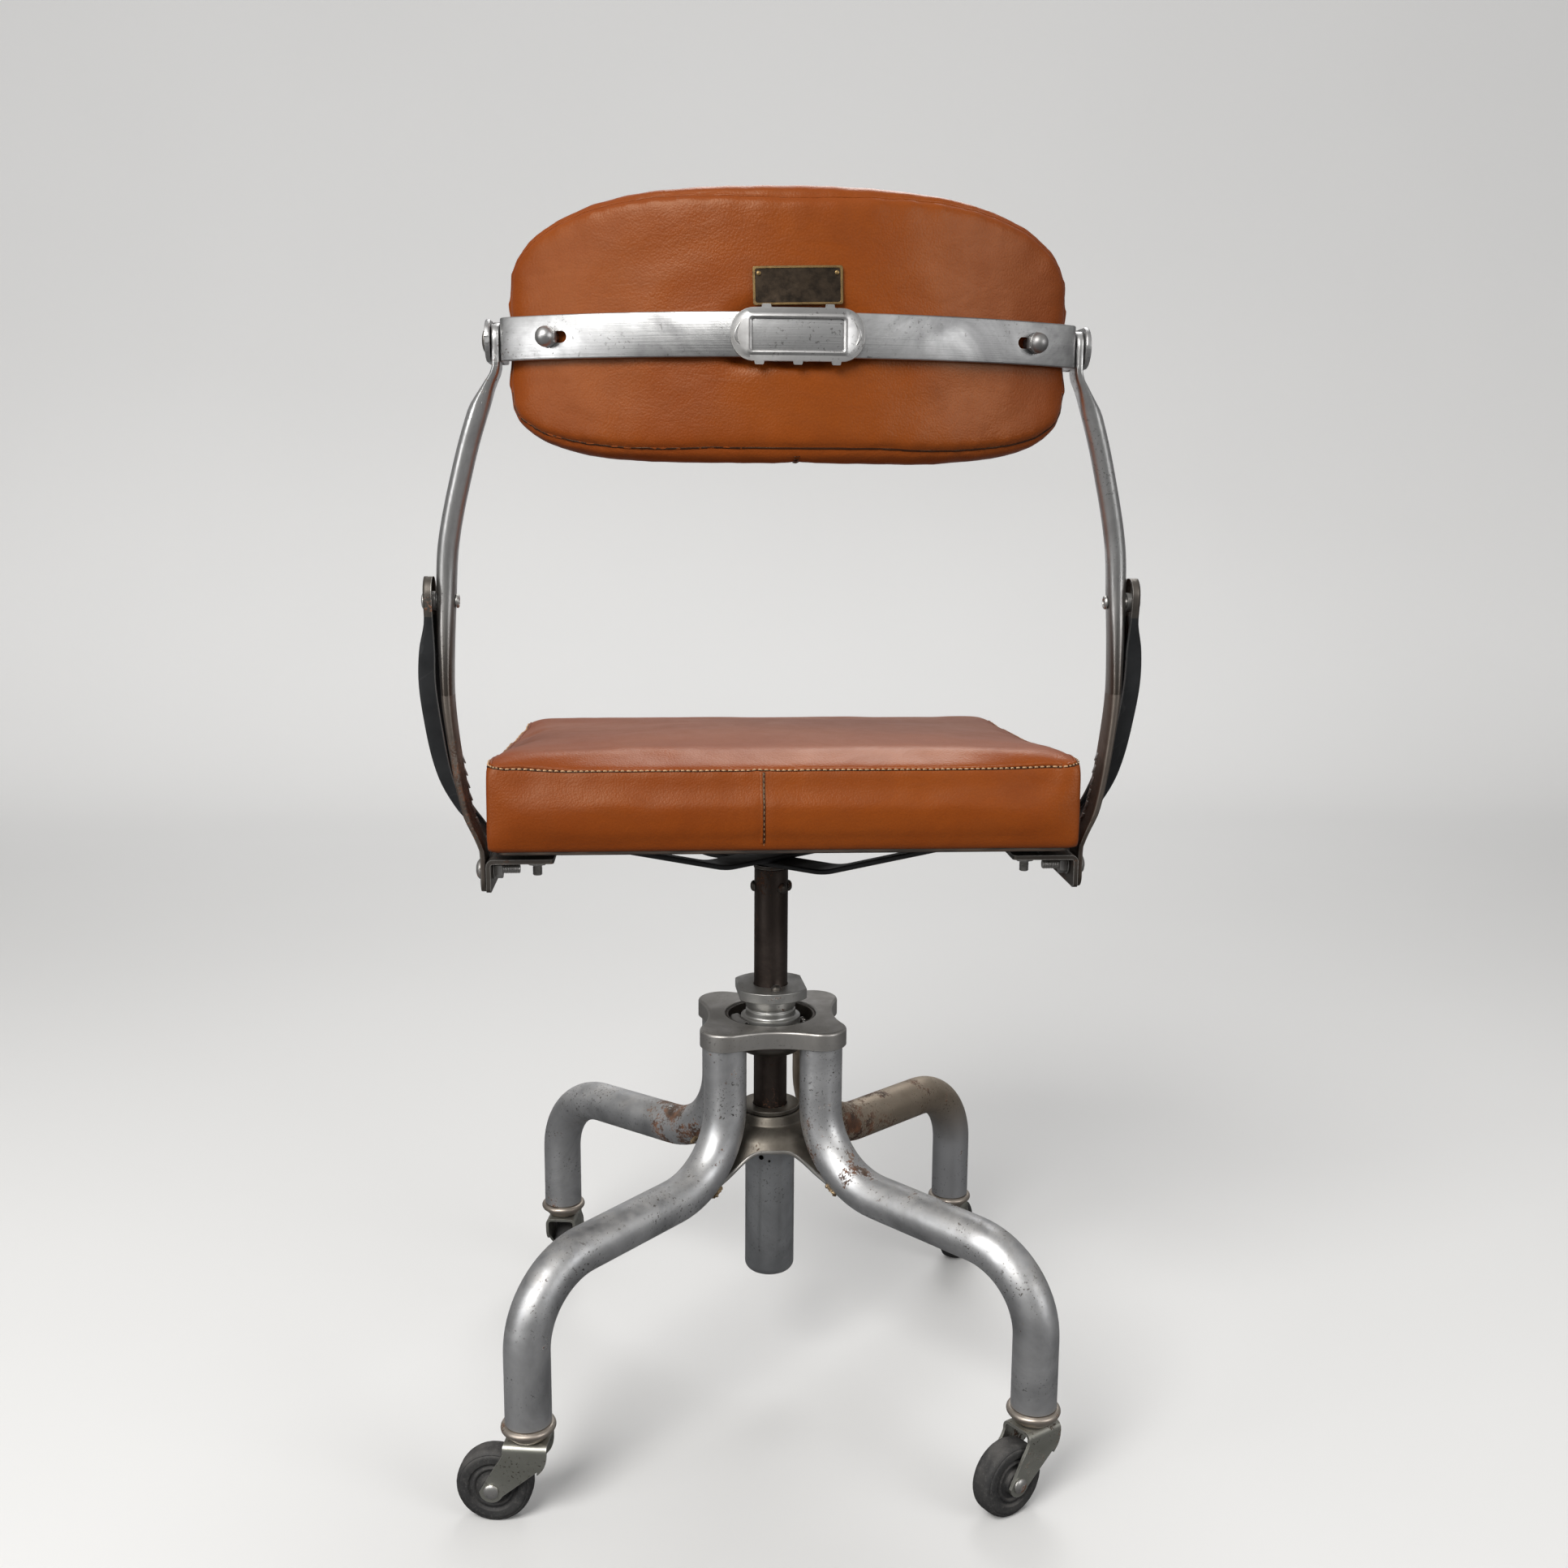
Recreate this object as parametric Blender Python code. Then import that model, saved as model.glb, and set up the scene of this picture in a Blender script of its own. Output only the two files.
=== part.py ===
"""Steel posture chair on four casters, with a leather seat and a tilting leather back.

Metres, +Z up, floor at z = 0. The swivel axis is the Z axis and the chair faces +Y.
"""
import bmesh
import bpy
from math import asin, atan2, cos, hypot, pi, radians, sin, sqrt
from mathutils import Matrix, Vector

# Fits between pieces
SEAM_GAP = 0.0003
RUNNING_GAP = 0.00006

# Legs: bent tube, measured in the upright plane through the swivel axis
LEG_RADIUS = 0.0159
LEG_TOP_REACH = 0.0505
LEG_FOOT_REACH = 0.2443
LEG_TOP_Z = 0.2972
LEG_KNEE_Z = 0.1840
LEG_ANKLE_Z = 0.1745
LEG_FOOT_Z = 0.0715
KNEE_BEND = 0.058
ANKLE_BEND = 0.055
LEG_SIDES = 16
SOCKET_BORE = 0.0134
ROUND_SIDES = 20

# Cap over the leg tops
CAP_TOP_Z = 0.3000
CAP_SKIRT_Z = 0.2865
CAP_SKIN = 0.0020
CAP_WAIST = 0.0475
CAP_HOLE = 0.0345
CAP_ROUND = 0.0022
CAP_CLEARANCE = 0.0009

# Bearing cup, collar nut and clamp plate on the swivel axis
CUP_RADIUS = CAP_HOLE - SEAM_GAP
CUP_WALL = 0.0020
CUP_RIM_Z = 0.2990
CUP_FLOOR_Z = 0.2885
CUP_HUB_RADIUS = 0.0195
CUP_HUB_Z = 0.2800
JOURNAL_RADIUS = 0.0158
NUT_RADIUS = 0.0189
NUT_FLANGE_RADIUS = 0.0226
NUT_FLANGE_TOP_Z = 0.2985
NUT_TOP_Z = 0.3148
CLAMP_RADIUS = 0.0305
CLAMP_FLAT = 0.0253
CLAMP_HEIGHT = 0.0078
CLAMP_TURN = radians(94.0)
CLAMP_SCREW_RADIUS = 0.0019
CLAMP_SCREW_REACH = 0.0205
CLAMP_SCREW_HEADING = radians(8.0)
CLAMP_TAP_DEPTH = 0.0062

# Spindle and what it carries
SPINDLE_RADIUS = 0.0127
SPINDLE_TOP_Z = 0.4132
SPINDLE_BOTTOM_Z = 0.1555
SPINDLE_BORE = 0.0101
SPINDLE_BORE_DEPTH = 0.030
PIN_Z = 0.3990
PIN_RADIUS = 0.0025
PIN_HEAD_RADIUS = 0.0042
PIN_HEAD = 0.0024

# Barrel, web and washer that steady the foot of the spindle
BARREL_RADIUS = 0.0190
BARREL_WALL = 0.0025
BARREL_BOTTOM_Z = 0.0917
WEB_SKIN = 0.0024
WEB_TOP_Z = 0.2240
WEB_ARCH_DEPTH = 0.12
WEB_ARCH_POWER = 3.6
BARREL_TOP_Z = WEB_TOP_Z - WEB_SKIN - SEAM_GAP
WASHER_RADIUS = 0.0225
WASHER_HEIGHT = 0.0034

# Casters
WHEEL_RADIUS = 0.0262
WHEEL_WIDTH = 0.0180
WHEEL_SIDES = 24
CASTER_TRAIL = 0.0235
FERRULE_SIDES = 16
CASTER_HEADINGS = {"rear_left": 172.0, "rear_right": 212.0, "front_left": 82.0, "front_right": 62.0}
CORNERS = {"rear_left": 225.0, "rear_right": 315.0, "front_left": 135.0, "front_right": 45.0}
STEM_RADIUS = 0.0055
FORK_TOP_Z = 0.0600
FORK_SKIN = 0.0022
FORK_HALF_WIDTH = 0.0130
FORK_HALF_REACH = 0.0145
AXLE_RADIUS = 0.0035
FERRULE_BEAD_RADIUS = 0.0184
FERRULE_BEAD = 0.0032

# Seat irons, board and cushion
IRON_WIDTH = 0.026
IRON_THICK = 0.0038
IRON_LOW_Z = 0.4166
IRON_FLAT_REACH = 0.055
IRON_RISE_REACH = 0.178
IRON_END_REACH = 0.226
SEAT_BOLT_X = 0.1625
SEAT_BOLT_Y = -0.1320
BOARD_THICK = 0.0085
SKIRT_CLEARANCE = 0.0012
BOARD_BOTTOM_Z = 0.4600
BOARD_INSET = 0.0060
SEAT_HALF_WIDTH = 0.1925
SEAT_REAR_Y = -0.1700
SEAT_FRONT_Y = 0.1920
SEAT_REAR_CORNER = 0.0140
SEAT_FRONT_CORNER = 0.0560
SEAT_REAR_TOP_Z = 0.5165
SEAT_CROWN = 0.0055
SEAT_FRONT_DROP = 0.0240

# Brackets and the bolts through them
BRACKET_THICK = 0.0030
BRACKET_OUTER_X = SEAT_HALF_WIDTH + 0.0010
BRACKET_INNER_X = 0.1500
BRACKET_REAR_Y = -0.1560
BRACKET_FRONT_Y = -0.0930
BRACKET_FLANGE_Z = 0.4335
PIVOT_BOLT_Y = -0.1080
CLAMP_BOLT_Y = -0.1395
SIDE_BOLT_Z = 0.4462
BOLT_RADIUS = 0.0032
LEAN_BACK = radians(6.0)
LEAN_FORWARD = radians(4.0)
LEAN_SLACK = radians(0.5)

# Uprights: flattened ear, round tube, flattened foot
EAR_X = 0.1775
EAR_Y = -0.1650
EAR_Z = 0.7780
EAR_HALF_WIDTH = 0.0100
EAR_THICK = 0.0054
TUBE_RADIUS = 0.0067
FOOT_HALF_WIDTH = 0.0120
UPRIGHT_SIDES = 12
ELBOW_Z = 0.6205
ELBOW_Y = -0.1400
ARM_SKIN = 0.0026
ARM_HALF_WIDTH = 0.0125

# Back strap and pad
STRAP_HEIGHT = 0.0254
STRAP_THICK = 0.0030
STRAP_REAR_Y = -0.2285
STRAP_END_X = 0.1670
STRAP_END_Y = -0.1790
HOOK_FRONT_Y = -0.1480
DOME_X = 0.1431
SLOT_SHIFT = 0.0035
SLOT_HALF_RUN = 0.0045
SLOT_RADIUS = 0.0034
PAD_HALF_WIDTH = 0.1770
PAD_WIDE_Z = 0.7780
PAD_TOP_Z = 0.8620
PAD_BOTTOM_Z = 0.7060
PAD_THICK = 0.0380
PAD_SEAM_SIDE = 0.0045
PAD_SEAM_LOW = 0.0045
PAD_SEAM_HIGH = 0.0010
PAD_TOP_POWER = 3.3
PAD_BOTTOM_POWER = 4.2
HOLDER_HALF_WIDTH = 0.0385
HOLDER_HALF_HEIGHT = 0.0150
PLATE_HALF_WIDTH = 0.0260
PLATE_HALF_HEIGHT = 0.0108
PLATE_Z = 0.8055

SIDES = {"left": -1.0, "right": 1.0}


def clear_scene():
    for old in list(bpy.data.objects):
        bpy.data.objects.remove(old, do_unlink=True)


def finish_material(name, colour, roughness, metallic):
    made = bpy.data.materials.new(name)
    made.use_nodes = True
    shader = made.node_tree.nodes["Principled BSDF"]
    shader.inputs["Base Color"].default_value = (*colour, 1.0)
    shader.inputs["Roughness"].default_value = roughness
    shader.inputs["Metallic"].default_value = metallic
    made.diffuse_color = (*colour, 1.0)
    return made


def leg_steel(name):
    return finish_material(name, (0.33, 0.31, 0.28), 0.42, 1.0)


def bright_steel(name):
    return finish_material(name, (0.52, 0.50, 0.47), 0.34, 1.0)


def rusty_steel(name):
    return finish_material(name, (0.09, 0.06, 0.045), 0.62, 0.7)


def black_paint(name):
    return finish_material(name, (0.015, 0.016, 0.018), 0.42, 0.0)


def leather(name):
    return finish_material(name, (0.30, 0.085, 0.022), 0.48, 0.0)


def rubber(name):
    return finish_material(name, (0.045, 0.045, 0.045), 0.75, 0.0)


def brass(name):
    return finish_material(name, (0.16, 0.11, 0.055), 0.45, 0.9)


def place_mesh(name, mesh_edit, material, origin=(0.0, 0.0, 0.0), sharp=35.0):
    """Turn an edit mesh in world coordinates into an object with its origin at a given point."""
    bmesh.ops.remove_doubles(mesh_edit, verts=mesh_edit.verts, dist=1e-6)
    bmesh.ops.recalc_face_normals(mesh_edit, faces=mesh_edit.faces)
    bmesh.ops.translate(mesh_edit, verts=mesh_edit.verts, vec=-Vector(origin))
    mesh = bpy.data.meshes.new(name)
    mesh_edit.to_mesh(mesh)
    mesh_edit.free()
    mesh.shade_smooth()
    mesh.set_sharp_from_angle(angle=radians(sharp))
    mesh.materials.append(material(name + "_finish"))
    placed = bpy.data.objects.new(name, mesh)
    placed.location = origin
    bpy.context.scene.collection.objects.link(placed)
    return placed


def revolved(profile, sides, closed=False, half_step=False):
    """Spin a profile of (radius, z) about Z. A closed profile makes a ring."""
    made = bmesh.new()
    start = pi / sides if half_step else 0.0
    verts = [made.verts.new((r * cos(start), r * sin(start), z)) for r, z in profile]
    edges = [made.edges.new(pair) for pair in zip(verts, verts[1:])]
    if closed:
        edges.append(made.edges.new((verts[-1], verts[0])))
    bmesh.ops.spin(made, geom=verts + edges, cent=(0, 0, 0), axis=(0, 0, 1),
                   angle=2 * pi, steps=sides, use_merge=True)
    bmesh.ops.remove_doubles(made, verts=made.verts, dist=1e-7)
    return made


def lofted(rings, capped=True):
    """Extrude a loop through rings. The ends are capped, or meet when the last ring is the first."""
    made = bmesh.new()
    verts = [made.verts.new(point) for point in rings[0]]
    edges = [made.edges.new((verts[i - 1], verts[i])) for i in range(len(verts))]
    ends = list(edges)
    for ring in rings[1:]:
        grown = bmesh.ops.extrude_edge_only(made, edges=edges)
        fresh = {item for item in grown["geom"] if isinstance(item, bmesh.types.BMVert)}
        verts = [next(edge.other_vert(old) for edge in old.link_edges if edge.other_vert(old) in fresh)
                 for old in verts]
        for vert, point in zip(verts, ring):
            vert.co = point
        edges = [made.edges.get((verts[i - 1], verts[i])) for i in range(len(verts))]
    if capped:
        bmesh.ops.holes_fill(made, edges=ends + edges, sides=0)
    return made


def slab(outline, low, high):
    """Extrude a flat outline of (x, y) from one height to another."""
    made = bmesh.new()
    verts = [made.verts.new((x, y, low)) for x, y in outline]
    face = made.faces.new(verts)
    grown = bmesh.ops.extrude_face_region(made, geom=[face])
    moved = [item for item in grown["geom"] if isinstance(item, bmesh.types.BMVert)]
    bmesh.ops.translate(made, verts=moved, vec=(0, 0, high - low))
    return made


def turned(made, matrix):
    bmesh.ops.transform(made, matrix=matrix, verts=made.verts)
    return made


def rod(start, end, profile, sides=10):
    """Turn a (radius, distance) profile about the line from start to end."""
    axis = Vector(end) - Vector(start)
    made = revolved(profile, sides)
    frame = axis.to_track_quat("Z", "Y").to_matrix().to_4x4()
    return turned(made, Matrix.Translation(start) @ frame)


def bore(radius, sides=12, gap=RUNNING_GAP):
    """Corner radius of a many-sided bore whose flats clear a round shaft."""
    return (radius + gap) / cos(pi / sides)


def drill(name, start, end, radius, sides=10):
    """A hidden drill body from start to end, wide enough for a shaft of the given radius."""
    length = (Vector(end) - Vector(start)).length
    wide = bore(radius, sides)
    return cutter(name, rod(start, end, [(0, 0), (wide, 0), (wide, length), (0, length)], sides))


def cutter(name, made):
    """A hidden tool body for a Boolean."""
    tool = place_mesh(name, made, black_paint)
    tool.hide_render = True
    tool.display_type = "WIRE"
    return tool


def apply_boolean(target, tools, operation):
    """Cut or join tool bodies and leave one plain mesh."""
    for tool in tools:
        step = target.modifiers.new("shape", "BOOLEAN")
        step.object = tool
        step.operation = operation
        step.solver = "EXACT"
    graph = bpy.context.evaluated_depsgraph_get()
    shaped = bpy.data.meshes.new_from_object(target.evaluated_get(graph))
    target.modifiers.clear()
    target.data = shaped
    for tool in tools:
        bpy.data.objects.remove(tool, do_unlink=True)
    clean = bmesh.new()
    clean.from_mesh(shaped)
    bmesh.ops.remove_doubles(clean, verts=clean.verts, dist=1e-6)
    bmesh.ops.dissolve_degenerate(clean, edges=clean.edges, dist=1e-6)
    clean.to_mesh(shaped)
    clean.free()
    shaped.shade_smooth()
    shaped.set_sharp_from_angle(angle=radians(35.0))
    return target


def bent_line(corners, bends, steps):
    """Points along straight runs joined by arcs. One bend radius and step count per inner corner."""
    points = [Vector(corners[0])]
    for i in range(1, len(corners) - 1):
        before = (Vector(corners[i - 1]) - Vector(corners[i])).normalized()
        after = (Vector(corners[i + 1]) - Vector(corners[i])).normalized()
        turn = pi - before.angle(after)
        reach = bends[i - 1] * sin(turn / 2) / cos(turn / 2)
        bisector = (before + after).normalized()
        centre = Vector(corners[i]) + bisector * (bends[i - 1] / cos(turn / 2))
        first = Vector(corners[i]) + before * reach - centre
        last = Vector(corners[i]) + after * reach - centre
        for step in range(steps[i - 1] + 1):
            share = step / steps[i - 1]
            arm = first.normalized().slerp(last.normalized(), share)
            points.append(centre + arm * bends[i - 1])
    points.append(Vector(corners[-1]))
    return points


def knot_slope(before, here, after, k):
    """Slope of a smooth curve at a knot, level where the value turns or stays."""
    if (here[k] - before[k]) * (after[k] - here[k]) <= 0:
        return 0.0
    return (after[k] - before[k]) / (after[0] - before[0])


def smooth_curve(knots, place):
    """Values on a smooth curve through knots of (place, *values)."""
    i = 0
    while i < len(knots) - 2 and place > knots[i + 1][0]:
        i += 1
    a, b = knots[i], knots[i + 1]
    before, after = knots[max(i - 1, 0)], knots[min(i + 2, len(knots) - 1)]
    span = b[0] - a[0]
    share = (place - a[0]) / span
    cube, square = share ** 3, share ** 2
    values = []
    for k in range(1, len(a)):
        slope_a = knot_slope(before, a, b, k) * span
        slope_b = knot_slope(a, b, after, k) * span
        values.append((2 * cube - 3 * square + 1) * a[k] + (cube - 2 * square + share) * slope_a
                      + (3 * square - 2 * cube) * b[k] + (cube - square) * slope_b)
    return values


def corner_point(corner, reach, z):
    angle = radians(CORNERS[corner])
    return Vector((reach * cos(angle), reach * sin(angle), z))


# Base


def make_leg(corner):
    """Bent tube: down from the cap, out along the floor and down to the caster."""
    line = bent_line(
        [(LEG_TOP_REACH, 0, LEG_TOP_Z), (LEG_TOP_REACH, 0, LEG_KNEE_Z),
         (LEG_FOOT_REACH, 0, LEG_ANKLE_Z), (LEG_FOOT_REACH, 0, LEG_FOOT_Z)],
        [KNEE_BEND, ANKLE_BEND], [6, 6])
    rings = []
    for i, point in enumerate(line):
        ahead = line[min(i + 1, len(line) - 1)] - line[max(i - 1, 0)]
        side = Vector((0, 1, 0))
        up = side.cross(ahead.normalized())
        turns = [2 * pi * k / LEG_SIDES for k in range(LEG_SIDES)]
        rings.append([point + (side * cos(turn) + up * sin(turn)) * LEG_RADIUS for turn in turns])
    made = lofted(rings)
    foot = min(made.faces, key=lambda face: face.calc_center_median().z)
    bmesh.ops.inset_individual(made, faces=[foot], thickness=LEG_RADIUS - SOCKET_BORE)
    deepened = bmesh.ops.extrude_discrete_faces(made, faces=[foot])
    deep = [vert for face in deepened["faces"] for vert in face.verts]
    bmesh.ops.translate(made, verts=deep, vec=(0, 0, 0.030))
    turned(made, Matrix.Rotation(radians(CORNERS[corner]), 4, "Z"))
    return place_mesh(corner + "_leg", made, leg_steel)


def cap_outline(inset, count):
    """Four lobes round the leg tops joined by hollow sides, both as true arcs."""
    lobe = LEG_RADIUS + CAP_CLEARANCE + CAP_SKIN
    centre = LEG_TOP_REACH / sqrt(2)
    gap = CAP_WAIST - centre
    hollow = (centre ** 2 + gap ** 2 - lobe ** 2) / (2 * (lobe - gap))
    swing = atan2(centre, CAP_WAIST + hollow - centre)
    points = []
    for quarter in range(4):
        facing = quarter * pi / 2
        out = Vector((cos(facing), sin(facing)))
        along = Vector((-sin(facing), cos(facing)))
        for k in range(-count, count):
            angle = swing * k / count
            spot = out * (CAP_WAIST + hollow - (hollow + inset) * cos(angle))
            points.append(spot + along * (hollow + inset) * sin(angle))
        lobe_turn = pi / 2 + 2 * swing
        middle = (out + along) * centre
        for k in range(2 * count):
            angle = facing - swing + lobe_turn * k / (2 * count)
            points.append(middle + Vector((cos(angle), sin(angle))) * (lobe - inset))
    return points


def make_cap():
    """Pressed cap with a round hole and a turned-down skirt."""
    count = 3
    outer = cap_outline(0.0, count)
    shoulder = cap_outline(CAP_ROUND * 0.3, count)
    top = cap_outline(CAP_ROUND, count)
    inner = cap_outline(CAP_SKIN, count)

    def hole(z):
        return [(CAP_HOLE * point.normalized().x, CAP_HOLE * point.normalized().y, z) for point in outer]

    stack = [hole(CAP_TOP_Z - CAP_SKIN), hole(CAP_TOP_Z)]
    stack.append([(p.x, p.y, CAP_TOP_Z) for p in top])
    stack.append([(p.x, p.y, CAP_TOP_Z - CAP_ROUND * 0.3) for p in shoulder])
    stack.append([(p.x, p.y, CAP_TOP_Z - CAP_ROUND) for p in outer])
    stack.append([(p.x, p.y, CAP_SKIRT_Z) for p in outer])
    stack.append([(p.x, p.y, CAP_SKIRT_Z) for p in inner])
    stack.append([(p.x, p.y, CAP_TOP_Z - CAP_SKIN) for p in inner])
    stack.append(stack[0])
    return place_mesh("top_cap", lofted(stack, capped=False), leg_steel)


def make_bearing_cup():
    inner = CUP_RADIUS - CUP_WALL
    hole = bore(JOURNAL_RADIUS, ROUND_SIDES)
    profile = [(hole, CUP_FLOOR_Z), (inner - 0.0015, CUP_FLOOR_Z), (inner, CUP_FLOOR_Z + 0.0015),
               (inner, CUP_RIM_Z), (CUP_RADIUS, CUP_RIM_Z), (CUP_RADIUS, CUP_FLOOR_Z),
               (CUP_RADIUS - 0.0025, CUP_FLOOR_Z - 0.0025), (CUP_HUB_RADIUS, CUP_FLOOR_Z - 0.0025),
               (CUP_HUB_RADIUS, CUP_HUB_Z), (hole, CUP_HUB_Z)]
    return place_mesh("bearing_cup", revolved(profile, ROUND_SIDES, closed=True), rusty_steel)


def make_web():
    """Dished web: a stepped cone whose four arms lie along the insides of the leg bends."""
    reach = KNEE_BEND + LEG_RADIUS + SEAM_GAP + WEB_SKIN
    centre_r = LEG_TOP_REACH + KNEE_BEND
    slope = atan2(LEG_KNEE_Z - LEG_ANKLE_Z, LEG_FOOT_REACH - LEG_TOP_REACH)
    centre_z = LEG_KNEE_Z + KNEE_BEND * (1 - sin(slope)) / cos(slope)
    crown = [(SPINDLE_RADIUS + 0.0012, WEB_TOP_Z), (0.0235, WEB_TOP_Z), (0.0262, WEB_TOP_Z - 0.0070),
             (0.0310, WEB_TOP_Z - 0.0085)]
    arm = [(centre_r - reach * cos(radians(a)), centre_z - reach * sin(radians(a)) + WEB_SKIN)
           for a in (25, 34, 43, 51, 59)]
    spokes = 40
    upper, lower = [], []
    for k in range(len(crown) + len(arm)):
        ring_up, ring_down = [], []
        for s in range(spokes):
            angle = 2 * pi * s / spokes
            near_leg = abs(((angle + pi / 2) % (pi / 2)) - pi / 4) / (pi / 4)
            spread = (1.0 - near_leg) ** WEB_ARCH_POWER
            if k < len(crown):
                r, z = crown[k]
            else:
                share = (k - len(crown)) / (len(arm) - 1)
                place = share * (WEB_ARCH_DEPTH + (1 - WEB_ARCH_DEPTH) * spread) * (len(arm) - 1)
                i = min(int(place), len(arm) - 2)
                part = place - i
                r = arm[i][0] + (arm[i + 1][0] - arm[i][0]) * part
                z = arm[i][1] + (arm[i + 1][1] - arm[i][1]) * part
            ring_up.append((r * cos(angle), r * sin(angle), z))
            ring_down.append((r * cos(angle), r * sin(angle), z - WEB_SKIN))
        upper.append(ring_up)
        lower.append(ring_down)
    stack = upper + lower[::-1] + [upper[0]]
    return place_mesh("lower_web", lofted(stack, capped=False), leg_steel)


def make_lower_washer():
    low = WEB_TOP_Z + SEAM_GAP
    high = low + WASHER_HEIGHT
    hole = bore(SPINDLE_RADIUS, ROUND_SIDES)
    profile = [(hole, low), (WASHER_RADIUS, low), (WASHER_RADIUS, high - 0.0008),
               (WASHER_RADIUS - 0.0008, high), (hole, high)]
    return place_mesh("lower_washer", revolved(profile, ROUND_SIDES, closed=True), leg_steel)


def make_barrel():
    """Closed tube under the web that shields the foot of the spindle."""
    inner = BARREL_RADIUS - BARREL_WALL
    profile = [(0, BARREL_BOTTOM_Z), (BARREL_RADIUS - 0.006, BARREL_BOTTOM_Z),
               (BARREL_RADIUS - 0.0018, BARREL_BOTTOM_Z + 0.0018), (BARREL_RADIUS, BARREL_BOTTOM_Z + 0.006),
               (BARREL_RADIUS, BARREL_TOP_Z), (inner, BARREL_TOP_Z),
               (inner, BARREL_BOTTOM_Z + 0.006), (inner - 0.003, BARREL_BOTTOM_Z + BARREL_WALL),
               (0, BARREL_BOTTOM_Z + BARREL_WALL)]
    return place_mesh("barrel", revolved(profile, ROUND_SIDES), leg_steel)


# Casters


def make_ferrule(corner):
    """Beaded sleeve pressed into the leg end, bored for the caster stem."""
    hole = bore(STEM_RADIUS, FERRULE_SIDES)
    sleeve = SOCKET_BORE - SEAM_GAP
    top = LEG_FOOT_Z - SEAM_GAP
    profile = [(hole, FORK_TOP_Z + 0.0008), (0.0120, FORK_TOP_Z + 0.0008),
               (LEG_RADIUS, top - 2 * FERRULE_BEAD), (FERRULE_BEAD_RADIUS, top - 1.5 * FERRULE_BEAD),
               (FERRULE_BEAD_RADIUS, top - 0.5 * FERRULE_BEAD), (LEG_RADIUS, top), (sleeve, top),
               (sleeve, top + 0.024), (hole, top + 0.024)]
    made = revolved(profile, FERRULE_SIDES, closed=True)
    turned(made, Matrix.Translation(corner_point(corner, LEG_FOOT_REACH, 0)))
    return place_mesh(corner + "_ferrule", made, bright_steel)


def axle_height():
    """The wheel stands on one of its flats."""
    return WHEEL_RADIUS * cos(pi / WHEEL_SIDES)


def caster_frame(corner):
    spot = corner_point(corner, LEG_FOOT_REACH, 0)
    return Matrix.Translation(spot) @ Matrix.Rotation(radians(CASTER_HEADINGS[corner]), 4, "Z")


def make_fork(corner):
    """Pressed fork: a channel trimmed to a drop shape, with its swivel stem."""
    low, high = axle_height() - 0.009, FORK_TOP_Z
    bend = 0.0035
    outer = [(-FORK_HALF_WIDTH, low), (-FORK_HALF_WIDTH, high - bend),
             (-FORK_HALF_WIDTH + bend * 0.3, high - bend * 0.3), (-FORK_HALF_WIDTH + bend, high)]
    outer += [(-y, z) for y, z in outer[::-1]]
    inset = FORK_HALF_WIDTH - FORK_SKIN
    inner = [(inset, low), (inset, high - bend), (inset - 0.0013, high - FORK_SKIN),
             (-inset + 0.0013, high - FORK_SKIN), (-inset, high - bend), (-inset, low)]
    channel = slab(outer + inner, -0.05, 0.05)
    turned(channel, Matrix(((0, 0, 1, 0), (1, 0, 0, 0), (0, 1, 0, 0), (0, 0, 0, 1))))
    body = place_mesh(corner + "_fork", channel, bright_steel)
    axle = Vector((CASTER_TRAIL, axle_height()))
    drop = [(-FORK_HALF_REACH, high + 0.01), (-FORK_HALF_REACH, high - 0.006), (-0.006, high - 0.016)]
    for k in range(7):
        angle = radians(205 + 25 * k)
        drop.append((axle.x + 0.0080 * cos(angle), axle.y + 0.0080 * sin(angle)))
    drop += [(0.0215, high - 0.014), (FORK_HALF_REACH + 0.001, high - 0.006), (FORK_HALF_REACH, high + 0.01)]
    side = slab(drop, -0.03, 0.03)
    turned(side, Matrix(((1, 0, 0, 0), (0, 0, 1, 0), (0, 1, 0, 0), (0, 0, 0, 1))))
    bmesh.ops.reverse_faces(side, faces=side.faces)
    trim = cutter("fork_trim", side)
    apply_boolean(body, [trim], "INTERSECT")
    hole = drill("fork_hole", (axle.x, -0.03, axle.y), (axle.x, 0.03, axle.y), AXLE_RADIUS)
    apply_boolean(body, [hole], "DIFFERENCE")
    stem_top = LEG_FOOT_Z + 0.018
    stem = cutter("fork_stem", rod((0, 0, high - FORK_SKIN / 2), (0, 0, stem_top), [
        (0, 0), (STEM_RADIUS, 0), (STEM_RADIUS, stem_top - high),
        (STEM_RADIUS - 0.001, stem_top - high + 0.001),
        (0, stem_top - high + 0.001)]))
    apply_boolean(body, [stem], "UNION")
    body.data.transform(caster_frame(corner))
    spot = corner_point(corner, LEG_FOOT_REACH, 0)
    body.data.transform(Matrix.Translation(-spot))
    body.location = spot
    return body


def make_wheel(corner):
    """Solid rubber wheel with ribbed sides and a flat-sided tread."""
    half = WHEEL_WIDTH / 2
    hole = bore(AXLE_RADIUS, WHEEL_SIDES)
    right = [(hole, half + 0.0010), (0.0070, half + 0.0010), (0.0080, half - 0.0012), (0.0150, half - 0.0012),
             (0.0165, half), (0.0230, half), (WHEEL_RADIUS, half - 0.0040)]
    profile = right + [(r, -z) for r, z in right[::-1]]
    made = revolved(profile, WHEEL_SIDES, closed=True, half_step=True)
    turned(made, Matrix.Rotation(pi / 2, 4, "X"))
    spot = caster_frame(corner) @ Vector((CASTER_TRAIL, 0, axle_height()))
    heading = Matrix.Rotation(radians(CASTER_HEADINGS[corner]), 4, "Z")
    turned(made, Matrix.Translation(spot) @ heading)
    return place_mesh(corner + "_wheel", made, rubber, spot)


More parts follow.
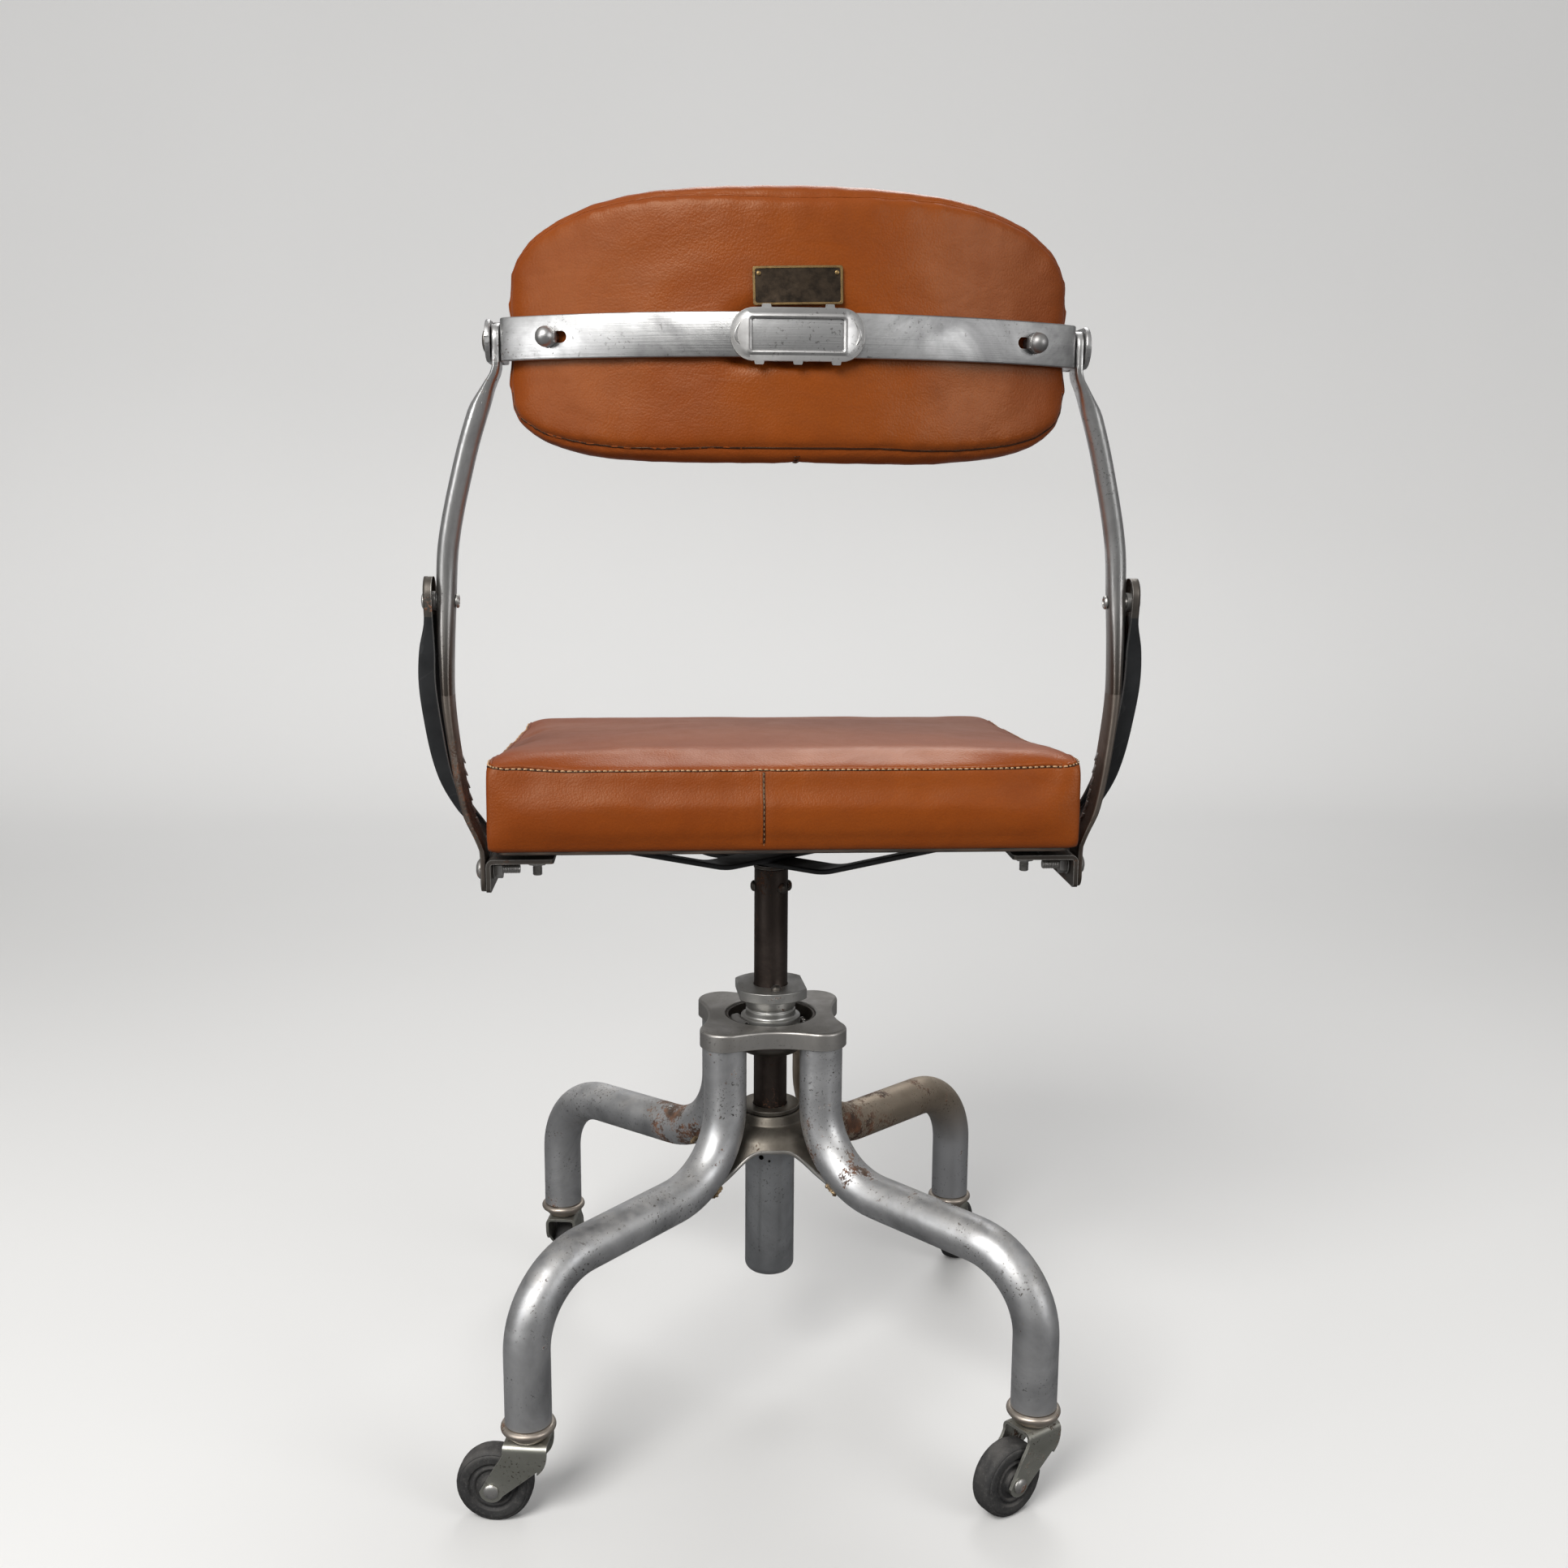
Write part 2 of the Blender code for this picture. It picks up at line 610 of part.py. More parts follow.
def make_axle(corner):
    """Riveted axle across the fork."""
    frame = caster_frame(corner)
    reach = FORK_HALF_WIDTH + SEAM_GAP
    start = frame @ Vector((CASTER_TRAIL, -reach - 0.0018, axle_height()))
    end = frame @ Vector((CASTER_TRAIL, reach + 0.0018, axle_height()))
    span = 2 * reach + 0.0036
    profile = [(0, 0), (0.0042, 0), (0.0055, 0.0018), (AXLE_RADIUS, 0.0018),
               (AXLE_RADIUS, span - 0.0018), (0.0055, span - 0.0018), (0.0042, span), (0, span)]
    return place_mesh(corner + "_axle", rod(start, end, profile), bright_steel)


# Swivel and spindle


def make_collar_nut():
    """Threaded bearing nut: journal in the cup, flange on its floor."""
    hole = bore(SPINDLE_RADIUS, ROUND_SIDES)
    seat = CUP_FLOOR_Z + SEAM_GAP
    profile = [(hole, CUP_HUB_Z + 0.001), (JOURNAL_RADIUS, CUP_HUB_Z + 0.001), (JOURNAL_RADIUS, seat),
               (NUT_FLANGE_RADIUS, seat), (NUT_FLANGE_RADIUS, NUT_FLANGE_TOP_Z - 0.0008),
               (NUT_FLANGE_RADIUS - 0.0008, NUT_FLANGE_TOP_Z), (NUT_RADIUS, NUT_FLANGE_TOP_Z),
               (NUT_RADIUS, NUT_TOP_Z), (hole, NUT_TOP_Z)]
    return place_mesh("collar_nut", revolved(profile, ROUND_SIDES, closed=True), leg_steel)


def make_clamp_plate():
    """Round plate with two flats that locks the spindle height."""
    low = NUT_TOP_Z + SEAM_GAP
    edge = asin(CLAMP_FLAT / CLAMP_RADIUS)
    outline = []
    for facing in (0, pi):
        outline += [(CLAMP_RADIUS * cos(facing + edge * k / 5), CLAMP_RADIUS * sin(facing + edge * k / 5))
                    for k in range(-5, 6)]
    made = turned(slab(outline, low, low + CLAMP_HEIGHT), Matrix.Rotation(CLAMP_TURN, 4, "Z"))
    body = place_mesh("clamp_plate", made, leg_steel)
    spot = clamp_screw_spot()
    bore_tool = drill("clamp_bore", (0, 0, low - 0.01), (0, 0, low + 0.02), SPINDLE_RADIUS, ROUND_SIDES)
    screw_tool = drill("clamp_tap", spot - Vector((0, 0, CLAMP_TAP_DEPTH)), spot + Vector((0, 0, 0.01)),
                       CLAMP_SCREW_RADIUS)
    return apply_boolean(body, [bore_tool, screw_tool], "DIFFERENCE")


def clamp_screw_spot():
    """Where the lock screw enters the top of the clamp plate."""
    top = NUT_TOP_Z + SEAM_GAP + CLAMP_HEIGHT
    return Vector((CLAMP_SCREW_REACH * sin(CLAMP_SCREW_HEADING),
                   -CLAMP_SCREW_REACH * cos(CLAMP_SCREW_HEADING), top))


def make_clamp_screw():
    """Round-headed screw that locks the plate on the spindle."""
    radius = CLAMP_SCREW_RADIUS
    head = 0.0026
    length = head + SEAM_GAP + CLAMP_TAP_DEPTH - 0.0006
    profile = [(0, 0), (radius, 0), (0.0034, 0.0010), (0.0038, head), (radius, head), (radius, length),
               (0, length)]
    start = clamp_screw_spot() + Vector((0, 0, SEAM_GAP + head))
    return place_mesh("clamp_screw", rod(start, start - Vector((0, 0, 0.01)), profile), bright_steel)


def make_spring_clip():
    """Bent leaf on the cup floor that drags on the nut flange."""
    low = CUP_FLOOR_Z + SEAM_GAP
    inner, outer = NUT_FLANGE_RADIUS + 0.0006, CUP_RADIUS - CUP_WALL - 0.0022
    strip = [(outer, low), (outer, low + 0.0060), (inner + 0.0020, low + 0.0085), (inner, low + 0.0070)]
    thick = 0.0009
    rings = []
    for k in range(7):
        angle = radians(168 + 9 * k)
        out = Vector((cos(angle), sin(angle), 0))
        up = Vector((0, 0, 1))
        path = [out * r + up * z for r, z in strip]
        back = [out * (r - thick) + up * z for r, z in strip[:2]]
        back += [out * r + up * (z - thick * 1.2) for r, z in strip[2:]]
        rings.append(path + back[::-1])
    return place_mesh("spring_clip", lofted(rings), bright_steel)


def make_spindle():
    """Round post, hollow at the top for the stem of the seat hub."""
    profile = [(0, SPINDLE_BOTTOM_Z), (SPINDLE_RADIUS - 0.0015, SPINDLE_BOTTOM_Z),
               (SPINDLE_RADIUS, SPINDLE_BOTTOM_Z + 0.0015), (SPINDLE_RADIUS, SPINDLE_TOP_Z),
               (SPINDLE_BORE, SPINDLE_TOP_Z), (SPINDLE_BORE, SPINDLE_TOP_Z - SPINDLE_BORE_DEPTH),
               (0, SPINDLE_TOP_Z - SPINDLE_BORE_DEPTH)]
    body = place_mesh("spindle", revolved(profile, ROUND_SIDES), rusty_steel)
    apply_boolean(body, [pin_tool("spindle_pin_hole"), rivet_tool("spindle_rivet_hole")], "DIFFERENCE")
    return body


def pin_tool(name):
    return drill(name, (-0.03, 0, PIN_Z), (0.03, 0, PIN_Z), PIN_RADIUS)


def rivet_direction():
    return Vector((cos(radians(-52)), sin(radians(-52)), 0))


def rivet_tool(name):
    inner = rivet_direction() * 0.0060 + Vector((0, 0, PIN_Z))
    outer = rivet_direction() * 0.0300 + Vector((0, 0, PIN_Z))
    return drill(name, inner, outer, PIN_RADIUS)


def make_seat_hub():
    """Stem inside the spindle and the flange that the seat irons are welded to."""
    stem = SPINDLE_BORE - SEAM_GAP
    low = SPINDLE_TOP_Z - SPINDLE_BORE_DEPTH + 0.002
    seat = SPINDLE_TOP_Z + SEAM_GAP
    profile = [(0, low), (stem, low), (stem, seat), (SPINDLE_RADIUS + 0.0006, seat),
               (SPINDLE_RADIUS + 0.0006, IRON_LOW_Z - SEAM_GAP), (0, IRON_LOW_Z - SEAM_GAP)]
    body = place_mesh("seat_hub", revolved(profile, ROUND_SIDES), rusty_steel)
    apply_boolean(body, [pin_tool("hub_pin_hole"), rivet_tool("hub_rivet_hole")], "DIFFERENCE")
    return body


def make_cross_pin():
    reach = SPINDLE_RADIUS + SEAM_GAP
    span = 2 * (reach + PIN_HEAD)
    profile = [(0, 0), (PIN_HEAD_RADIUS * 0.6, 0.0004), (PIN_HEAD_RADIUS, PIN_HEAD), (PIN_RADIUS, PIN_HEAD),
               (PIN_RADIUS, span - PIN_HEAD), (PIN_HEAD_RADIUS, span - PIN_HEAD),
               (PIN_HEAD_RADIUS * 0.6, span - 0.0004), (0, span)]
    made = rod((-reach - PIN_HEAD, 0, PIN_Z), (reach + PIN_HEAD, 0, PIN_Z), profile)
    return place_mesh("cross_pin", made, rusty_steel)


def make_hub_rivet():
    reach = SPINDLE_RADIUS + SEAM_GAP
    inner = rivet_direction() * 0.0064 + Vector((0, 0, PIN_Z))
    outer = rivet_direction() * (reach + PIN_HEAD) + Vector((0, 0, PIN_Z))
    shank = reach - 0.0064
    profile = [(0, 0), (PIN_RADIUS, 0), (PIN_RADIUS, shank), (PIN_HEAD_RADIUS, shank),
               (PIN_HEAD_RADIUS * 0.6, shank + PIN_HEAD - 0.0004), (0, shank + PIN_HEAD)]
    return place_mesh("hub_rivet", rod(inner, outer, profile), rusty_steel)


# Seat


def iron_rings(low_z):
    """Cross-sections of a dished bar along X: flat in the middle, rising to flat ends."""
    high_z = BOARD_BOTTOM_Z - SEAM_GAP - IRON_THICK
    half = [(0.0, low_z), (IRON_FLAT_REACH, low_z), (IRON_RISE_REACH, high_z), (IRON_END_REACH, high_z)]
    line = bent_line([(x, 0, z) for x, z in half], [0.060, 0.060], [4, 4])
    line = [Vector((-p.x, 0, p.z)) for p in line[:0:-1]] + line
    rings = []
    edge = 0.0011
    for i, point in enumerate(line):
        ahead = (line[min(i + 1, len(line) - 1)] - line[max(i - 1, 0)]).normalized()
        up = Vector((-ahead.z, 0, ahead.x))
        span = IRON_WIDTH / 2
        corners = [(-span + edge, 0), (span - edge, 0), (span, edge), (span, IRON_THICK - edge),
                   (span - edge, IRON_THICK), (-span + edge, IRON_THICK),
                   (-span, IRON_THICK - edge), (-span, edge)]
        rings.append([point + Vector((0, y, 0)) + up * h for y, h in corners])
    return rings


def make_iron(name, low_z, heading):
    made = lofted(iron_rings(low_z))
    turned(made, Matrix.Rotation(heading, 4, "Z"))
    body = place_mesh(name, made, black_paint)
    ends = [(SEAT_BOLT_X, SEAT_BOLT_Y), (-SEAT_BOLT_X, SEAT_BOLT_Y)]
    end = ends[0] if heading < 0 else ends[1]
    tool = drill(name + "_hole", (end[0], end[1], BOARD_BOTTOM_Z - 0.02),
                 (end[0], end[1], BOARD_BOTTOM_Z + 0.02), BOLT_RADIUS)
    apply_boolean(body, [tool], "DIFFERENCE")
    return body


def seat_outline(inset, count):
    """Plan of the seat: small rear corners, large front corners."""
    half = SEAT_HALF_WIDTH - inset
    rear, front = SEAT_REAR_Y + inset, SEAT_FRONT_Y - inset
    small, large = max(SEAT_REAR_CORNER - inset, 0.003), SEAT_FRONT_CORNER - inset
    corners = [(half, rear, small, -90), (half, front, large, 0), (-half, front, large, 90),
               (-half, rear, small, 180)]
    points = []
    for x, y, radius, start in corners:
        centre = (x - radius if x > 0 else x + radius, y + radius if y < 0 else y - radius)
        for k in range(count + 1):
            angle = radians(start + 90 * k / count)
            points.append((centre[0] + radius * cos(angle), centre[1] + radius * sin(angle)))
    return points


def make_seat_board():
    outline = seat_outline(BOARD_INSET, 5)
    body = place_mesh("seat_board", slab(outline, BOARD_BOTTOM_Z, BOARD_BOTTOM_Z + BOARD_THICK), black_paint)
    tools = []
    for name, side in SIDES.items():
        tools.append(drill(name + "_board_hole", (side * SEAT_BOLT_X, SEAT_BOLT_Y, BOARD_BOTTOM_Z - 0.001),
                           (side * SEAT_BOLT_X, SEAT_BOLT_Y, BOARD_BOTTOM_Z + 0.006), BOLT_RADIUS))
    apply_boolean(body, tools, "DIFFERENCE")
    return body


def seat_top(x, y):
    """Height of the sitting surface: level at the rear, crowned, rolled down at the front."""
    depth = (y - SEAT_REAR_Y) / (SEAT_FRONT_Y - SEAT_REAR_Y)
    across = abs(x) / SEAT_HALF_WIDTH
    crown = 0.0
    if depth < 0.8:
        crown = SEAT_CROWN * (1 - across ** 2.6) * sin(pi * min(depth * 1.25, 1.0)) ** 0.8
    return SEAT_REAR_TOP_Z + crown - SEAT_FRONT_DROP * depth ** 1.8


def make_cushion():
    """Boxed seat cushion: case drawn down round the board, crowned top, softly rounded edge."""
    low = BOARD_BOTTOM_Z + BOARD_THICK + SEAM_GAP
    count = 5
    skirt = BOARD_BOTTOM_Z + SKIRT_CLEARANCE
    inner = BOARD_INSET - SEAM_GAP
    levels = [(inner, None, low), (inner, None, skirt), (0.0030, None, skirt),
              (0.0, None, skirt + 0.004), (0.0, -0.006, None), (0.0030, -0.0015, None), (0.0090, 0.0, None),
              (0.045, 0.0, None), (0.110, 0.0, None)]
    rings = []
    for inset, below, flat in levels:
        shape = seat_outline(min(inset, 0.050), count)
        if inset > 0.050:
            shrink = (SEAT_HALF_WIDTH - inset) / (SEAT_HALF_WIDTH - 0.050)
            middle = (SEAT_REAR_Y + SEAT_FRONT_Y) / 2
            shape = [(x * shrink, middle + (y - middle) * shrink) for x, y in shape]
        rings.append([(x, y, flat if flat is not None else seat_top(x, y) + below) for x, y in shape])
    return place_mesh("seat_cushion", lofted(rings), leather)


# Brackets and bolts


def bracket_top():
    return BOARD_BOTTOM_Z - SEAM_GAP - IRON_THICK - SEAM_GAP


def make_bracket(side_name):
    """Angle bracket under the end of a seat iron, with its flange turned down beside the seat."""
    side = SIDES[side_name]
    top = bracket_top()
    bend = 0.0035
    inner = BRACKET_OUTER_X - BRACKET_THICK
    section = [(BRACKET_INNER_X, top), (BRACKET_OUTER_X - bend, top),
               (BRACKET_OUTER_X - bend * 0.3, top - bend * 0.3),
               (BRACKET_OUTER_X, top - bend), (BRACKET_OUTER_X, BRACKET_FLANGE_Z), (inner, BRACKET_FLANGE_Z),
               (inner, top - BRACKET_THICK - 0.0012), (inner - 0.0012, top - BRACKET_THICK),
               (BRACKET_INNER_X, top - BRACKET_THICK)]
    made = slab(section, BRACKET_REAR_Y, BRACKET_FRONT_Y)
    turned(made, Matrix(((1, 0, 0, 0), (0, 0, 1, 0), (0, 1, 0, 0), (0, 0, 0, 1))))
    turned(made, Matrix.Diagonal((side, 1, 1, 1)))
    body = place_mesh(side_name + "_bracket", made, black_paint)
    tools = [drill("bracket_seat_hole", (side * SEAT_BOLT_X, SEAT_BOLT_Y, top - 0.01),
                   (side * SEAT_BOLT_X, SEAT_BOLT_Y, top + 0.01), BOLT_RADIUS)]
    for y in (PIVOT_BOLT_Y, CLAMP_BOLT_Y):
        tools.append(drill("bracket_side_hole", (side * 0.18, y, SIDE_BOLT_Z), (side * 0.20, y, SIDE_BOLT_Z),
                           BOLT_RADIUS))
    apply_boolean(body, tools, "DIFFERENCE")
    return body


def nut_and_shank(start, end, shank_start, head, nut_low, nut_high, name, material):
    """Bolt with its nut run on, as one body: round head, shank, hexagon nut."""
    axis = (Vector(end) - Vector(start)).normalized()
    length = (Vector(end) - Vector(start)).length
    profile = [(0, 0), (head * 0.6, 0.0003), (head, shank_start * 0.7), (head, shank_start),
               (BOLT_RADIUS, shank_start), (BOLT_RADIUS, length - 0.0006),
               (BOLT_RADIUS - 0.0006, length), (0, length)]
    body = place_mesh(name, rod(start, end, profile), material)
    low = Vector(start) + axis * nut_low
    high = Vector(start) + axis * nut_high
    across = 0.0064
    nut = cutter(name + "_nut", rod(low, high, [(0, 0), (across, 0), (across, nut_high - nut_low),
                                                (0, nut_high - nut_low)], 6))
    return apply_boolean(body, [nut], "UNION")


def make_seat_bolt(side_name):
    """Bolt up through bracket, iron and board, with its nut below."""
    x = SIDES[side_name] * SEAT_BOLT_X
    top = BOARD_BOTTOM_Z + 0.0055
    bottom = bracket_top() - BRACKET_THICK - 0.0125
    below = bracket_top() - BRACKET_THICK - SEAM_GAP
    axis_top = (x, SEAT_BOLT_Y, top)
    axis_low = (x, SEAT_BOLT_Y, bottom)
    length = top - bottom
    profile = [(0, 0), (BOLT_RADIUS, 0), (BOLT_RADIUS, length - 0.0006),
               (BOLT_RADIUS - 0.0006, length), (0, length)]
    body = place_mesh(side_name + "_seat_bolt", rod(axis_top, axis_low, profile), rusty_steel)
    nut = cutter("seat_bolt_nut", rod((x, SEAT_BOLT_Y, below), (x, SEAT_BOLT_Y, below - 0.0052), [
        (0, 0), (0.0064, 0), (0.0064, 0.0052), (0, 0.0052)], 6))
    return apply_boolean(body, [nut], "UNION")


def strap_outer_x():
    return BRACKET_OUTER_X + SEAM_GAP


def make_side_bolt(side_name, label, y, outer_x):
    """Bolt through an upright or an arm and the bracket flange, nut on the seat side."""
    side = SIDES[side_name]
    start = Vector((side * (outer_x + SEAM_GAP + 0.0032), y, SIDE_BOLT_Z))
    end = Vector((side * (BRACKET_OUTER_X - 0.0205), y, SIDE_BOLT_Z))
    inner = BRACKET_OUTER_X - BRACKET_THICK - SEAM_GAP
    nut_low = abs(start.x) - inner
    return nut_and_shank(start, end, 0.0032, 0.0068, nut_low, nut_low + 0.0055,
                         side_name + label, rusty_steel)


# Uprights and arms

# Centre line of an upright by height: distance from the middle, depth, half thickness, half width, squareness
FOOT_THICK = 0.0042
NOTCH_COUNT = 6
NOTCH_LOW_Z = 0.4765
NOTCH_PITCH = 0.0082
NOTCH_DEPTH = 0.0009
NOTCH_SHARE = 0.42


def upright_knots():
    foot_x = strap_outer_x() + FOOT_THICK / 2
    flat = FOOT_THICK / 2
    return [
        (0.4320, foot_x, CLAMP_BOLT_Y, flat, FOOT_HALF_WIDTH, 5.0),
        (0.4580, foot_x, CLAMP_BOLT_Y, flat, FOOT_HALF_WIDTH, 5.0),
        (0.4670, foot_x + 0.0028, CLAMP_BOLT_Y, flat, FOOT_HALF_WIDTH, 5.0),
        (0.4850, foot_x + 0.0100, CLAMP_BOLT_Y, 0.0028, FOOT_HALF_WIDTH, 4.0),
        (0.5300, foot_x + 0.0175, CLAMP_BOLT_Y, 0.0034, 0.0115, 3.2),
        (0.5700, foot_x + 0.0205, ELBOW_Y, 0.0044, 0.0100, 2.6),
        (0.6205, foot_x + 0.0195, ELBOW_Y, 0.0062, 0.0078, 2.2),
        (0.6580, foot_x + 0.0165, ELBOW_Y - 0.0030, TUBE_RADIUS, TUBE_RADIUS, 2.0),
        (0.7050, foot_x + 0.0050, ELBOW_Y - 0.0110, TUBE_RADIUS, TUBE_RADIUS, 2.0),
        (0.7380, foot_x - 0.0060, ELBOW_Y - 0.0185, TUBE_RADIUS, TUBE_RADIUS, 2.0),
        (0.7510, EAR_X + 0.0060, EAR_Y + 0.0035, 0.0044, 0.0084, 2.8),
        (0.7630, EAR_X, EAR_Y, EAR_THICK / 2, EAR_HALF_WIDTH, 4.0),
        (EAR_Z + EAR_HALF_WIDTH, EAR_X, EAR_Y, EAR_THICK / 2, EAR_HALF_WIDTH, 4.0),
    ]


def squared_ring(centre, half_x, half_y, power, sides):
    ring = []
    for k in range(sides):
        angle = 2 * pi * (k + 0.5) / sides
        c, s = cos(angle), sin(angle)
        size = (abs(c) ** power + abs(s) ** power) ** (-1.0 / power)
        ring.append(centre + Vector((half_x * c * size, half_y * s * size, 0)))
    return ring


def make_upright(side_name):
    """Tube flattened at both ends: the ear for the back strap above, the slotted foot below."""
    side = SIDES[side_name]
    knots = upright_knots()
    low, high = knots[0][0], knots[-1][0]
    end = 0.0085
    levels = [low + end * (1 - cos(pi / 2 * k / 3)) for k in range(4)]
    levels += [0.4580, 0.4625, 0.4670, 0.4750, 0.4850, 0.5000, 0.5150, 0.5300, 0.5500, 0.5700, 0.5950, 0.6205,
               0.6400, 0.6580, 0.6740, 0.6900, 0.7050, 0.7230, 0.7380, 0.7450, 0.7510, 0.7570, 0.7630, 0.7700]
    levels += [high - EAR_HALF_WIDTH * (1 - sin(pi / 2 * k / 4)) for k in range(5)]
    rings = []
    for z in levels:
        x, y, half_x, half_y, power = smooth_curve(knots, z)
        if z < low + end:
            half_y *= sqrt(max(1 - ((low + end - z) / end) ** 2, 0.0)) * 0.75 + 0.25
        if z > high - EAR_HALF_WIDTH:
            over = (z - high + EAR_HALF_WIDTH) / EAR_HALF_WIDTH
            half_y *= sqrt(max(1 - over ** 2, 0.0)) * 0.86 + 0.14
        centre = Vector((side * x, y, z))
        rings.append(squared_ring(centre, half_x, half_y, power, UPRIGHT_SIDES))
    body = place_mesh(side_name + "_upright", lofted(rings), bright_steel)
    x = side * EAR_X
    elbow = side * (strap_outer_x() + FOOT_THICK / 2 + 0.0195)
    tools = [drill("ear_hole", (x - 0.02, EAR_Y, EAR_Z), (x + 0.02, EAR_Y, EAR_Z), ear_pin_radius())]
    tools.append(drill("elbow_hole", (elbow - 0.02, ELBOW_Y, ELBOW_Z), (elbow + 0.02, ELBOW_Y, ELBOW_Z),
                       BOLT_RADIUS))
    tools.append(cutter("lean_slot", lean_slot(side)))
    for k in range(NOTCH_COUNT):
        tools.append(cutter("index_notch", index_notch(side, NOTCH_LOW_Z + NOTCH_PITCH * k)))
    return apply_boolean(body, tools, "DIFFERENCE")


def index_notch(side, z):
    """Shallow triangular notch in the inner face of a foot, toward its front edge."""
    x, y, half_x, half_y, power = smooth_curve(upright_knots(), z)
    made = slab([(-0.0022, 0.0029), (0.0022, 0.0029), (0.0, -0.0029)], -0.010, 0.0)
    spot = Matrix.Translation((side * (x - half_x + NOTCH_DEPTH), y + half_y * NOTCH_SHARE, z))
    return turned(made, spot @ Matrix(((0, 0, side, 0), (1, 0, 0, 0), (0, 1, 0, 0), (0, 0, 0, 1))))


def ear_pin_radius():
    return 0.0040


def lean_slot(side):
    """Arc slot round the pivot bolt, as wide as the clamp bolt."""
    reach = PIVOT_BOLT_Y - CLAMP_BOLT_Y
    wide = BOLT_RADIUS + 0.0003
    points = []
    for swing, start in ((pi + LEAN_FORWARD + LEAN_SLACK, 0), (pi - LEAN_BACK - LEAN_SLACK, pi)):
        for k in range(7):
            turn = start + pi * k / 6
            middle = Vector((PIVOT_BOLT_Y + reach * cos(swing), SIDE_BOLT_Z + reach * sin(swing)))
            points.append((middle.x + wide * cos(pi + turn), middle.y + wide * sin(pi + turn)))
    made = slab(points, strap_outer_x() - 0.009, strap_outer_x() + 0.021)
    matrix = Matrix(((0, 0, side, 0), (1, 0, 0, 0), (0, 1, 0, 0), (0, 0, 0, 1)))
    return turned(made, matrix)


def arm_knots():
    """Black side arm by height: inner face distance, depth, lateral depth of the channel."""
    foot = strap_outer_x()
    elbow = foot + FOOT_THICK / 2 + 0.0195 + 0.0062 + 0.0016
    return [
        (0.4335, foot, PIVOT_BOLT_Y, 0.0030),
        (0.4560, foot, PIVOT_BOLT_Y, 0.0030),
        (0.4660, foot + 0.0042, PIVOT_BOLT_Y, 0.0042),
        (0.4820, foot + 0.0150, PIVOT_BOLT_Y - 0.0005, 0.0070),
        (0.5050, foot + 0.0235, PIVOT_BOLT_Y - 0.0040, 0.0098),
        (0.5400, foot + 0.0285, PIVOT_BOLT_Y - 0.0110, 0.0112),
        (0.5700, elbow + 0.0012, PIVOT_BOLT_Y - 0.0180, 0.0110),
        (0.5900, elbow + 0.0002, PIVOT_BOLT_Y - 0.0235, 0.0100),
        (0.6110, elbow, ELBOW_Y + 0.0020, 0.0056),
        (0.6360, elbow, ELBOW_Y - 0.0006, 0.0056),
    ]


def make_arm(side_name):
    """Pressed channel outside the upright, flanges turned in, both ends flat and round."""
    side = SIDES[side_name]
    knots = arm_knots()
    low, high = knots[0][0], knots[-1][0]
    end = 0.0125
    levels = [low + end * (1 - cos(pi / 2 * k / 3)) for k in range(4)]
    levels += [0.4560, 0.4610, 0.4660, 0.4740, 0.4820, 0.4930, 0.5050, 0.5220, 0.5400, 0.5550, 0.5700, 0.5900,
               0.6000, 0.6110]
    levels += [high - end * (1 - sin(pi / 2 * k / 3)) for k in range(4)]
    rings = []
    for z in levels:
        x, y, deep = smooth_curve(knots, z)
        half = ARM_HALF_WIDTH
        if z < low + end:
            half *= sqrt(max(1 - ((low + end - z) / end) ** 2, 0.0)) * 0.80 + 0.20
        if z > high - end:
            half *= sqrt(max(1 - ((z - high + end) / end) ** 2, 0.0)) * 0.80 + 0.20
        web = min(ARM_SKIN, deep * 0.9)
        wall = min(ARM_SKIN, half * 0.3)
        outer = x + deep
        section = [(x, -half), (outer - 0.0014, -half), (outer, -half + 0.0014), (outer, half - 0.0014),
                   (outer - 0.0014, half), (x, half), (x, half - wall), (outer - web, half - wall),
                   (outer - web, -half + wall), (x, -half + wall)]
        rings.append([Vector((side * px, y + py, z)) for px, py in section])
    body = place_mesh(side_name + "_arm", lofted(rings), black_paint)
    tools = []
    for y, z in ((PIVOT_BOLT_Y, SIDE_BOLT_Z), (ELBOW_Y, ELBOW_Z)):
        tools.append(drill("arm_hole", (side * 0.18, y, z), (side * 0.25, y, z), BOLT_RADIUS))
    return apply_boolean(body, tools, "DIFFERENCE")


def make_elbow_pin(side_name):
    """Rivet that joins arm and upright, with its spacer collar between them."""
    side = SIDES[side_name]
    middle = strap_outer_x() + FOOT_THICK / 2 + 0.0195
    tube_in, tube_out = middle - 0.0062 - SEAM_GAP, middle + 0.0062 + SEAM_GAP
    arm_out = middle + 0.0062 + 0.0016 + 0.0056 + SEAM_GAP
    arm_in = arm_out - SEAM_GAP - ARM_SKIN - SEAM_GAP
    start = tube_in - 0.0016
    profile = [(0, 0), (0.0030, 0), (0.0045, 0.0010), (0.0045, 0.0016), (BOLT_RADIUS, 0.0016),
               (BOLT_RADIUS, tube_out - start), (0.0062, tube_out - start), (0.0062, arm_in - start),
               (BOLT_RADIUS, arm_in - start), (BOLT_RADIUS, arm_out - start), (0.0058, arm_out - start),
               (0.0050, arm_out - start + 0.0016), (0, arm_out - start + 0.0020)]
    made = rod((side * start, ELBOW_Y, ELBOW_Z), (side * (start + 0.01), ELBOW_Y, ELBOW_Z), profile)
    return place_mesh(side_name + "_elbow_pin", made, rusty_steel)


# Back


def strap_circle():
    """Centre and radius of the strap's middle line in plan."""
    middle = STRAP_REAR_Y + STRAP_THICK / 2
    rise = STRAP_END_Y - middle
    radius = (STRAP_END_X ** 2 + rise ** 2) / (2 * rise)
    return middle + radius, radius


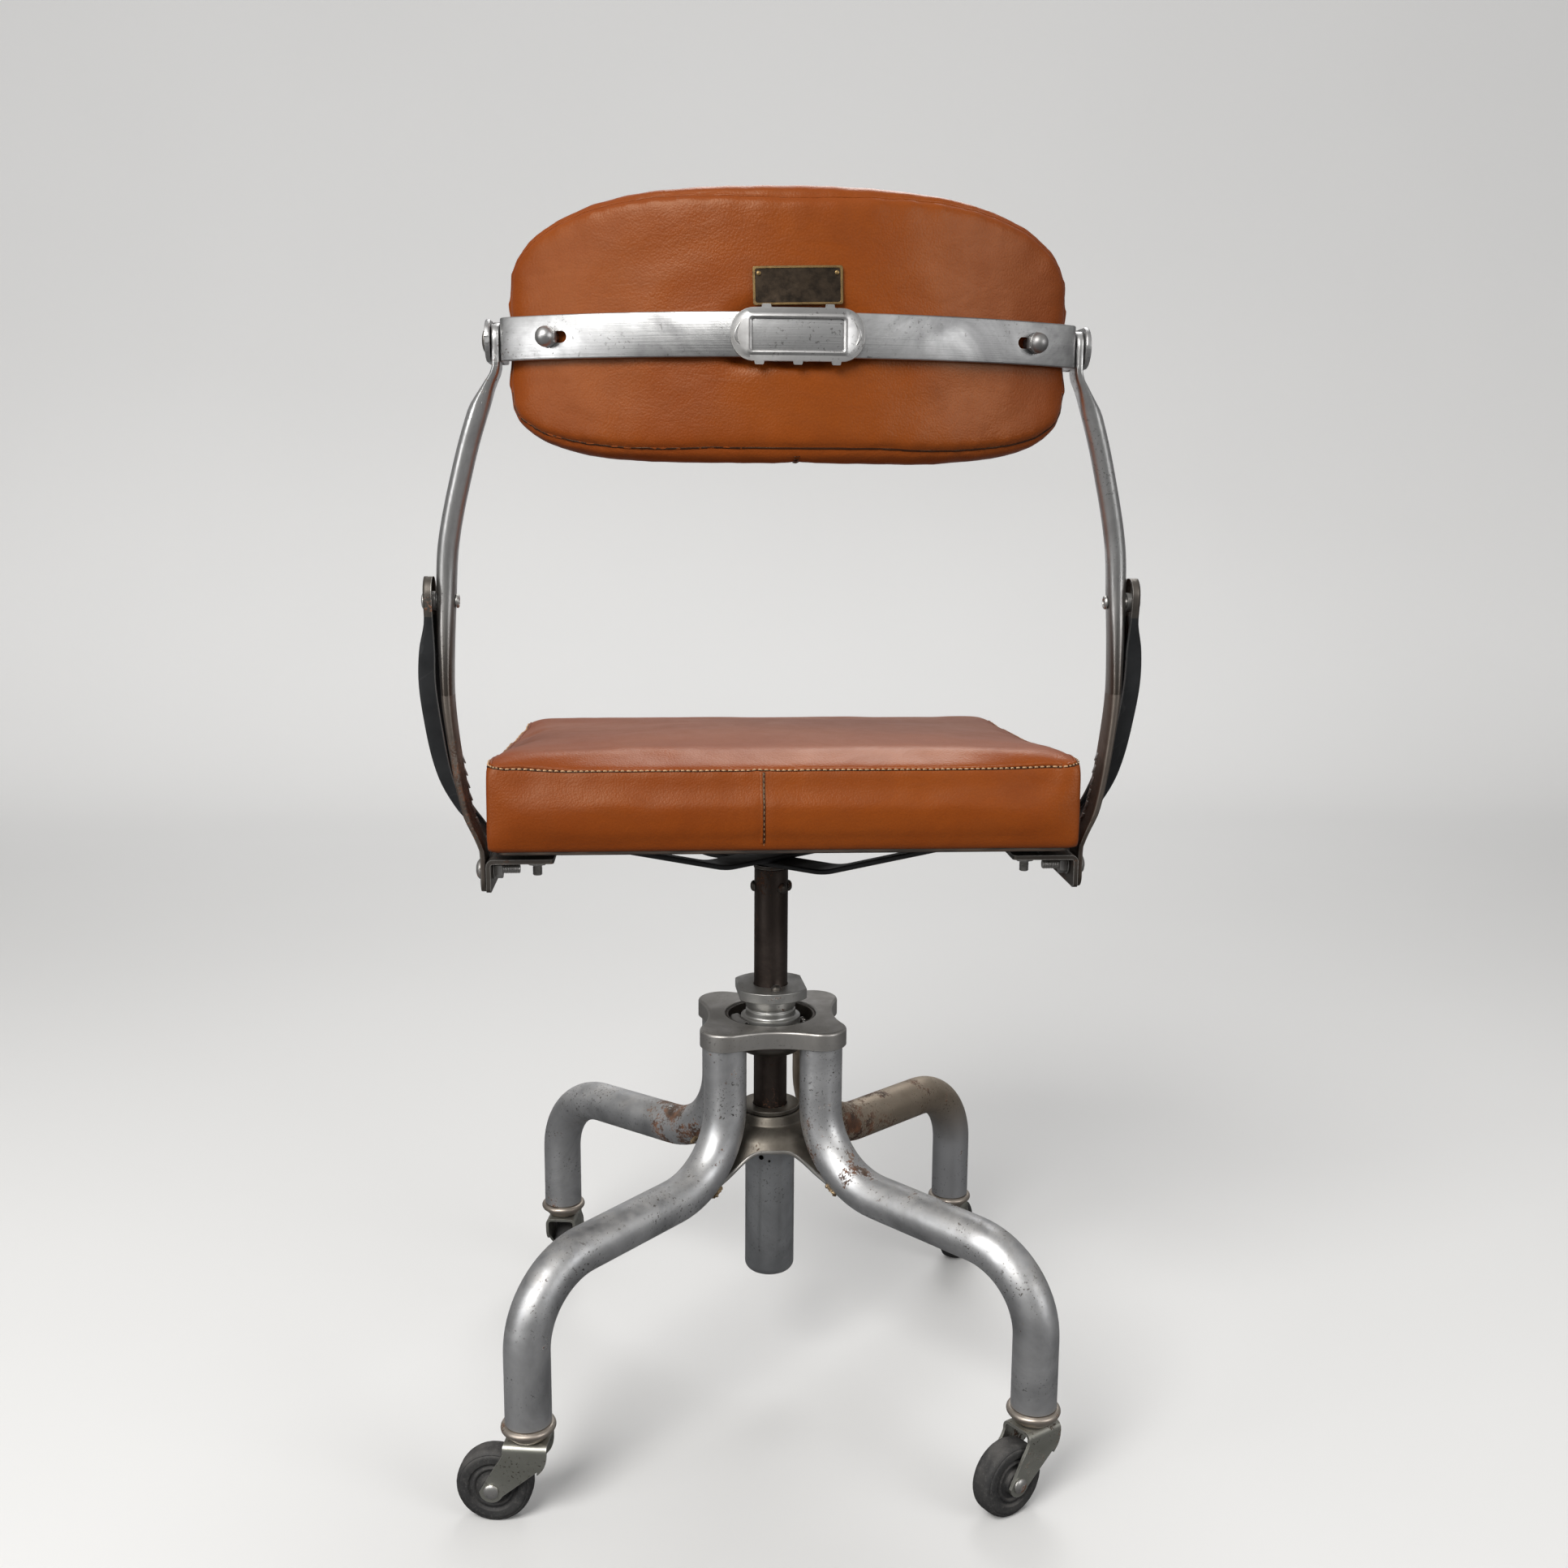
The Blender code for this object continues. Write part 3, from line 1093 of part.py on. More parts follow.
def strap_line():
    """Half of the strap in plan: the bow, then the hook round the ear."""
    centre, radius = strap_circle()
    reach = asin(STRAP_END_X / radius)
    bow = [Vector((radius * sin(reach * k / 8), centre - radius * cos(reach * k / 8), 0)) for k in range(9)]
    inner_x = EAR_X - EAR_THICK / 2 - SEAM_GAP - STRAP_THICK / 2
    outer_x = EAR_X + EAR_THICK / 2 + SEAM_GAP + STRAP_THICK / 2
    hook = bent_line([tuple(bow[-1]), (inner_x, STRAP_END_Y + 0.0045, 0), (inner_x, HOOK_FRONT_Y, 0),
                      (outer_x, HOOK_FRONT_Y, 0), (outer_x, EAR_Y - STRAP_HEIGHT / 2, 0)],
                     [0.006, 0.0027, 0.0027], [2, 3, 3])
    return bow + hook[1:]


def make_strap():
    """Spring-steel strap bowed behind the pad and hooked round both ears."""
    half = strap_line()
    tip = half[-1]
    round_end = STRAP_HEIGHT / 2
    tab = [tip + (half[-2] - tip).normalized() * round_end * (1 - sin(pi / 2 * k / 5)) for k in range(1, 6)]
    half = half[:-1] + [half[-2].lerp(half[-1], 0.02)] + tab
    line = [Vector((-p.x, p.y, 0)) for p in half[:0:-1]] + half
    rings = []
    for i, point in enumerate(line):
        ahead = (line[min(i + 1, len(line) - 1)] - line[max(i - 1, 0)]).normalized()
        out = Vector((ahead.y, -ahead.x, 0)) * STRAP_THICK / 2
        past = max(0.0, (EAR_Y - point.y)) if abs(point.x) > EAR_X else 0.0
        tall = sqrt(max(round_end ** 2 - min(past, round_end) ** 2, 0.0))
        tall = max(tall, 0.0016)
        up = Vector((0, 0, tall))
        middle = Vector((point.x, point.y, EAR_Z))
        rings.append([middle - out - up, middle + out - up, middle + out + up, middle - out + up])
    body = place_mesh("back_strap", lofted(rings), bright_steel)
    tools = []
    for name, side in SIDES.items():
        tools.append(drill(name + "_strap_ear", (side * 0.165, EAR_Y, EAR_Z), (side * 0.195, EAR_Y, EAR_Z),
                           ear_pin_radius()))
        tools.append(cutter(name + "_strap_slot", strap_slot(side)))
    return apply_boolean(body, tools, "DIFFERENCE")


def strap_slot(side):
    """Slot along the strap that lets the stud of the pad be set in or out."""
    radius = strap_circle()[1]
    middle = side * (asin(DOME_X / radius) * radius - SLOT_SHIFT)
    outline = []
    for end, start in ((1, -90), (-1, 90)):
        for k in range(7):
            angle = radians(start + 30 * k)
            outline.append((middle + end * SLOT_HALF_RUN + SLOT_RADIUS * cos(angle),
                            EAR_Z + SLOT_RADIUS * sin(angle)))
    return lofted([[on_bow(u, v, out) for u, v in outline] for out in (-0.006, 0.006)])


def strap_spot(x, out):
    """A point at a given sideways distance, moved out from the strap's middle line."""
    centre, radius = strap_circle()
    angle = asin(x / radius)
    away = Vector((sin(angle), -cos(angle), 0))
    return Vector((0, centre, EAR_Z)) + away * (radius + out)


def make_dome_bolt(side_name):
    """Stud from the pad through the strap, closed with a domed hexagon nut."""
    side = SIDES[side_name]
    face = STRAP_THICK / 2 + SEAM_GAP
    inner = -(STRAP_THICK / 2 + SEAM_GAP + 0.0075)
    start = strap_spot(side * DOME_X, inner)
    end = strap_spot(side * DOME_X, inner + 0.01)
    nut = face - inner
    profile = [(0, 0), (BOLT_RADIUS, 0), (BOLT_RADIUS, nut), (0.0063, nut), (0.0063, nut + 0.0040)]
    profile += [(0.0058 * cos(radians(a)), nut + 0.0044 + 0.0058 * sin(radians(a))) for a in (0, 22, 44, 66)]
    profile.append((0, nut + 0.0044 + 0.0058))
    return place_mesh(side_name + "_dome_bolt", rod(start, end, profile, 14), bright_steel)


def make_ear_pin(side_name):
    """Pivot pin through the hook of the strap and the ear of the upright."""
    side = SIDES[side_name]
    inner = EAR_X - EAR_THICK / 2 - SEAM_GAP - STRAP_THICK - SEAM_GAP
    outer = EAR_X + EAR_THICK / 2 + SEAM_GAP + STRAP_THICK + SEAM_GAP
    radius = ear_pin_radius()
    span = outer - inner
    profile = [(0, 0), (0.0046, 0), (0.0056, 0.0008), (0.0056, 0.0014), (radius, 0.0014),
               (radius, span + 0.0014),
               (0.0068, span + 0.0014), (0.0060, span + 0.0026), (0.0030, span + 0.0034), (0, span + 0.0036)]
    start = Vector((side * (inner - 0.0014), EAR_Y, EAR_Z))
    made = rod(start, start + Vector((side * 0.01, 0, 0)), profile)
    return place_mesh(side_name + "_ear_pin", made, rusty_steel)


def pad_edge(angle):
    """Outline of the pad seen from behind, as two half superellipses."""
    c, s = cos(angle), sin(angle)
    power = PAD_TOP_POWER if s > 0 else PAD_BOTTOM_POWER
    tall = (PAD_TOP_Z - PAD_WIDE_Z) if s > 0 else (PAD_WIDE_Z - PAD_BOTTOM_Z)
    size = (abs(c / PAD_HALF_WIDTH) ** power + abs(s / tall) ** power) ** (-1.0 / power)
    return c * size, s * size


def rear_share(angle):
    """How far the rear panel of the pad reaches before its sunk seam, as a share of the outline."""
    x, z = pad_edge(angle)
    extent = hypot(x, z)
    drop = PAD_SEAM_LOW if z < 0 else PAD_SEAM_HIGH
    return 1.0 - (PAD_SEAM_SIDE + drop * (z / extent) ** 2) / extent


def make_pad():
    """Bowed back cushion: flat-sewn rear panel, boxed edge, crowned front."""
    centre, radius = strap_circle()
    rear = radius - STRAP_THICK / 2 - 0.0012
    spokes = 40
    turns = [2 * pi * (k + 0.5) / spokes for k in range(spokes)]
    half_tall = (PAD_TOP_Z - PAD_BOTTOM_Z) / 2
    spread = [atan2(half_tall * sin(turn), PAD_HALF_WIDTH * cos(turn)) for turn in turns]
    panel = [(0.26, 0.0), (0.68, 0.0), (0.95, -0.0004), (1.0, -0.0024)]
    boxing = [(0.980, -0.0065), (1.0, -0.0130), (1.0, -0.024), (0.985, -0.031), (0.945, -0.0355),
              (0.80, -0.0375), (0.50, -PAD_THICK), (0.22, -PAD_THICK)]
    rings = []
    for number, (level, depth) in enumerate(panel + boxing):
        ring = []
        for angle in spread:
            x, z = pad_edge(angle)
            share = level * rear_share(angle) if number < len(panel) else level
            x *= share
            swing = asin(x / (radius - 0.002))
            away = Vector((sin(swing), -cos(swing), 0))
            tuck = max(0.0, abs(x) / PAD_HALF_WIDTH - 0.90) * 0.05
            ring.append(Vector((0, centre, PAD_WIDE_Z + z * share)) + away * (rear + depth - tuck))
        rings.append(ring)
    body = place_mesh("back_pad", lofted(rings), leather)
    tools = []
    for name, side in SIDES.items():
        tools.append(drill(name + "_pad_stud", strap_spot(side * DOME_X, -0.013),
                           strap_spot(side * DOME_X, 0.004),
                           BOLT_RADIUS + SEAM_GAP))
    return apply_boolean(body, tools, "DIFFERENCE")


def on_bow(u, v, out):
    """A point u along the strap's bow, at height v, moved out from its middle line."""
    centre, radius = strap_circle()
    away = Vector((sin(u / radius), -cos(u / radius), 0))
    return Vector((0, centre, v)) + away * (radius + out)


def rounded_bar(half_width, half_height, corner, centre_z, count, spans):
    """Rounded rectangle with extra points along its long sides, so that it can follow the bow."""
    points = []
    for x, z, start in ((1, -1, -90), (1, 1, 0), (-1, 1, 90), (-1, -1, 180)):
        for k in range(count + 1):
            angle = radians(start + 90 * k / count)
            points.append((x * (half_width - corner) + corner * cos(angle),
                           centre_z + z * (half_height - corner) + corner * sin(angle)))
        if start in (0, 180):
            for k in range(1, spans):
                points.append((x * (half_width - corner) * (1 - 2 * k / spans), centre_z + z * half_height))
    return points


def make_label_holder():
    """Stamped card frame with round ends and an open window."""
    low = STRAP_THICK / 2 + SEAM_GAP
    high = low + 0.0012
    outline = rounded_bar(HOLDER_HALF_WIDTH, HOLDER_HALF_HEIGHT, HOLDER_HALF_HEIGHT - 0.0015, EAR_Z, 5, 5)
    window = rounded_bar(0.0262, 0.0088, 0.0012, EAR_Z, 5, 5)
    stack = [[on_bow(u, v, low) for u, v in outline], [on_bow(u, v, high) for u, v in outline],
             [on_bow(u, v, high) for u, v in window], [on_bow(u, v, low) for u, v in window]]
    stack.append(stack[0])
    return place_mesh("label_holder", lofted(stack, capped=False), bright_steel)


def make_name_plate():
    """Blank plate above the strap, lying on the leather."""
    low = -STRAP_THICK / 2 - 0.0006
    high = low + 0.0011
    rings = []
    for k in range(9):
        u = PLATE_HALF_WIDTH * (k / 4 - 1)
        tall = PLATE_HALF_HEIGHT - (0.0008 if k in (0, 8) else 0.0)
        rings.append([on_bow(u, PLATE_Z - tall, low), on_bow(u, PLATE_Z - tall, high),
                      on_bow(u, PLATE_Z + tall, high), on_bow(u, PLATE_Z + tall, low)])
    return place_mesh("name_plate", lofted(rings), brass)


def build_chair():
    clear_scene()
    for corner in CORNERS:
        make_leg(corner)
        make_ferrule(corner)
        make_fork(corner)
        make_wheel(corner)
        make_axle(corner)
    make_cap()
    make_bearing_cup()
    make_web()
    make_lower_washer()
    make_barrel()
    make_collar_nut()
    make_clamp_plate()
    make_clamp_screw()
    make_spring_clip()
    make_spindle()
    make_seat_hub()
    make_cross_pin()
    make_hub_rivet()
    heading = atan2(SEAT_BOLT_Y, SEAT_BOLT_X)
    make_iron("lower_iron", IRON_LOW_Z, heading)
    make_iron("upper_iron", IRON_LOW_Z + IRON_THICK + SEAM_GAP, -heading)
    make_seat_board()
    make_cushion()
    for side_name in SIDES:
        make_bracket(side_name)
        make_seat_bolt(side_name)
        make_side_bolt(side_name, "_pivot_bolt", PIVOT_BOLT_Y, strap_outer_x() + ARM_SKIN + 0.0004)
        make_side_bolt(side_name, "_clamp_bolt", CLAMP_BOLT_Y, strap_outer_x() + FOOT_THICK)
        make_upright(side_name)
        make_arm(side_name)
        make_elbow_pin(side_name)
        make_dome_bolt(side_name)
        make_ear_pin(side_name)
    make_strap()
    make_pad()
    make_label_holder()
    make_name_plate()


build_chair()
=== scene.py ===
"""Looks of the swivel task chair: leather, worn steel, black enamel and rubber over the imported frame."""

from math import asin, atan2, cos, hypot, pi, radians, sin, sqrt

import bmesh
import bpy
from mathutils import Matrix, Vector, noise
from mathutils.bvhtree import BVHTree
from mathutils.kdtree import KDTree


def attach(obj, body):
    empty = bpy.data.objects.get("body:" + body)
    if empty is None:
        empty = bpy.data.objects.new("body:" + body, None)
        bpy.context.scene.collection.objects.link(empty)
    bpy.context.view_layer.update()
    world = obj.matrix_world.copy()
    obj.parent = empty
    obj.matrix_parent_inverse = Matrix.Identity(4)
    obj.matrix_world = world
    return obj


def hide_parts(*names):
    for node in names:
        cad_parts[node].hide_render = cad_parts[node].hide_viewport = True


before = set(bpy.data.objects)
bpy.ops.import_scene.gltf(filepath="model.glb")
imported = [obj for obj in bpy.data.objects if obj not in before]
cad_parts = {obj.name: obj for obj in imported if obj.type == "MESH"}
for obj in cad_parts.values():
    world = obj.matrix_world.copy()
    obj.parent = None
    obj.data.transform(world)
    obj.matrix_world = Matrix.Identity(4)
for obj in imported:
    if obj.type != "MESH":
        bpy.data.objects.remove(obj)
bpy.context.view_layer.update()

# Sizes shared with the solids, in metres
SEAM_GAP = 0.0003
LEG_RADIUS = 0.0159
LEG_TOP_REACH = 0.0505
LEG_FOOT_REACH = 0.2443
LEG_TOP_Z = 0.2972
LEG_KNEE_Z = 0.1840
LEG_ANKLE_Z = 0.1745
LEG_FOOT_Z = 0.0715
KNEE_BEND = 0.058
ANKLE_BEND = 0.055
SOCKET_BORE = 0.0134
CAP_TOP_Z = 0.3000
CAP_SKIRT_Z = 0.2865
CAP_SKIN = 0.0020
CAP_WAIST = 0.0475
CAP_HOLE = 0.0345
CAP_ROUND = 0.0022
CAP_CLEARANCE = 0.0009
CUP_RADIUS = 0.0342
CUP_WALL = 0.0020
CUP_RIM_Z = 0.2990
CUP_FLOOR_Z = 0.2885
CUP_HUB_RADIUS = 0.0255
CUP_HUB_Z = 0.2712
JOURNAL_RADIUS = 0.0159
NUT_RADIUS = 0.0189
NUT_FLANGE_RADIUS = 0.0226
NUT_FLANGE_TOP_Z = 0.2985
NUT_TOP_Z = 0.3148
CLAMP_RADIUS = 0.0305
CLAMP_FLAT = 0.0253
CLAMP_HEIGHT = 0.0078
CLAMP_TURN = radians(94.0)
CLAMP_SCREW_REACH = 0.0205
CLAMP_SCREW_HEADING = radians(8.0)
SPINDLE_RADIUS = 0.0127
SPINDLE_TOP_Z = 0.4132
SPINDLE_BOTTOM_Z = 0.1555
PIN_Z = 0.3990
BARREL_RADIUS = 0.0190
BARREL_BOTTOM_Z = 0.0917
WEB_TOP_Z = 0.2240
WEB_SKIN = 0.0024
WEB_ARCH_DEPTH = 0.12
WEB_ARCH_POWER = 3.6
WHEEL_RADIUS = 0.0262
WHEEL_WIDTH = 0.0180
CASTER_TRAIL = 0.0235
FORK_TOP_Z = 0.0600
FORK_SKIN = 0.0022
FORK_HALF_WIDTH = 0.0130
FORK_HALF_REACH = 0.0145
AXLE_Z = WHEEL_RADIUS * cos(pi / 24)
AXLE_RADIUS = 0.0035
HEADINGS = {"rear_left": 172.0, "rear_right": 212.0, "front_left": 82.0, "front_right": 62.0}
CORNERS = {"rear_left": 225.0, "rear_right": 315.0, "front_left": 135.0, "front_right": 45.0}
IRON_WIDTH = 0.026
IRON_THICK = 0.0038
IRON_LOW_Z = 0.4166
BOARD_BOTTOM_Z = 0.4600
BOARD_THICK = 0.0085
SEAT_BOLT_X = 0.1625
SEAT_BOLT_Y = -0.1320
SEAT_HALF_WIDTH = 0.1925
SEAT_REAR_Y = -0.1700
SEAT_FRONT_Y = 0.1920
SEAT_REAR_CORNER = 0.0140
SEAT_FRONT_CORNER = 0.0560
SEAT_REAR_TOP_Z = 0.5165
SEAT_CROWN = 0.0055
SEAT_FRONT_DROP = 0.0240
SEAT_FULLNESS = 0.0060
SEAT_CORNER_FULLNESS = 0.0042
SEAT_SIDE_FULLNESS = 0.0042
SEAT_JOIN_X = -0.0150
BRACKET_THICK = 0.0030
BRACKET_OUTER_X = 0.1935
BRACKET_INNER_X = 0.1500
BRACKET_REAR_Y = -0.1560
BRACKET_FRONT_Y = -0.0930
BRACKET_FLANGE_Z = 0.4335
BRACKET_TOP_Z = BOARD_BOTTOM_Z - SEAM_GAP - IRON_THICK - SEAM_GAP
PIVOT_BOLT_Y = -0.1080
CLAMP_BOLT_Y = -0.1395
SIDE_BOLT_Z = 0.4462
BOLT_RADIUS = 0.0032
FOOT_X = BRACKET_OUTER_X + SEAM_GAP
FOOT_THICK = 0.0042
FOOT_HALF_WIDTH = 0.0120
FOOT_MIDDLE_X = FOOT_X + FOOT_THICK / 2
NOTCH_COUNT = 6
NOTCH_LOW_Z = 0.4765
NOTCH_PITCH = 0.0082
DARK_FOOT_TOP_Z = 0.560
BARE_ARM_TOP_Z = 0.6125
EAR_X = 0.1775
EAR_Y = -0.1650
EAR_Z = 0.7780
EAR_HALF_WIDTH = 0.0100
EAR_THICK = 0.0054
TUBE_RADIUS = 0.0067
ELBOW_Z = 0.6205
ELBOW_Y = -0.1400
ELBOW_X = FOOT_MIDDLE_X + 0.0195
ELBOW_TUBE_HALF = 0.0062
ARM_SKIN = 0.0026
ARM_HALF_WIDTH = 0.0125
ARM_STANDOFF = 0.0016
ARM_TOP_DEPTH = 0.0056
STRAP_HEIGHT = 0.0254
STRAP_THICK = 0.0030
STRAP_REAR_Y = -0.2285
STRAP_END_X = 0.1670
STRAP_END_Y = -0.1790
HOOK_FRONT_Y = -0.1480
DOME_X = 0.1431
SLOT_SHIFT = 0.0035
SLOT_HALF_RUN = 0.0045
SLOT_RADIUS = 0.0034
PAD_HALF_WIDTH = 0.1770
PAD_WIDE_Z = 0.7780
PAD_TOP_Z = 0.8620
PAD_BOTTOM_Z = 0.7060
PAD_HALF_HEIGHT = 0.0780
PAD_SEAM_SIDE = 0.0045
PAD_SEAM_LOW = 0.0088
PAD_SEAM_HIGH = 0.0032
PAD_TOP_POWER = 3.3
PAD_BOTTOM_POWER = 4.2
HOLDER_HALF_WIDTH = 0.0385
HOLDER_HALF_HEIGHT = 0.0150
PLATE_HALF_WIDTH = 0.0260
PLATE_HALF_HEIGHT = 0.0108
PLATE_Z = 0.8055
SIDES = {"left": -1.0, "right": 1.0}

# Sewing on the leather
SEAT_STITCH = 0.0038
PUCKER_DEPTH = 0.00026
PUCKER_REACH = 0.013
PUCKER_PITCH = 0.021


# Shader building blocks

def place_node(tree, kind, **settings):
    made = tree.nodes.new(kind)
    for key, value in settings.items():
        setattr(made, key, value)
    return made


def feed(tree, socket, value):
    """Link a socket, or set its number, vector or colour."""
    if isinstance(value, bpy.types.NodeSocket):
        tree.links.new(value, socket)
    elif isinstance(value, (tuple, list)) and socket.type == "RGBA":
        socket.default_value = (*value[:3], 1.0)
    else:
        socket.default_value = value


def math_of(tree, kind, a, b, clamp=False):
    made = place_node(tree, "ShaderNodeMath", operation=kind, use_clamp=clamp)
    feed(tree, made.inputs[0], a)
    feed(tree, made.inputs[1], b)
    return made.outputs[0]


def plus(tree, a, b):
    return math_of(tree, "ADD", a, b)


def times(tree, a, b, clamp=False):
    return math_of(tree, "MULTIPLY", a, b, clamp)


def span_of(tree, value, low, high, out_low=0.0, out_high=1.0, smooth=True):
    made = place_node(tree, "ShaderNodeMapRange", interpolation_type="SMOOTHSTEP" if smooth else "LINEAR")
    for key, given in (("Value", value), ("From Min", low), ("From Max", high),
                       ("To Min", out_low), ("To Max", out_high)):
        feed(tree, made.inputs[key], given)
    return made.outputs[0]


def mottle(tree, coords, scale, detail=4.0, rough=0.55, twist=0.0):
    made = place_node(tree, "ShaderNodeTexNoise")
    for key, given in (("Vector", coords), ("Scale", scale), ("Detail", detail),
                       ("Roughness", rough), ("Distortion", twist)):
        feed(tree, made.inputs[key], given)
    return made.outputs["Fac"]


def stretched(tree, coords, stretch):
    made = place_node(tree, "ShaderNodeVectorMath", operation="MULTIPLY")
    feed(tree, made.inputs[0], coords)
    feed(tree, made.inputs[1], stretch)
    return made.outputs[0]


def blend_colour(tree, share, under, over, kind="MIX"):
    made = place_node(tree, "ShaderNodeMix", data_type="RGBA", blend_type=kind)
    feed(tree, made.inputs[0], share)
    feed(tree, made.inputs[6], under)
    feed(tree, made.inputs[7], over)
    return made.outputs[2]


def blend_value(tree, share, under, over):
    made = place_node(tree, "ShaderNodeMix", data_type="FLOAT")
    feed(tree, made.inputs[0], share)
    feed(tree, made.inputs[2], under)
    feed(tree, made.inputs[3], over)
    return made.outputs[0]


def own_coords(tree):
    return place_node(tree, "ShaderNodeTexCoord").outputs["Object"]


def face_normal(tree):
    return place_node(tree, "ShaderNodeNewGeometry").outputs["Normal"]


def along_axis(tree, vector, axis):
    """One of the three numbers of a vector."""
    made = place_node(tree, "ShaderNodeSeparateXYZ")
    feed(tree, made.inputs[0], vector)
    return made.outputs[axis]


SOCKET_KINDS = {"v": "NodeSocketVector", "f": "NodeSocketFloat", "c": "NodeSocketColor"}


def effect_group(name, given, made):
    """An empty shader group and its named sockets, each told by a kind letter and a name, as in f Amount."""
    tree = bpy.data.node_groups.new(name, "ShaderNodeTree")
    for words, side in [(w, "INPUT") for w in given] + [(w, "OUTPUT") for w in made]:
        tree.interface.new_socket(name=words[2:], in_out=side, socket_type=SOCKET_KINDS[words[0]])
    return tree, place_node(tree, "NodeGroupInput").outputs, place_node(tree, "NodeGroupOutput").inputs


def use_effect(tree, group, **given):
    made = place_node(tree, "ShaderNodeGroup", node_tree=group)
    for key, value in given.items():
        feed(tree, made.inputs[key.replace("_", " ")], value)
    return made.outputs


def make_rust_effect():
    """Pitted rust: loose patches made of fine grains."""
    tree, given, out = effect_group("rust", ["v Vector", "f Amount", "f Patch", "f Grain"],
                                    ["f Mask", "c Colour", "f Height"])
    patch = mottle(tree, given["Vector"], given["Patch"], 3.0, 0.6, 0.4)
    grain = mottle(tree, given["Vector"], given["Grain"], 5.0, 0.72)
    both = plus(tree, times(tree, patch, 1.5), grain)
    edge = span_of(tree, given["Amount"], 0.0, 1.0, 1.62, 0.98, False)
    mask = span_of(tree, both, edge, plus(tree, edge, 0.10))
    tone = mottle(tree, given["Vector"], 95.0, 4.0, 0.6)
    colour = blend_colour(tree, span_of(tree, tone, 0.35, 0.68), (0.055, 0.030, 0.020), (0.215, 0.095, 0.048))
    feed(tree, out["Mask"], mask)
    feed(tree, out["Colour"], colour)
    feed(tree, out["Height"], times(tree, mask, grain))
    return tree


def make_brush_effect():
    """Fine parallel lines with broad cloudy patches."""
    tree, given, out = effect_group("brushed", ["v Vector", "v Stretch", "f Cloud"], ["f Line", "f Cloud"])
    lines = mottle(tree, stretched(tree, given["Vector"], given["Stretch"]), 1.0, 3.0, 0.65)
    cloud = mottle(tree, given["Vector"], given["Cloud"], 5.0, 0.6, 0.8)
    feed(tree, out["Line"], span_of(tree, lines, 0.25, 0.75, smooth=False))
    feed(tree, out["Cloud"], span_of(tree, cloud, 0.28, 0.72))
    return tree


def make_edge_effect():
    """Wear where a face turns sharply, broken up by grain."""
    tree, given, out = effect_group("edge wear", ["v Vector", "f Width", "f Grain"], ["f Mask"])
    soft = place_node(tree, "ShaderNodeBevel", samples=4)
    feed(tree, soft.inputs["Radius"], given["Width"])
    flat = face_normal(tree)
    dot = place_node(tree, "ShaderNodeVectorMath", operation="DOT_PRODUCT")
    feed(tree, dot.inputs[0], soft.outputs[0])
    feed(tree, dot.inputs[1], flat)
    turn = math_of(tree, "SUBTRACT", 1.0, dot.outputs["Value"])
    grain = mottle(tree, given["Vector"], given["Grain"], 4.0, 0.7)
    worn = times(tree, turn, plus(tree, grain, 0.35))
    feed(tree, out["Mask"], span_of(tree, worn, 0.02, 0.11))
    return tree


def make_dust_effect():
    """Dust and grime that lie on faces looking up."""
    tree, given, out = effect_group("dust", ["v Vector", "f Amount"], ["f Mask"])
    up = span_of(tree, along_axis(tree, face_normal(tree), "Z"), -0.1, 0.95)
    cloud = mottle(tree, given["Vector"], 60.0, 6.0, 0.7)
    lying = times(tree, up, span_of(tree, cloud, 0.30, 0.70))
    feed(tree, out["Mask"], times(tree, lying, given["Amount"], True))
    return tree


def make_scratch_effect():
    """Sparse thin scratches in two directions."""
    tree, given, out = effect_group("scratches", ["v Vector", "f Scale", "f Amount"], ["f Mask"])
    found = None
    for turn, shift in ((0.5, 0.0), (-0.9, 3.7)):
        place = place_node(tree, "ShaderNodeMapping")
        place.inputs["Rotation"].default_value = (turn, turn * 0.7, turn * 1.3)
        place.inputs["Location"].default_value = (shift, shift, shift)
        feed(tree, place.inputs["Vector"], given["Vector"])
        drawn = stretched(tree, place.outputs[0], (0.05, 1.0, 0.6))
        line = mottle(tree, drawn, times(tree, given["Scale"], 4.0), 1.0, 0.4)
        thin = math_of(tree, "ABSOLUTE", math_of(tree, "SUBTRACT", line, 0.5), 0.0)
        mask = span_of(tree, thin, 0.0, 0.008, 1.0, 0.0)
        gate = span_of(tree, mottle(tree, place.outputs[0], given["Scale"], 2.0), 0.52, 0.62)
        mask = times(tree, mask, gate)
        found = mask if found is None else math_of(tree, "MAXIMUM", found, mask)
    feed(tree, out["Mask"], times(tree, found, given["Amount"], True))
    return tree


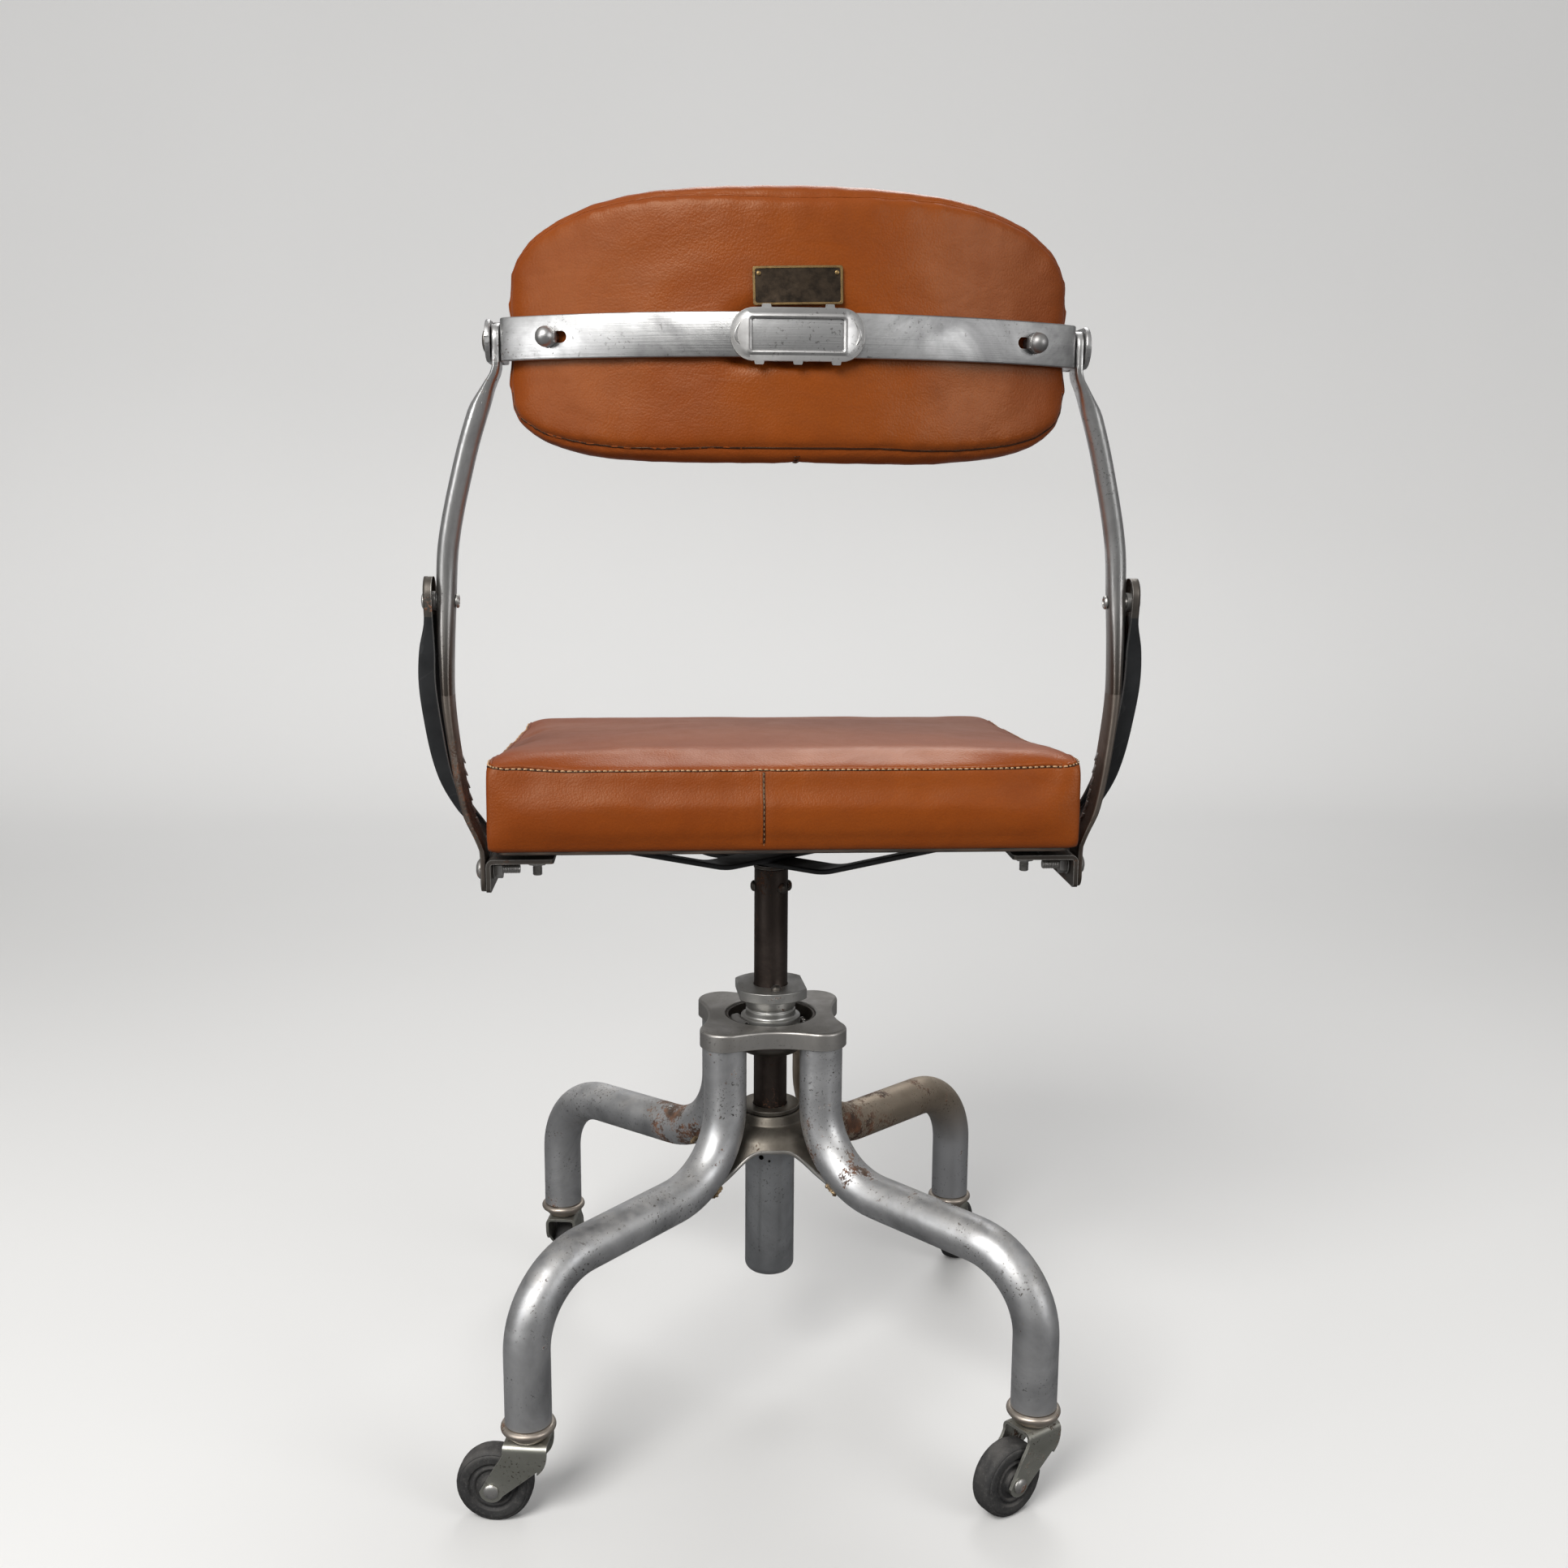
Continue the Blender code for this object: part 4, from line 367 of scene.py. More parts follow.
def make_hide_effect():
    """Full-grain leather: pebbled grain, pores and slow colour change of the dye."""
    tree, given, out = effect_group("hide", ["v Vector", "f Pebble"], ["f Height", "f Tone", "f Pull"])
    cells = place_node(tree, "ShaderNodeTexVoronoi", feature="SMOOTH_F1")
    cells.inputs["Smoothness"].default_value = 0.35
    bent = place_node(tree, "ShaderNodeVectorMath", operation="ADD")
    feed(tree, bent.inputs[0], given["Vector"])
    sway = place_node(tree, "ShaderNodeTexNoise")
    sway.inputs["Scale"].default_value = 140.0
    feed(tree, sway.inputs["Vector"], given["Vector"])
    feed(tree, bent.inputs[1], stretched(tree, sway.outputs["Color"], (0.0016, 0.0016, 0.0016)))
    feed(tree, cells.inputs["Vector"], bent.outputs[0])
    feed(tree, cells.inputs["Scale"], given["Pebble"])
    pores = mottle(tree, given["Vector"], 1500.0, 2.0, 0.6)
    height = plus(tree, times(tree, cells.outputs["Distance"], -0.8), times(tree, pores, 0.35))
    feed(tree, out["Height"], height)
    broad = mottle(tree, given["Vector"], 9.0, 5.0, 0.62, 0.6)
    feed(tree, out["Tone"], span_of(tree, broad, 0.30, 0.72))
    pull = mottle(tree, stretched(tree, given["Vector"], (1.0, 0.6, 2.2)), 34.0, 4.0, 0.6, 1.1)
    feed(tree, out["Pull"], span_of(tree, pull, 0.34, 0.70))
    return tree


RUST = make_rust_effect()
BRUSHED = make_brush_effect()
EDGE = make_edge_effect()
DUST = make_dust_effect()
SCRATCH = make_scratch_effect()
HIDE = make_hide_effect()


def new_finish(name):
    """A material with its tree, its shader and its own coordinates."""
    made = bpy.data.materials.new(name)
    made.use_nodes = True
    tree = made.node_tree
    return made, tree, tree.nodes["Principled BSDF"], own_coords(tree)


def bump_from(tree, shader, height, depth, strength=1.0):
    bump = place_node(tree, "ShaderNodeBump")
    bump.inputs["Distance"].default_value = depth
    bump.inputs["Strength"].default_value = strength
    feed(tree, bump.inputs["Height"], height)
    feed(tree, shader.inputs["Normal"], bump.outputs[0])


def worn_steel(name, light, dark, rust=0.3, rough=(0.26, 0.46), stretch=(60.0, 60.0, 60.0), patch=11.0,
               dust=0.15, edge=0.0, scratch=0.05, pits=0.5, spots=(), low_tint=None):
    """Bare steel under old lacquer: cloudy grey, brushed lines, pits, bright edges and rust.

    A spot is a place, a reach and the rust it adds. low_tint is two heights and the colour below them.
    """
    made, tree, shader, coords = new_finish(name)
    for place, reach, extra in spots:
        gap = place_node(tree, "ShaderNodeVectorMath", operation="DISTANCE")
        feed(tree, gap.inputs[0], coords)
        gap.inputs[1].default_value = place
        rust = plus(tree, span_of(tree, gap.outputs["Value"], 0.0, reach, extra, 0.0), rust)
    brushed = use_effect(tree, BRUSHED, Vector=coords, Stretch=stretch, Cloud=13.0)
    rusty = use_effect(tree, RUST, Vector=coords, Amount=rust, Patch=patch, Grain=520.0)
    marks = use_effect(tree, SCRATCH, Vector=coords, Scale=16.0, Amount=scratch)
    dusty = use_effect(tree, DUST, Vector=coords, Amount=dust)
    colour = blend_colour(tree, brushed["Cloud"], dark, light)
    fine = times(tree, brushed["Line"], 0.35)
    colour = blend_colour(tree, fine, colour, tuple(c * 0.55 for c in light))
    colour = blend_colour(tree, marks["Mask"], colour, tuple(min(c * 1.4, 0.9) for c in light))
    if low_tint:
        low, high, tint = low_tint
        colour = blend_colour(tree, span_of(tree, along_axis(tree, coords, "Z"), low, high, 1.0, 0.0), colour, tint)
    dots = span_of(tree, mottle(tree, coords, 520.0, 3.0, 0.6), 0.60, 0.65)
    dots = times(tree, dots, span_of(tree, mottle(tree, coords, 30.0, 4.0, 0.65), 0.46, 0.62))
    colour = blend_colour(tree, times(tree, dots, pits), colour, (0.05, 0.038, 0.032))
    if edge:
        worn = use_effect(tree, EDGE, Vector=coords, Width=0.0008, Grain=240.0)
        colour = blend_colour(tree, times(tree, worn["Mask"], edge), colour, (0.72, 0.70, 0.67))
    colour = blend_colour(tree, rusty["Mask"], colour, rusty["Colour"])
    colour = blend_colour(tree, dusty["Mask"], colour, (0.36, 0.32, 0.27))
    feed(tree, shader.inputs["Base Color"], colour)
    shine = blend_value(tree, brushed["Cloud"], rough[1], rough[0])
    shine = plus(tree, shine, times(tree, brushed["Line"], 0.08))
    shine = blend_value(tree, rusty["Mask"], shine, 0.82)
    feed(tree, shader.inputs["Roughness"], blend_value(tree, dusty["Mask"], shine, 0.8))
    cover = math_of(tree, "MAXIMUM", rusty["Mask"], dusty["Mask"])
    feed(tree, shader.inputs["Metallic"], blend_value(tree, cover, 0.96, 0.12))
    height = plus(tree, times(tree, brushed["Line"], 0.25), rusty["Height"])
    bump_from(tree, shader, height, 0.00022, 0.7)
    return made


def black_enamel(name, rust=0.10, edge=0.8, shine=0.34):
    """Old black enamel, thin on the edges, with dull patches and a little rust."""
    made, tree, shader, coords = new_finish(name)
    worn = use_effect(tree, EDGE, Vector=coords, Width=0.0011, Grain=170.0)
    rusty = use_effect(tree, RUST, Vector=coords, Amount=rust, Patch=14.0, Grain=260.0)
    marks = use_effect(tree, SCRATCH, Vector=coords, Scale=14.0, Amount=0.55)
    dusty = use_effect(tree, DUST, Vector=coords, Amount=0.35)
    cloud = span_of(tree, mottle(tree, coords, 22.0, 5.0, 0.6), 0.3, 0.7)
    colour = blend_colour(tree, cloud, (0.010, 0.011, 0.012), (0.024, 0.025, 0.027))
    colour = blend_colour(tree, times(tree, marks["Mask"], 0.35), colour, (0.14, 0.14, 0.14))
    colour = blend_colour(tree, rusty["Mask"], colour, rusty["Colour"])
    bare = times(tree, worn["Mask"], edge)
    colour = blend_colour(tree, bare, colour, (0.34, 0.33, 0.32))
    colour = blend_colour(tree, dusty["Mask"], colour, (0.10, 0.09, 0.08))
    feed(tree, shader.inputs["Base Color"], colour)
    feed(tree, shader.inputs["Metallic"], times(tree, bare, 0.9))
    gloss = blend_value(tree, cloud, shine, shine + 0.20)
    gloss = blend_value(tree, rusty["Mask"], gloss, 0.85)
    feed(tree, shader.inputs["Roughness"], blend_value(tree, dusty["Mask"], gloss, 0.75))
    height = math_of(tree, "SUBTRACT", times(tree, cloud, 0.3), bare)
    bump_from(tree, shader, height, 0.00012, 0.6)
    return made


def aged_leather(name, dark, mid, light):
    """Waxed leather: cloudy dye, painted shade darkening the folds, darker grain and a few light scratches."""
    made, tree, shader, coords = new_finish(name)
    hide = use_effect(tree, HIDE, Vector=coords, Pebble=760.0)
    marks = use_effect(tree, SCRATCH, Vector=coords, Scale=9.0, Amount=0.12)
    colour = blend_colour(tree, hide["Tone"], mid, light)
    colour = blend_colour(tree, times(tree, hide["Pull"], 0.09), colour, dark)
    # Painted shade: ambient occlusion pulls the colour toward the dark tone in folds and creases.
    fold = place_node(tree, "ShaderNodeAmbientOcclusion", samples=8, only_local=True)
    fold.inputs["Distance"].default_value = 0.006
    colour = blend_colour(tree, span_of(tree, fold.outputs["AO"], 0.35, 0.85, 0.75, 0.0), colour, dark)
    colour = blend_colour(tree, marks["Mask"], colour, tuple(min(c * 1.35, 1.0) for c in light))
    grain = span_of(tree, hide["Height"], -0.5, 0.35, smooth=False)
    colour = blend_colour(tree, times(tree, math_of(tree, "SUBTRACT", 1.0, grain), 0.16), colour, dark)
    feed(tree, shader.inputs["Base Color"], colour)
    rough = blend_value(tree, hide["Tone"], 0.43, 0.34)
    feed(tree, shader.inputs["Roughness"], plus(tree, rough, times(tree, hide["Pull"], 0.05)))
    shader.inputs["Specular IOR Level"].default_value = 0.42
    shader.inputs["Specular Tint"].default_value = (1.0, 0.80, 0.58, 1.0)
    shader.inputs["Sheen Weight"].default_value = 0.02
    shader.inputs["Sheen Roughness"].default_value = 0.5
    height = plus(tree, times(tree, hide["Height"], 0.55), times(tree, hide["Pull"], 0.28))
    bump_from(tree, shader, height, 0.00030, 0.75)
    return made


def old_rubber(name):
    """Grey, dusty rubber with scuffs."""
    made, tree, shader, coords = new_finish(name)
    cloud = span_of(tree, mottle(tree, coords, 55.0, 6.0, 0.65, 0.4), 0.3, 0.7)
    scuff = span_of(tree, mottle(tree, coords, 420.0, 4.0, 0.75), 0.50, 0.72)
    dusty = use_effect(tree, DUST, Vector=coords, Amount=0.5)
    colour = blend_colour(tree, cloud, (0.020, 0.020, 0.021), (0.046, 0.045, 0.044))
    colour = blend_colour(tree, times(tree, scuff, 0.6), colour, (0.105, 0.100, 0.095))
    colour = blend_colour(tree, dusty["Mask"], colour, (0.16, 0.15, 0.14))
    feed(tree, shader.inputs["Base Color"], colour)
    feed(tree, shader.inputs["Roughness"], blend_value(tree, cloud, 0.62, 0.82))
    bump_from(tree, shader, plus(tree, scuff, cloud), 0.00018, 0.6)
    return made


def aged_brass(name, light, dark, rough=0.42):
    """Dull brass, brighter on its edges."""
    made, tree, shader, coords = new_finish(name)
    cloud = span_of(tree, mottle(tree, coords, 120.0, 5.0, 0.65), 0.3, 0.7)
    worn = use_effect(tree, EDGE, Vector=coords, Width=0.0005, Grain=400.0)
    colour = blend_colour(tree, cloud, dark, light)
    colour = blend_colour(tree, worn["Mask"], colour, tuple(min(c * 1.5, 0.9) for c in light))
    feed(tree, shader.inputs["Base Color"], colour)
    shader.inputs["Metallic"].default_value = 0.9
    feed(tree, shader.inputs["Roughness"], blend_value(tree, cloud, rough + 0.18, rough))
    bump_from(tree, shader, cloud, 0.00010, 0.6)
    return made


def stained_board(name):
    """Dark stained plywood with long grain."""
    made, tree, shader, coords = new_finish(name)
    grain = mottle(tree, stretched(tree, coords, (30.0, 420.0, 420.0)), 1.0, 6.0, 0.65, 0.6)
    colour = blend_colour(tree, span_of(tree, grain, 0.35, 0.68), (0.018, 0.013, 0.010), (0.070, 0.048, 0.034))
    feed(tree, shader.inputs["Base Color"], colour)
    feed(tree, shader.inputs["Roughness"], span_of(tree, grain, 0.3, 0.7, 0.55, 0.75))
    bump_from(tree, shader, grain, 0.00025, 0.6)
    return made


def waxed_thread(name, colour):
    """Twisted sewing thread."""
    made, tree, shader, coords = new_finish(name)
    ply = mottle(tree, coords, 900.0, 3.0, 0.6)
    tone = blend_colour(tree, span_of(tree, ply, 0.3, 0.7), tuple(c * 0.55 for c in colour), colour)
    feed(tree, shader.inputs["Base Color"], tone)
    shader.inputs["Roughness"].default_value = 0.62
    bump_from(tree, shader, ply, 0.0002, 0.8)
    return made


def brazed_bronze(name):
    """Lumpy brazing metal with flux stains."""
    made, tree, shader, coords = new_finish(name)
    lumps = mottle(tree, coords, 260.0, 5.0, 0.7, 0.6)
    colour = blend_colour(tree, span_of(tree, lumps, 0.35, 0.65), (0.10, 0.065, 0.040), (0.46, 0.34, 0.20))
    feed(tree, shader.inputs["Base Color"], colour)
    shader.inputs["Metallic"].default_value = 0.75
    feed(tree, shader.inputs["Roughness"], span_of(tree, lumps, 0.3, 0.7, 0.7, 0.42))
    bump_from(tree, shader, lumps, 0.0006, 0.9)
    return made


LEG_RUST = {
    "rear_left": (0.10, [((-0.098, -0.105, 0.196), 0.030, 0.16)]),
    "rear_right": (0.16, [((0.042, -0.050, 0.216), 0.040, 0.32), ((0.062, -0.056, 0.196), 0.034, 0.28),
                          ((0.105, -0.090, 0.192), 0.060, 0.18), ((0.184, -0.160, 0.150), 0.050, 0.16)]),
    "front_left": (0.16, [((-0.068, 0.068, 0.194), 0.060, 0.62)]),
    "front_right": (0.18, [((0.080, 0.080, 0.190), 0.090, 0.50)])}
BRIGHT_LEG = ((0.93, 0.935, 0.945), (0.36, 0.365, 0.375), None)
TANNED_LEG = ((0.66, 0.55, 0.43), (0.36, 0.29, 0.22), (0.115, 0.175, (0.58, 0.585, 0.60)))


def leg_steel(corner):
    """Steel of one leg; the front right one has a tan film down to its ankle."""
    amount, spots = LEG_RUST[corner]
    light, dark, low_tint = TANNED_LEG if corner == "front_right" else BRIGHT_LEG
    return worn_steel("leg steel " + corner.replace("_", " "), light, dark, rust=amount, patch=34.0,
                      rough=(0.32, 0.43), stretch=(90.0, 90.0, 90.0), pits=0.9, dust=0.34, spots=spots,
                      low_tint=low_tint)


LEG_STEEL = {corner: leg_steel(corner) for corner in LEG_RUST}
CAP_STEEL = worn_steel("cap steel", (0.66, 0.64, 0.61), (0.33, 0.315, 0.295), rust=0.12, edge=0.9, dust=0.2)
WEB_STEEL = worn_steel("web steel", (0.26, 0.235, 0.20), (0.10, 0.088, 0.072), rust=0.14, edge=0.9, dust=0.2,
                       rough=(0.34, 0.50))
RIM_STEEL = worn_steel("rim steel", (0.74, 0.72, 0.69), (0.42, 0.40, 0.37), rust=0.10, rough=(0.22, 0.36))
BARREL_STEEL = worn_steel("barrel steel", (0.74, 0.76, 0.78), (0.38, 0.39, 0.405), rust=0.10, rough=(0.22, 0.36))
NUT_STEEL = worn_steel("nut steel", (0.70, 0.70, 0.68), (0.36, 0.35, 0.33), rust=0.12, edge=0.8, patch=40.0)
STRAP_STEEL = worn_steel("strap steel", (0.84, 0.84, 0.84), (0.20, 0.20, 0.202), rust=0.06, scratch=0.03,
                         rough=(0.27, 0.42), stretch=(9.0, 9.0, 1500.0), dust=0.05, edge=0.5)
TUBE_STEEL = worn_steel("tube steel", (0.96, 0.96, 0.95), (0.46, 0.458, 0.455), rust=0.14,
                        low_tint=(0.556, 0.665, (0.15, 0.125, 0.105)),
                        stretch=(700.0, 700.0, 12.0), rough=(0.22, 0.36), dust=0.08)
FOOT_STEEL = worn_steel("foot steel", (0.26, 0.225, 0.195), (0.095, 0.072, 0.058), rust=0.48,
                        stretch=(700.0, 700.0, 12.0), rough=(0.36, 0.55), dust=0.05, edge=0.9)
NICKEL = worn_steel("old nickel", (0.60, 0.60, 0.54), (0.26, 0.26, 0.225), rust=0.16, rough=(0.28, 0.48),
                    patch=26.0, dust=0.25, edge=0.7, pits=0.8)
FERRULE_NICKEL = worn_steel("ferrule nickel", (0.68, 0.61, 0.53), (0.40, 0.34, 0.29), rust=0.12,
                            rough=(0.26, 0.42), patch=26.0, dust=0.2)
FRAME_STEEL = worn_steel("frame steel", (0.66, 0.655, 0.65), (0.24, 0.235, 0.23), rust=0.06,
                         rough=(0.32, 0.48), patch=40.0, dust=0.05, edge=0.5)
BRIGHT_STEEL = worn_steel("bright steel", (0.78, 0.765, 0.74), (0.52, 0.51, 0.49), rust=0.05,
                          rough=(0.18, 0.34), dust=0.05, edge=0.6)
SPINDLE_STEEL = worn_steel("spindle steel", (0.125, 0.100, 0.088), (0.042, 0.032, 0.027), rust=0.40,
                           rough=(0.34, 0.55), patch=20.0, dust=0.05)
BOLT_STEEL = worn_steel("bolt steel", (0.66, 0.65, 0.63), (0.32, 0.31, 0.30), rust=0.16, patch=60.0,
                        rough=(0.28, 0.46), edge=0.7)
DARK_STEEL = worn_steel("dark steel", (0.20, 0.18, 0.16), (0.075, 0.065, 0.057), rust=0.30, patch=30.0,
                        rough=(0.36, 0.55), edge=0.8)
BLACK = black_enamel("black enamel")
IRON_BLACK = black_enamel("iron black", rust=0.06, edge=0.45, shine=0.30)
LEATHER = aged_leather("cognac leather", (0.080, 0.015, 0.001), (0.245, 0.046, 0.003), (0.300, 0.066, 0.007))
# Near-black leather for painted shade: dark lines laid along seams and joins where their grooves fall in shade. The
# pad's join stitches are also coloured with it.
SEAM_SHADE_LEATHER = aged_leather("seam shade leather", (0.010, 0.003, 0.001), (0.030, 0.007, 0.002), (0.050, 0.012, 0.003))
RUBBER = old_rubber("old rubber")
BRASS = aged_brass("aged brass", (0.36, 0.24, 0.10), (0.13, 0.085, 0.045))
BRASS_DARK = aged_brass("brass field", (0.070, 0.050, 0.034), (0.022, 0.017, 0.013), rough=0.5)
BOARD = stained_board("stained board")
THREAD = waxed_thread("tan thread", (0.66, 0.40, 0.21))
BRAZE = brazed_bronze("brazing")


# Modelling helpers

SHARP_TURN = 32.0


def soft_edges(piece, width, segments, angle, harden=False):
    """Round the edges that turn by more than an angle."""
    soften = piece.modifiers.new("soft edges", "BEVEL")
    soften.width = width
    soften.segments = segments
    soften.limit_method = "ANGLE"
    soften.angle_limit = radians(angle)
    soften.harden_normals = harden


def baked(piece):
    """Give a piece the mesh that its modifiers make of it, with its first material."""
    graph = bpy.context.evaluated_depsgraph_get()
    mesh = bpy.data.meshes.new_from_object(piece.evaluated_get(graph))
    kept = piece.data.materials[0]
    piece.modifiers.clear()
    piece.data = mesh
    mesh.materials.clear()
    mesh.materials.append(kept)
    return mesh


def finish_piece(name, made, material, body, nodes=(), sharp=SHARP_TURN, bevel=0.0):
    """Turn a bmesh into a shaded piece that rides on its body and stands for its solids."""
    bmesh.ops.recalc_face_normals(made, faces=made.faces)
    mesh = bpy.data.meshes.new(name)
    made.to_mesh(mesh)
    made.free()
    mesh.shade_smooth()
    mesh.set_sharp_from_angle(angle=radians(sharp))
    mesh.materials.append(material)
    piece = bpy.data.objects.new(name, mesh)
    bpy.context.scene.collection.objects.link(piece)
    if bevel:
        soft_edges(piece, bevel, 2, 34.0, harden=True)
    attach(piece, body)
    if nodes:
        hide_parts(*nodes)
    return piece


def lofted(rings, capped=True):
    """Extrude a closed loop through rings of points, with capped ends or closed round.

    The second step finds the first loop again and takes it to the third ring, so the skin starts at the second.
    """
    made = bmesh.new()
    first = [made.verts.new(p) for p in rings[0]]
    loop = [made.edges.new((first[i], first[(i + 1) % len(first)])) for i in range(len(first))]
    if capped:
        made.faces.new(first)
    verts = first
    for ring in rings[1:]:
        bmesh.ops.extrude_edge_only(made, edges=loop)
        old = set(verts)
        linked = {}
        for vert in verts:
            for edge in vert.link_edges:
                other = edge.other_vert(vert)
                if other not in old and len(other.link_edges) <= 3 and vert not in linked:
                    linked[vert] = other
        verts = [linked[v] for v in verts]
        for vert, point in zip(verts, ring):
            vert.co = point
        loop = [made.edges.get((verts[i], verts[(i + 1) % len(verts)])) for i in range(len(verts))]
    if capped:
        made.faces.new(verts[::-1])
    else:
        bmesh.ops.remove_doubles(made, verts=first + verts, dist=1e-7)
    return made


def turned(made, matrix):
    """Move and turn a bmesh."""
    bmesh.ops.transform(made, matrix=matrix, verts=made.verts)
    return made


def lathe(profile, steps=48, closed=True):
    """Spin a profile of (radius, height) round Z. An open profile starts and ends on the axis."""
    made = bmesh.new()
    verts = [made.verts.new((r, 0, z)) for r, z in profile]
    edges = [made.edges.new(pair) for pair in zip(verts, verts[1:])]
    if closed:
        edges.append(made.edges.new((verts[-1], verts[0])))
    bmesh.ops.spin(made, geom=verts + edges, cent=(0, 0, 0), axis=(0, 0, 1), angle=2 * pi, steps=steps,
                   use_merge=True)
    bmesh.ops.remove_doubles(made, verts=made.verts, dist=1e-6)
    bmesh.ops.recalc_face_normals(made, faces=made.faces)
    return made


def along(start, end):
    """Matrix that takes +Z to the direction from start to end, with its origin at start."""
    start, end = Vector(start), Vector(end)
    return Matrix.Translation(start) @ (end - start).to_track_quat("Z", "Y").to_matrix().to_4x4()


def rounded(profile, size, steps=3):
    """Round the corners of a profile of (x, y) points."""
    points = []
    for i, here in enumerate(profile):
        here = Vector(here)
        before = Vector(profile[i - 1])
        after = Vector(profile[(i + 1) % len(profile)])
        a, b = before - here, after - here
        reach = min(size, a.length * 0.45, b.length * 0.45)
        if a.length < 1e-9 or b.length < 1e-9 or abs(a.angle(b) - pi) < 0.1:
            points.append(tuple(here))
            continue
        p, q = here + a.normalized() * reach, here + b.normalized() * reach
        for k in range(steps + 1):
            t = k / steps
            points.append(tuple(p * (1 - t) ** 2 + here * 2 * t * (1 - t) + q * t ** 2))
    return points


def slab(outline, low, high):
    """A flat shape raised between two heights."""
    made = bmesh.new()
    face = made.faces.new([made.verts.new((x, y, low)) for x, y in outline])
    grown = bmesh.ops.extrude_face_region(made, geom=[face])
    bmesh.ops.translate(made, verts=[v for v in grown["geom"] if isinstance(v, bmesh.types.BMVert)],
                        vec=(0, 0, high - low))
    bmesh.ops.recalc_face_normals(made, faces=made.faces)
    return made


def cut_with(piece, makers, operation="DIFFERENCE"):
    """Cut or join tool bodies and leave one clean mesh."""
    tools = []
    for made in makers:
        mesh = bpy.data.meshes.new("tool")
        bmesh.ops.recalc_face_normals(made, faces=made.faces)
        made.to_mesh(mesh)
        made.free()
        tool = bpy.data.objects.new("tool", mesh)
        bpy.context.scene.collection.objects.link(tool)
        tools.append(tool)
        step = piece.modifiers.new("cut", "BOOLEAN")
        step.object = tool
        step.operation = operation
        step.solver = "EXACT"
    shaped = baked(piece)
    for tool in tools:
        bpy.data.objects.remove(tool, do_unlink=True)
    clean = bmesh.new()
    clean.from_mesh(shaped)
    bmesh.ops.remove_doubles(clean, verts=clean.verts, dist=1e-6)
    bmesh.ops.dissolve_degenerate(clean, edges=clean.edges, dist=1e-6)
    for face in clean.faces:
        face.material_index = 0
    clean.to_mesh(shaped)
    clean.free()
    shaped.shade_smooth()
    shaped.set_sharp_from_angle(angle=radians(SHARP_TURN))


def quarter(steps):
    """Pairs that go from 0, 1 to 1, 0 round a quarter circle."""
    return [(1 - cos(pi / 2 * k / steps), 1 - sin(pi / 2 * k / steps)) for k in range(steps + 1)]


def heading(line, i):
    """Direction of an open line at one of its points."""
    return (line[min(i + 1, len(line) - 1)] - line[max(i - 1, 0)]).normalized()


def oval(middle, side, up, wide, tall, count):
    """Ring of points round a middle."""
    return [middle + side * (wide * cos(2 * pi * k / count)) + up * (tall * sin(2 * pi * k / count))
            for k in range(count)]


def facing_x(side=1):
    """Matrix that stands a slab up: x to Y, y to Z, height to X or away from it."""
    return Matrix(((0, 0, side, 0), (1, 0, 0, 0), (0, 1, 0, 0), (0, 0, 0, 1)))


def facing_y():
    """Matrix that stands a slab up: y to Z, height to Y."""
    return Matrix(((1, 0, 0, 0), (0, 0, 1, 0), (0, 1, 0, 0), (0, 0, 0, 1)))


def shaft(start, end, radius, steps=32):
    """A plain round tool or pin between two points."""
    length = (Vector(end) - Vector(start)).length
    made = lathe([(0, 0), (radius, 0), (radius, length), (0, length)], steps, closed=False)
    return turned(made, along(start, end))


def bent_line(corners, bends, steps):
    """Points along straight runs joined by arcs."""
    points = [Vector(corners[0])]
    for i in range(1, len(corners) - 1):
        here = Vector(corners[i])
        before = (Vector(corners[i - 1]) - here).normalized()
        after = (Vector(corners[i + 1]) - here).normalized()
        turn = pi - before.angle(after)
        reach = bends[i - 1] * sin(turn / 2) / cos(turn / 2)
        centre = here + (before + after).normalized() * (bends[i - 1] / cos(turn / 2))
        first = (here + before * reach - centre).normalized()
        last = (here + after * reach - centre).normalized()
        for step in range(steps[i - 1] + 1):
            points.append(centre + first.slerp(last, step / steps[i - 1]) * bends[i - 1])
    points.append(Vector(corners[-1]))
    return points


def knot_slope(before, here, after, k):
    """Slope of value k at a knot, and 0 where it turns back."""
    if (here[k] - before[k]) * (after[k] - here[k]) <= 0:
        return 0.0
    return (after[k] - before[k]) / (after[0] - before[0])


def smooth_curve(knots, place):
    """Values on a smooth curve through knots of (place, values)."""
    i = 0
    while i < len(knots) - 2 and place > knots[i + 1][0]:
        i += 1
    a, b = knots[i], knots[i + 1]
    before, after = knots[max(i - 1, 0)], knots[min(i + 2, len(knots) - 1)]
    span = b[0] - a[0]
    t = min(max((place - a[0]) / span, 0.0), 1.0)
    found = []
    for k in range(1, len(a)):
        start = knot_slope(before, a, b, k) * span
        stop = knot_slope(a, b, after, k) * span
        found.append(a[k] * (2 * t ** 3 - 3 * t ** 2 + 1) + start * (t ** 3 - 2 * t ** 2 + t)
                     + b[k] * (3 * t ** 2 - 2 * t ** 3) + stop * (t ** 3 - t ** 2))
    return found


def corner_point(corner, reach, z):
    angle = radians(CORNERS[corner])
    return Vector((reach * cos(angle), reach * sin(angle), z))


def hexagon(across, low, high, chamfer=0.0007):
    """Hexagon nut with turned-off corners."""
    made = bmesh.new()
    bmesh.ops.create_cone(made, cap_ends=True, segments=6, radius1=across, radius2=across, depth=high - low)
    bmesh.ops.translate(made, verts=made.verts, vec=(0, 0, (low + high) / 2))
    rims = [e for e in made.edges if abs(e.verts[0].co.z - e.verts[1].co.z) < 1e-6]
    bmesh.ops.bevel(made, geom=rims, offset=chamfer, segments=2, profile=0.5, affect="EDGES", material=-1)
    return made


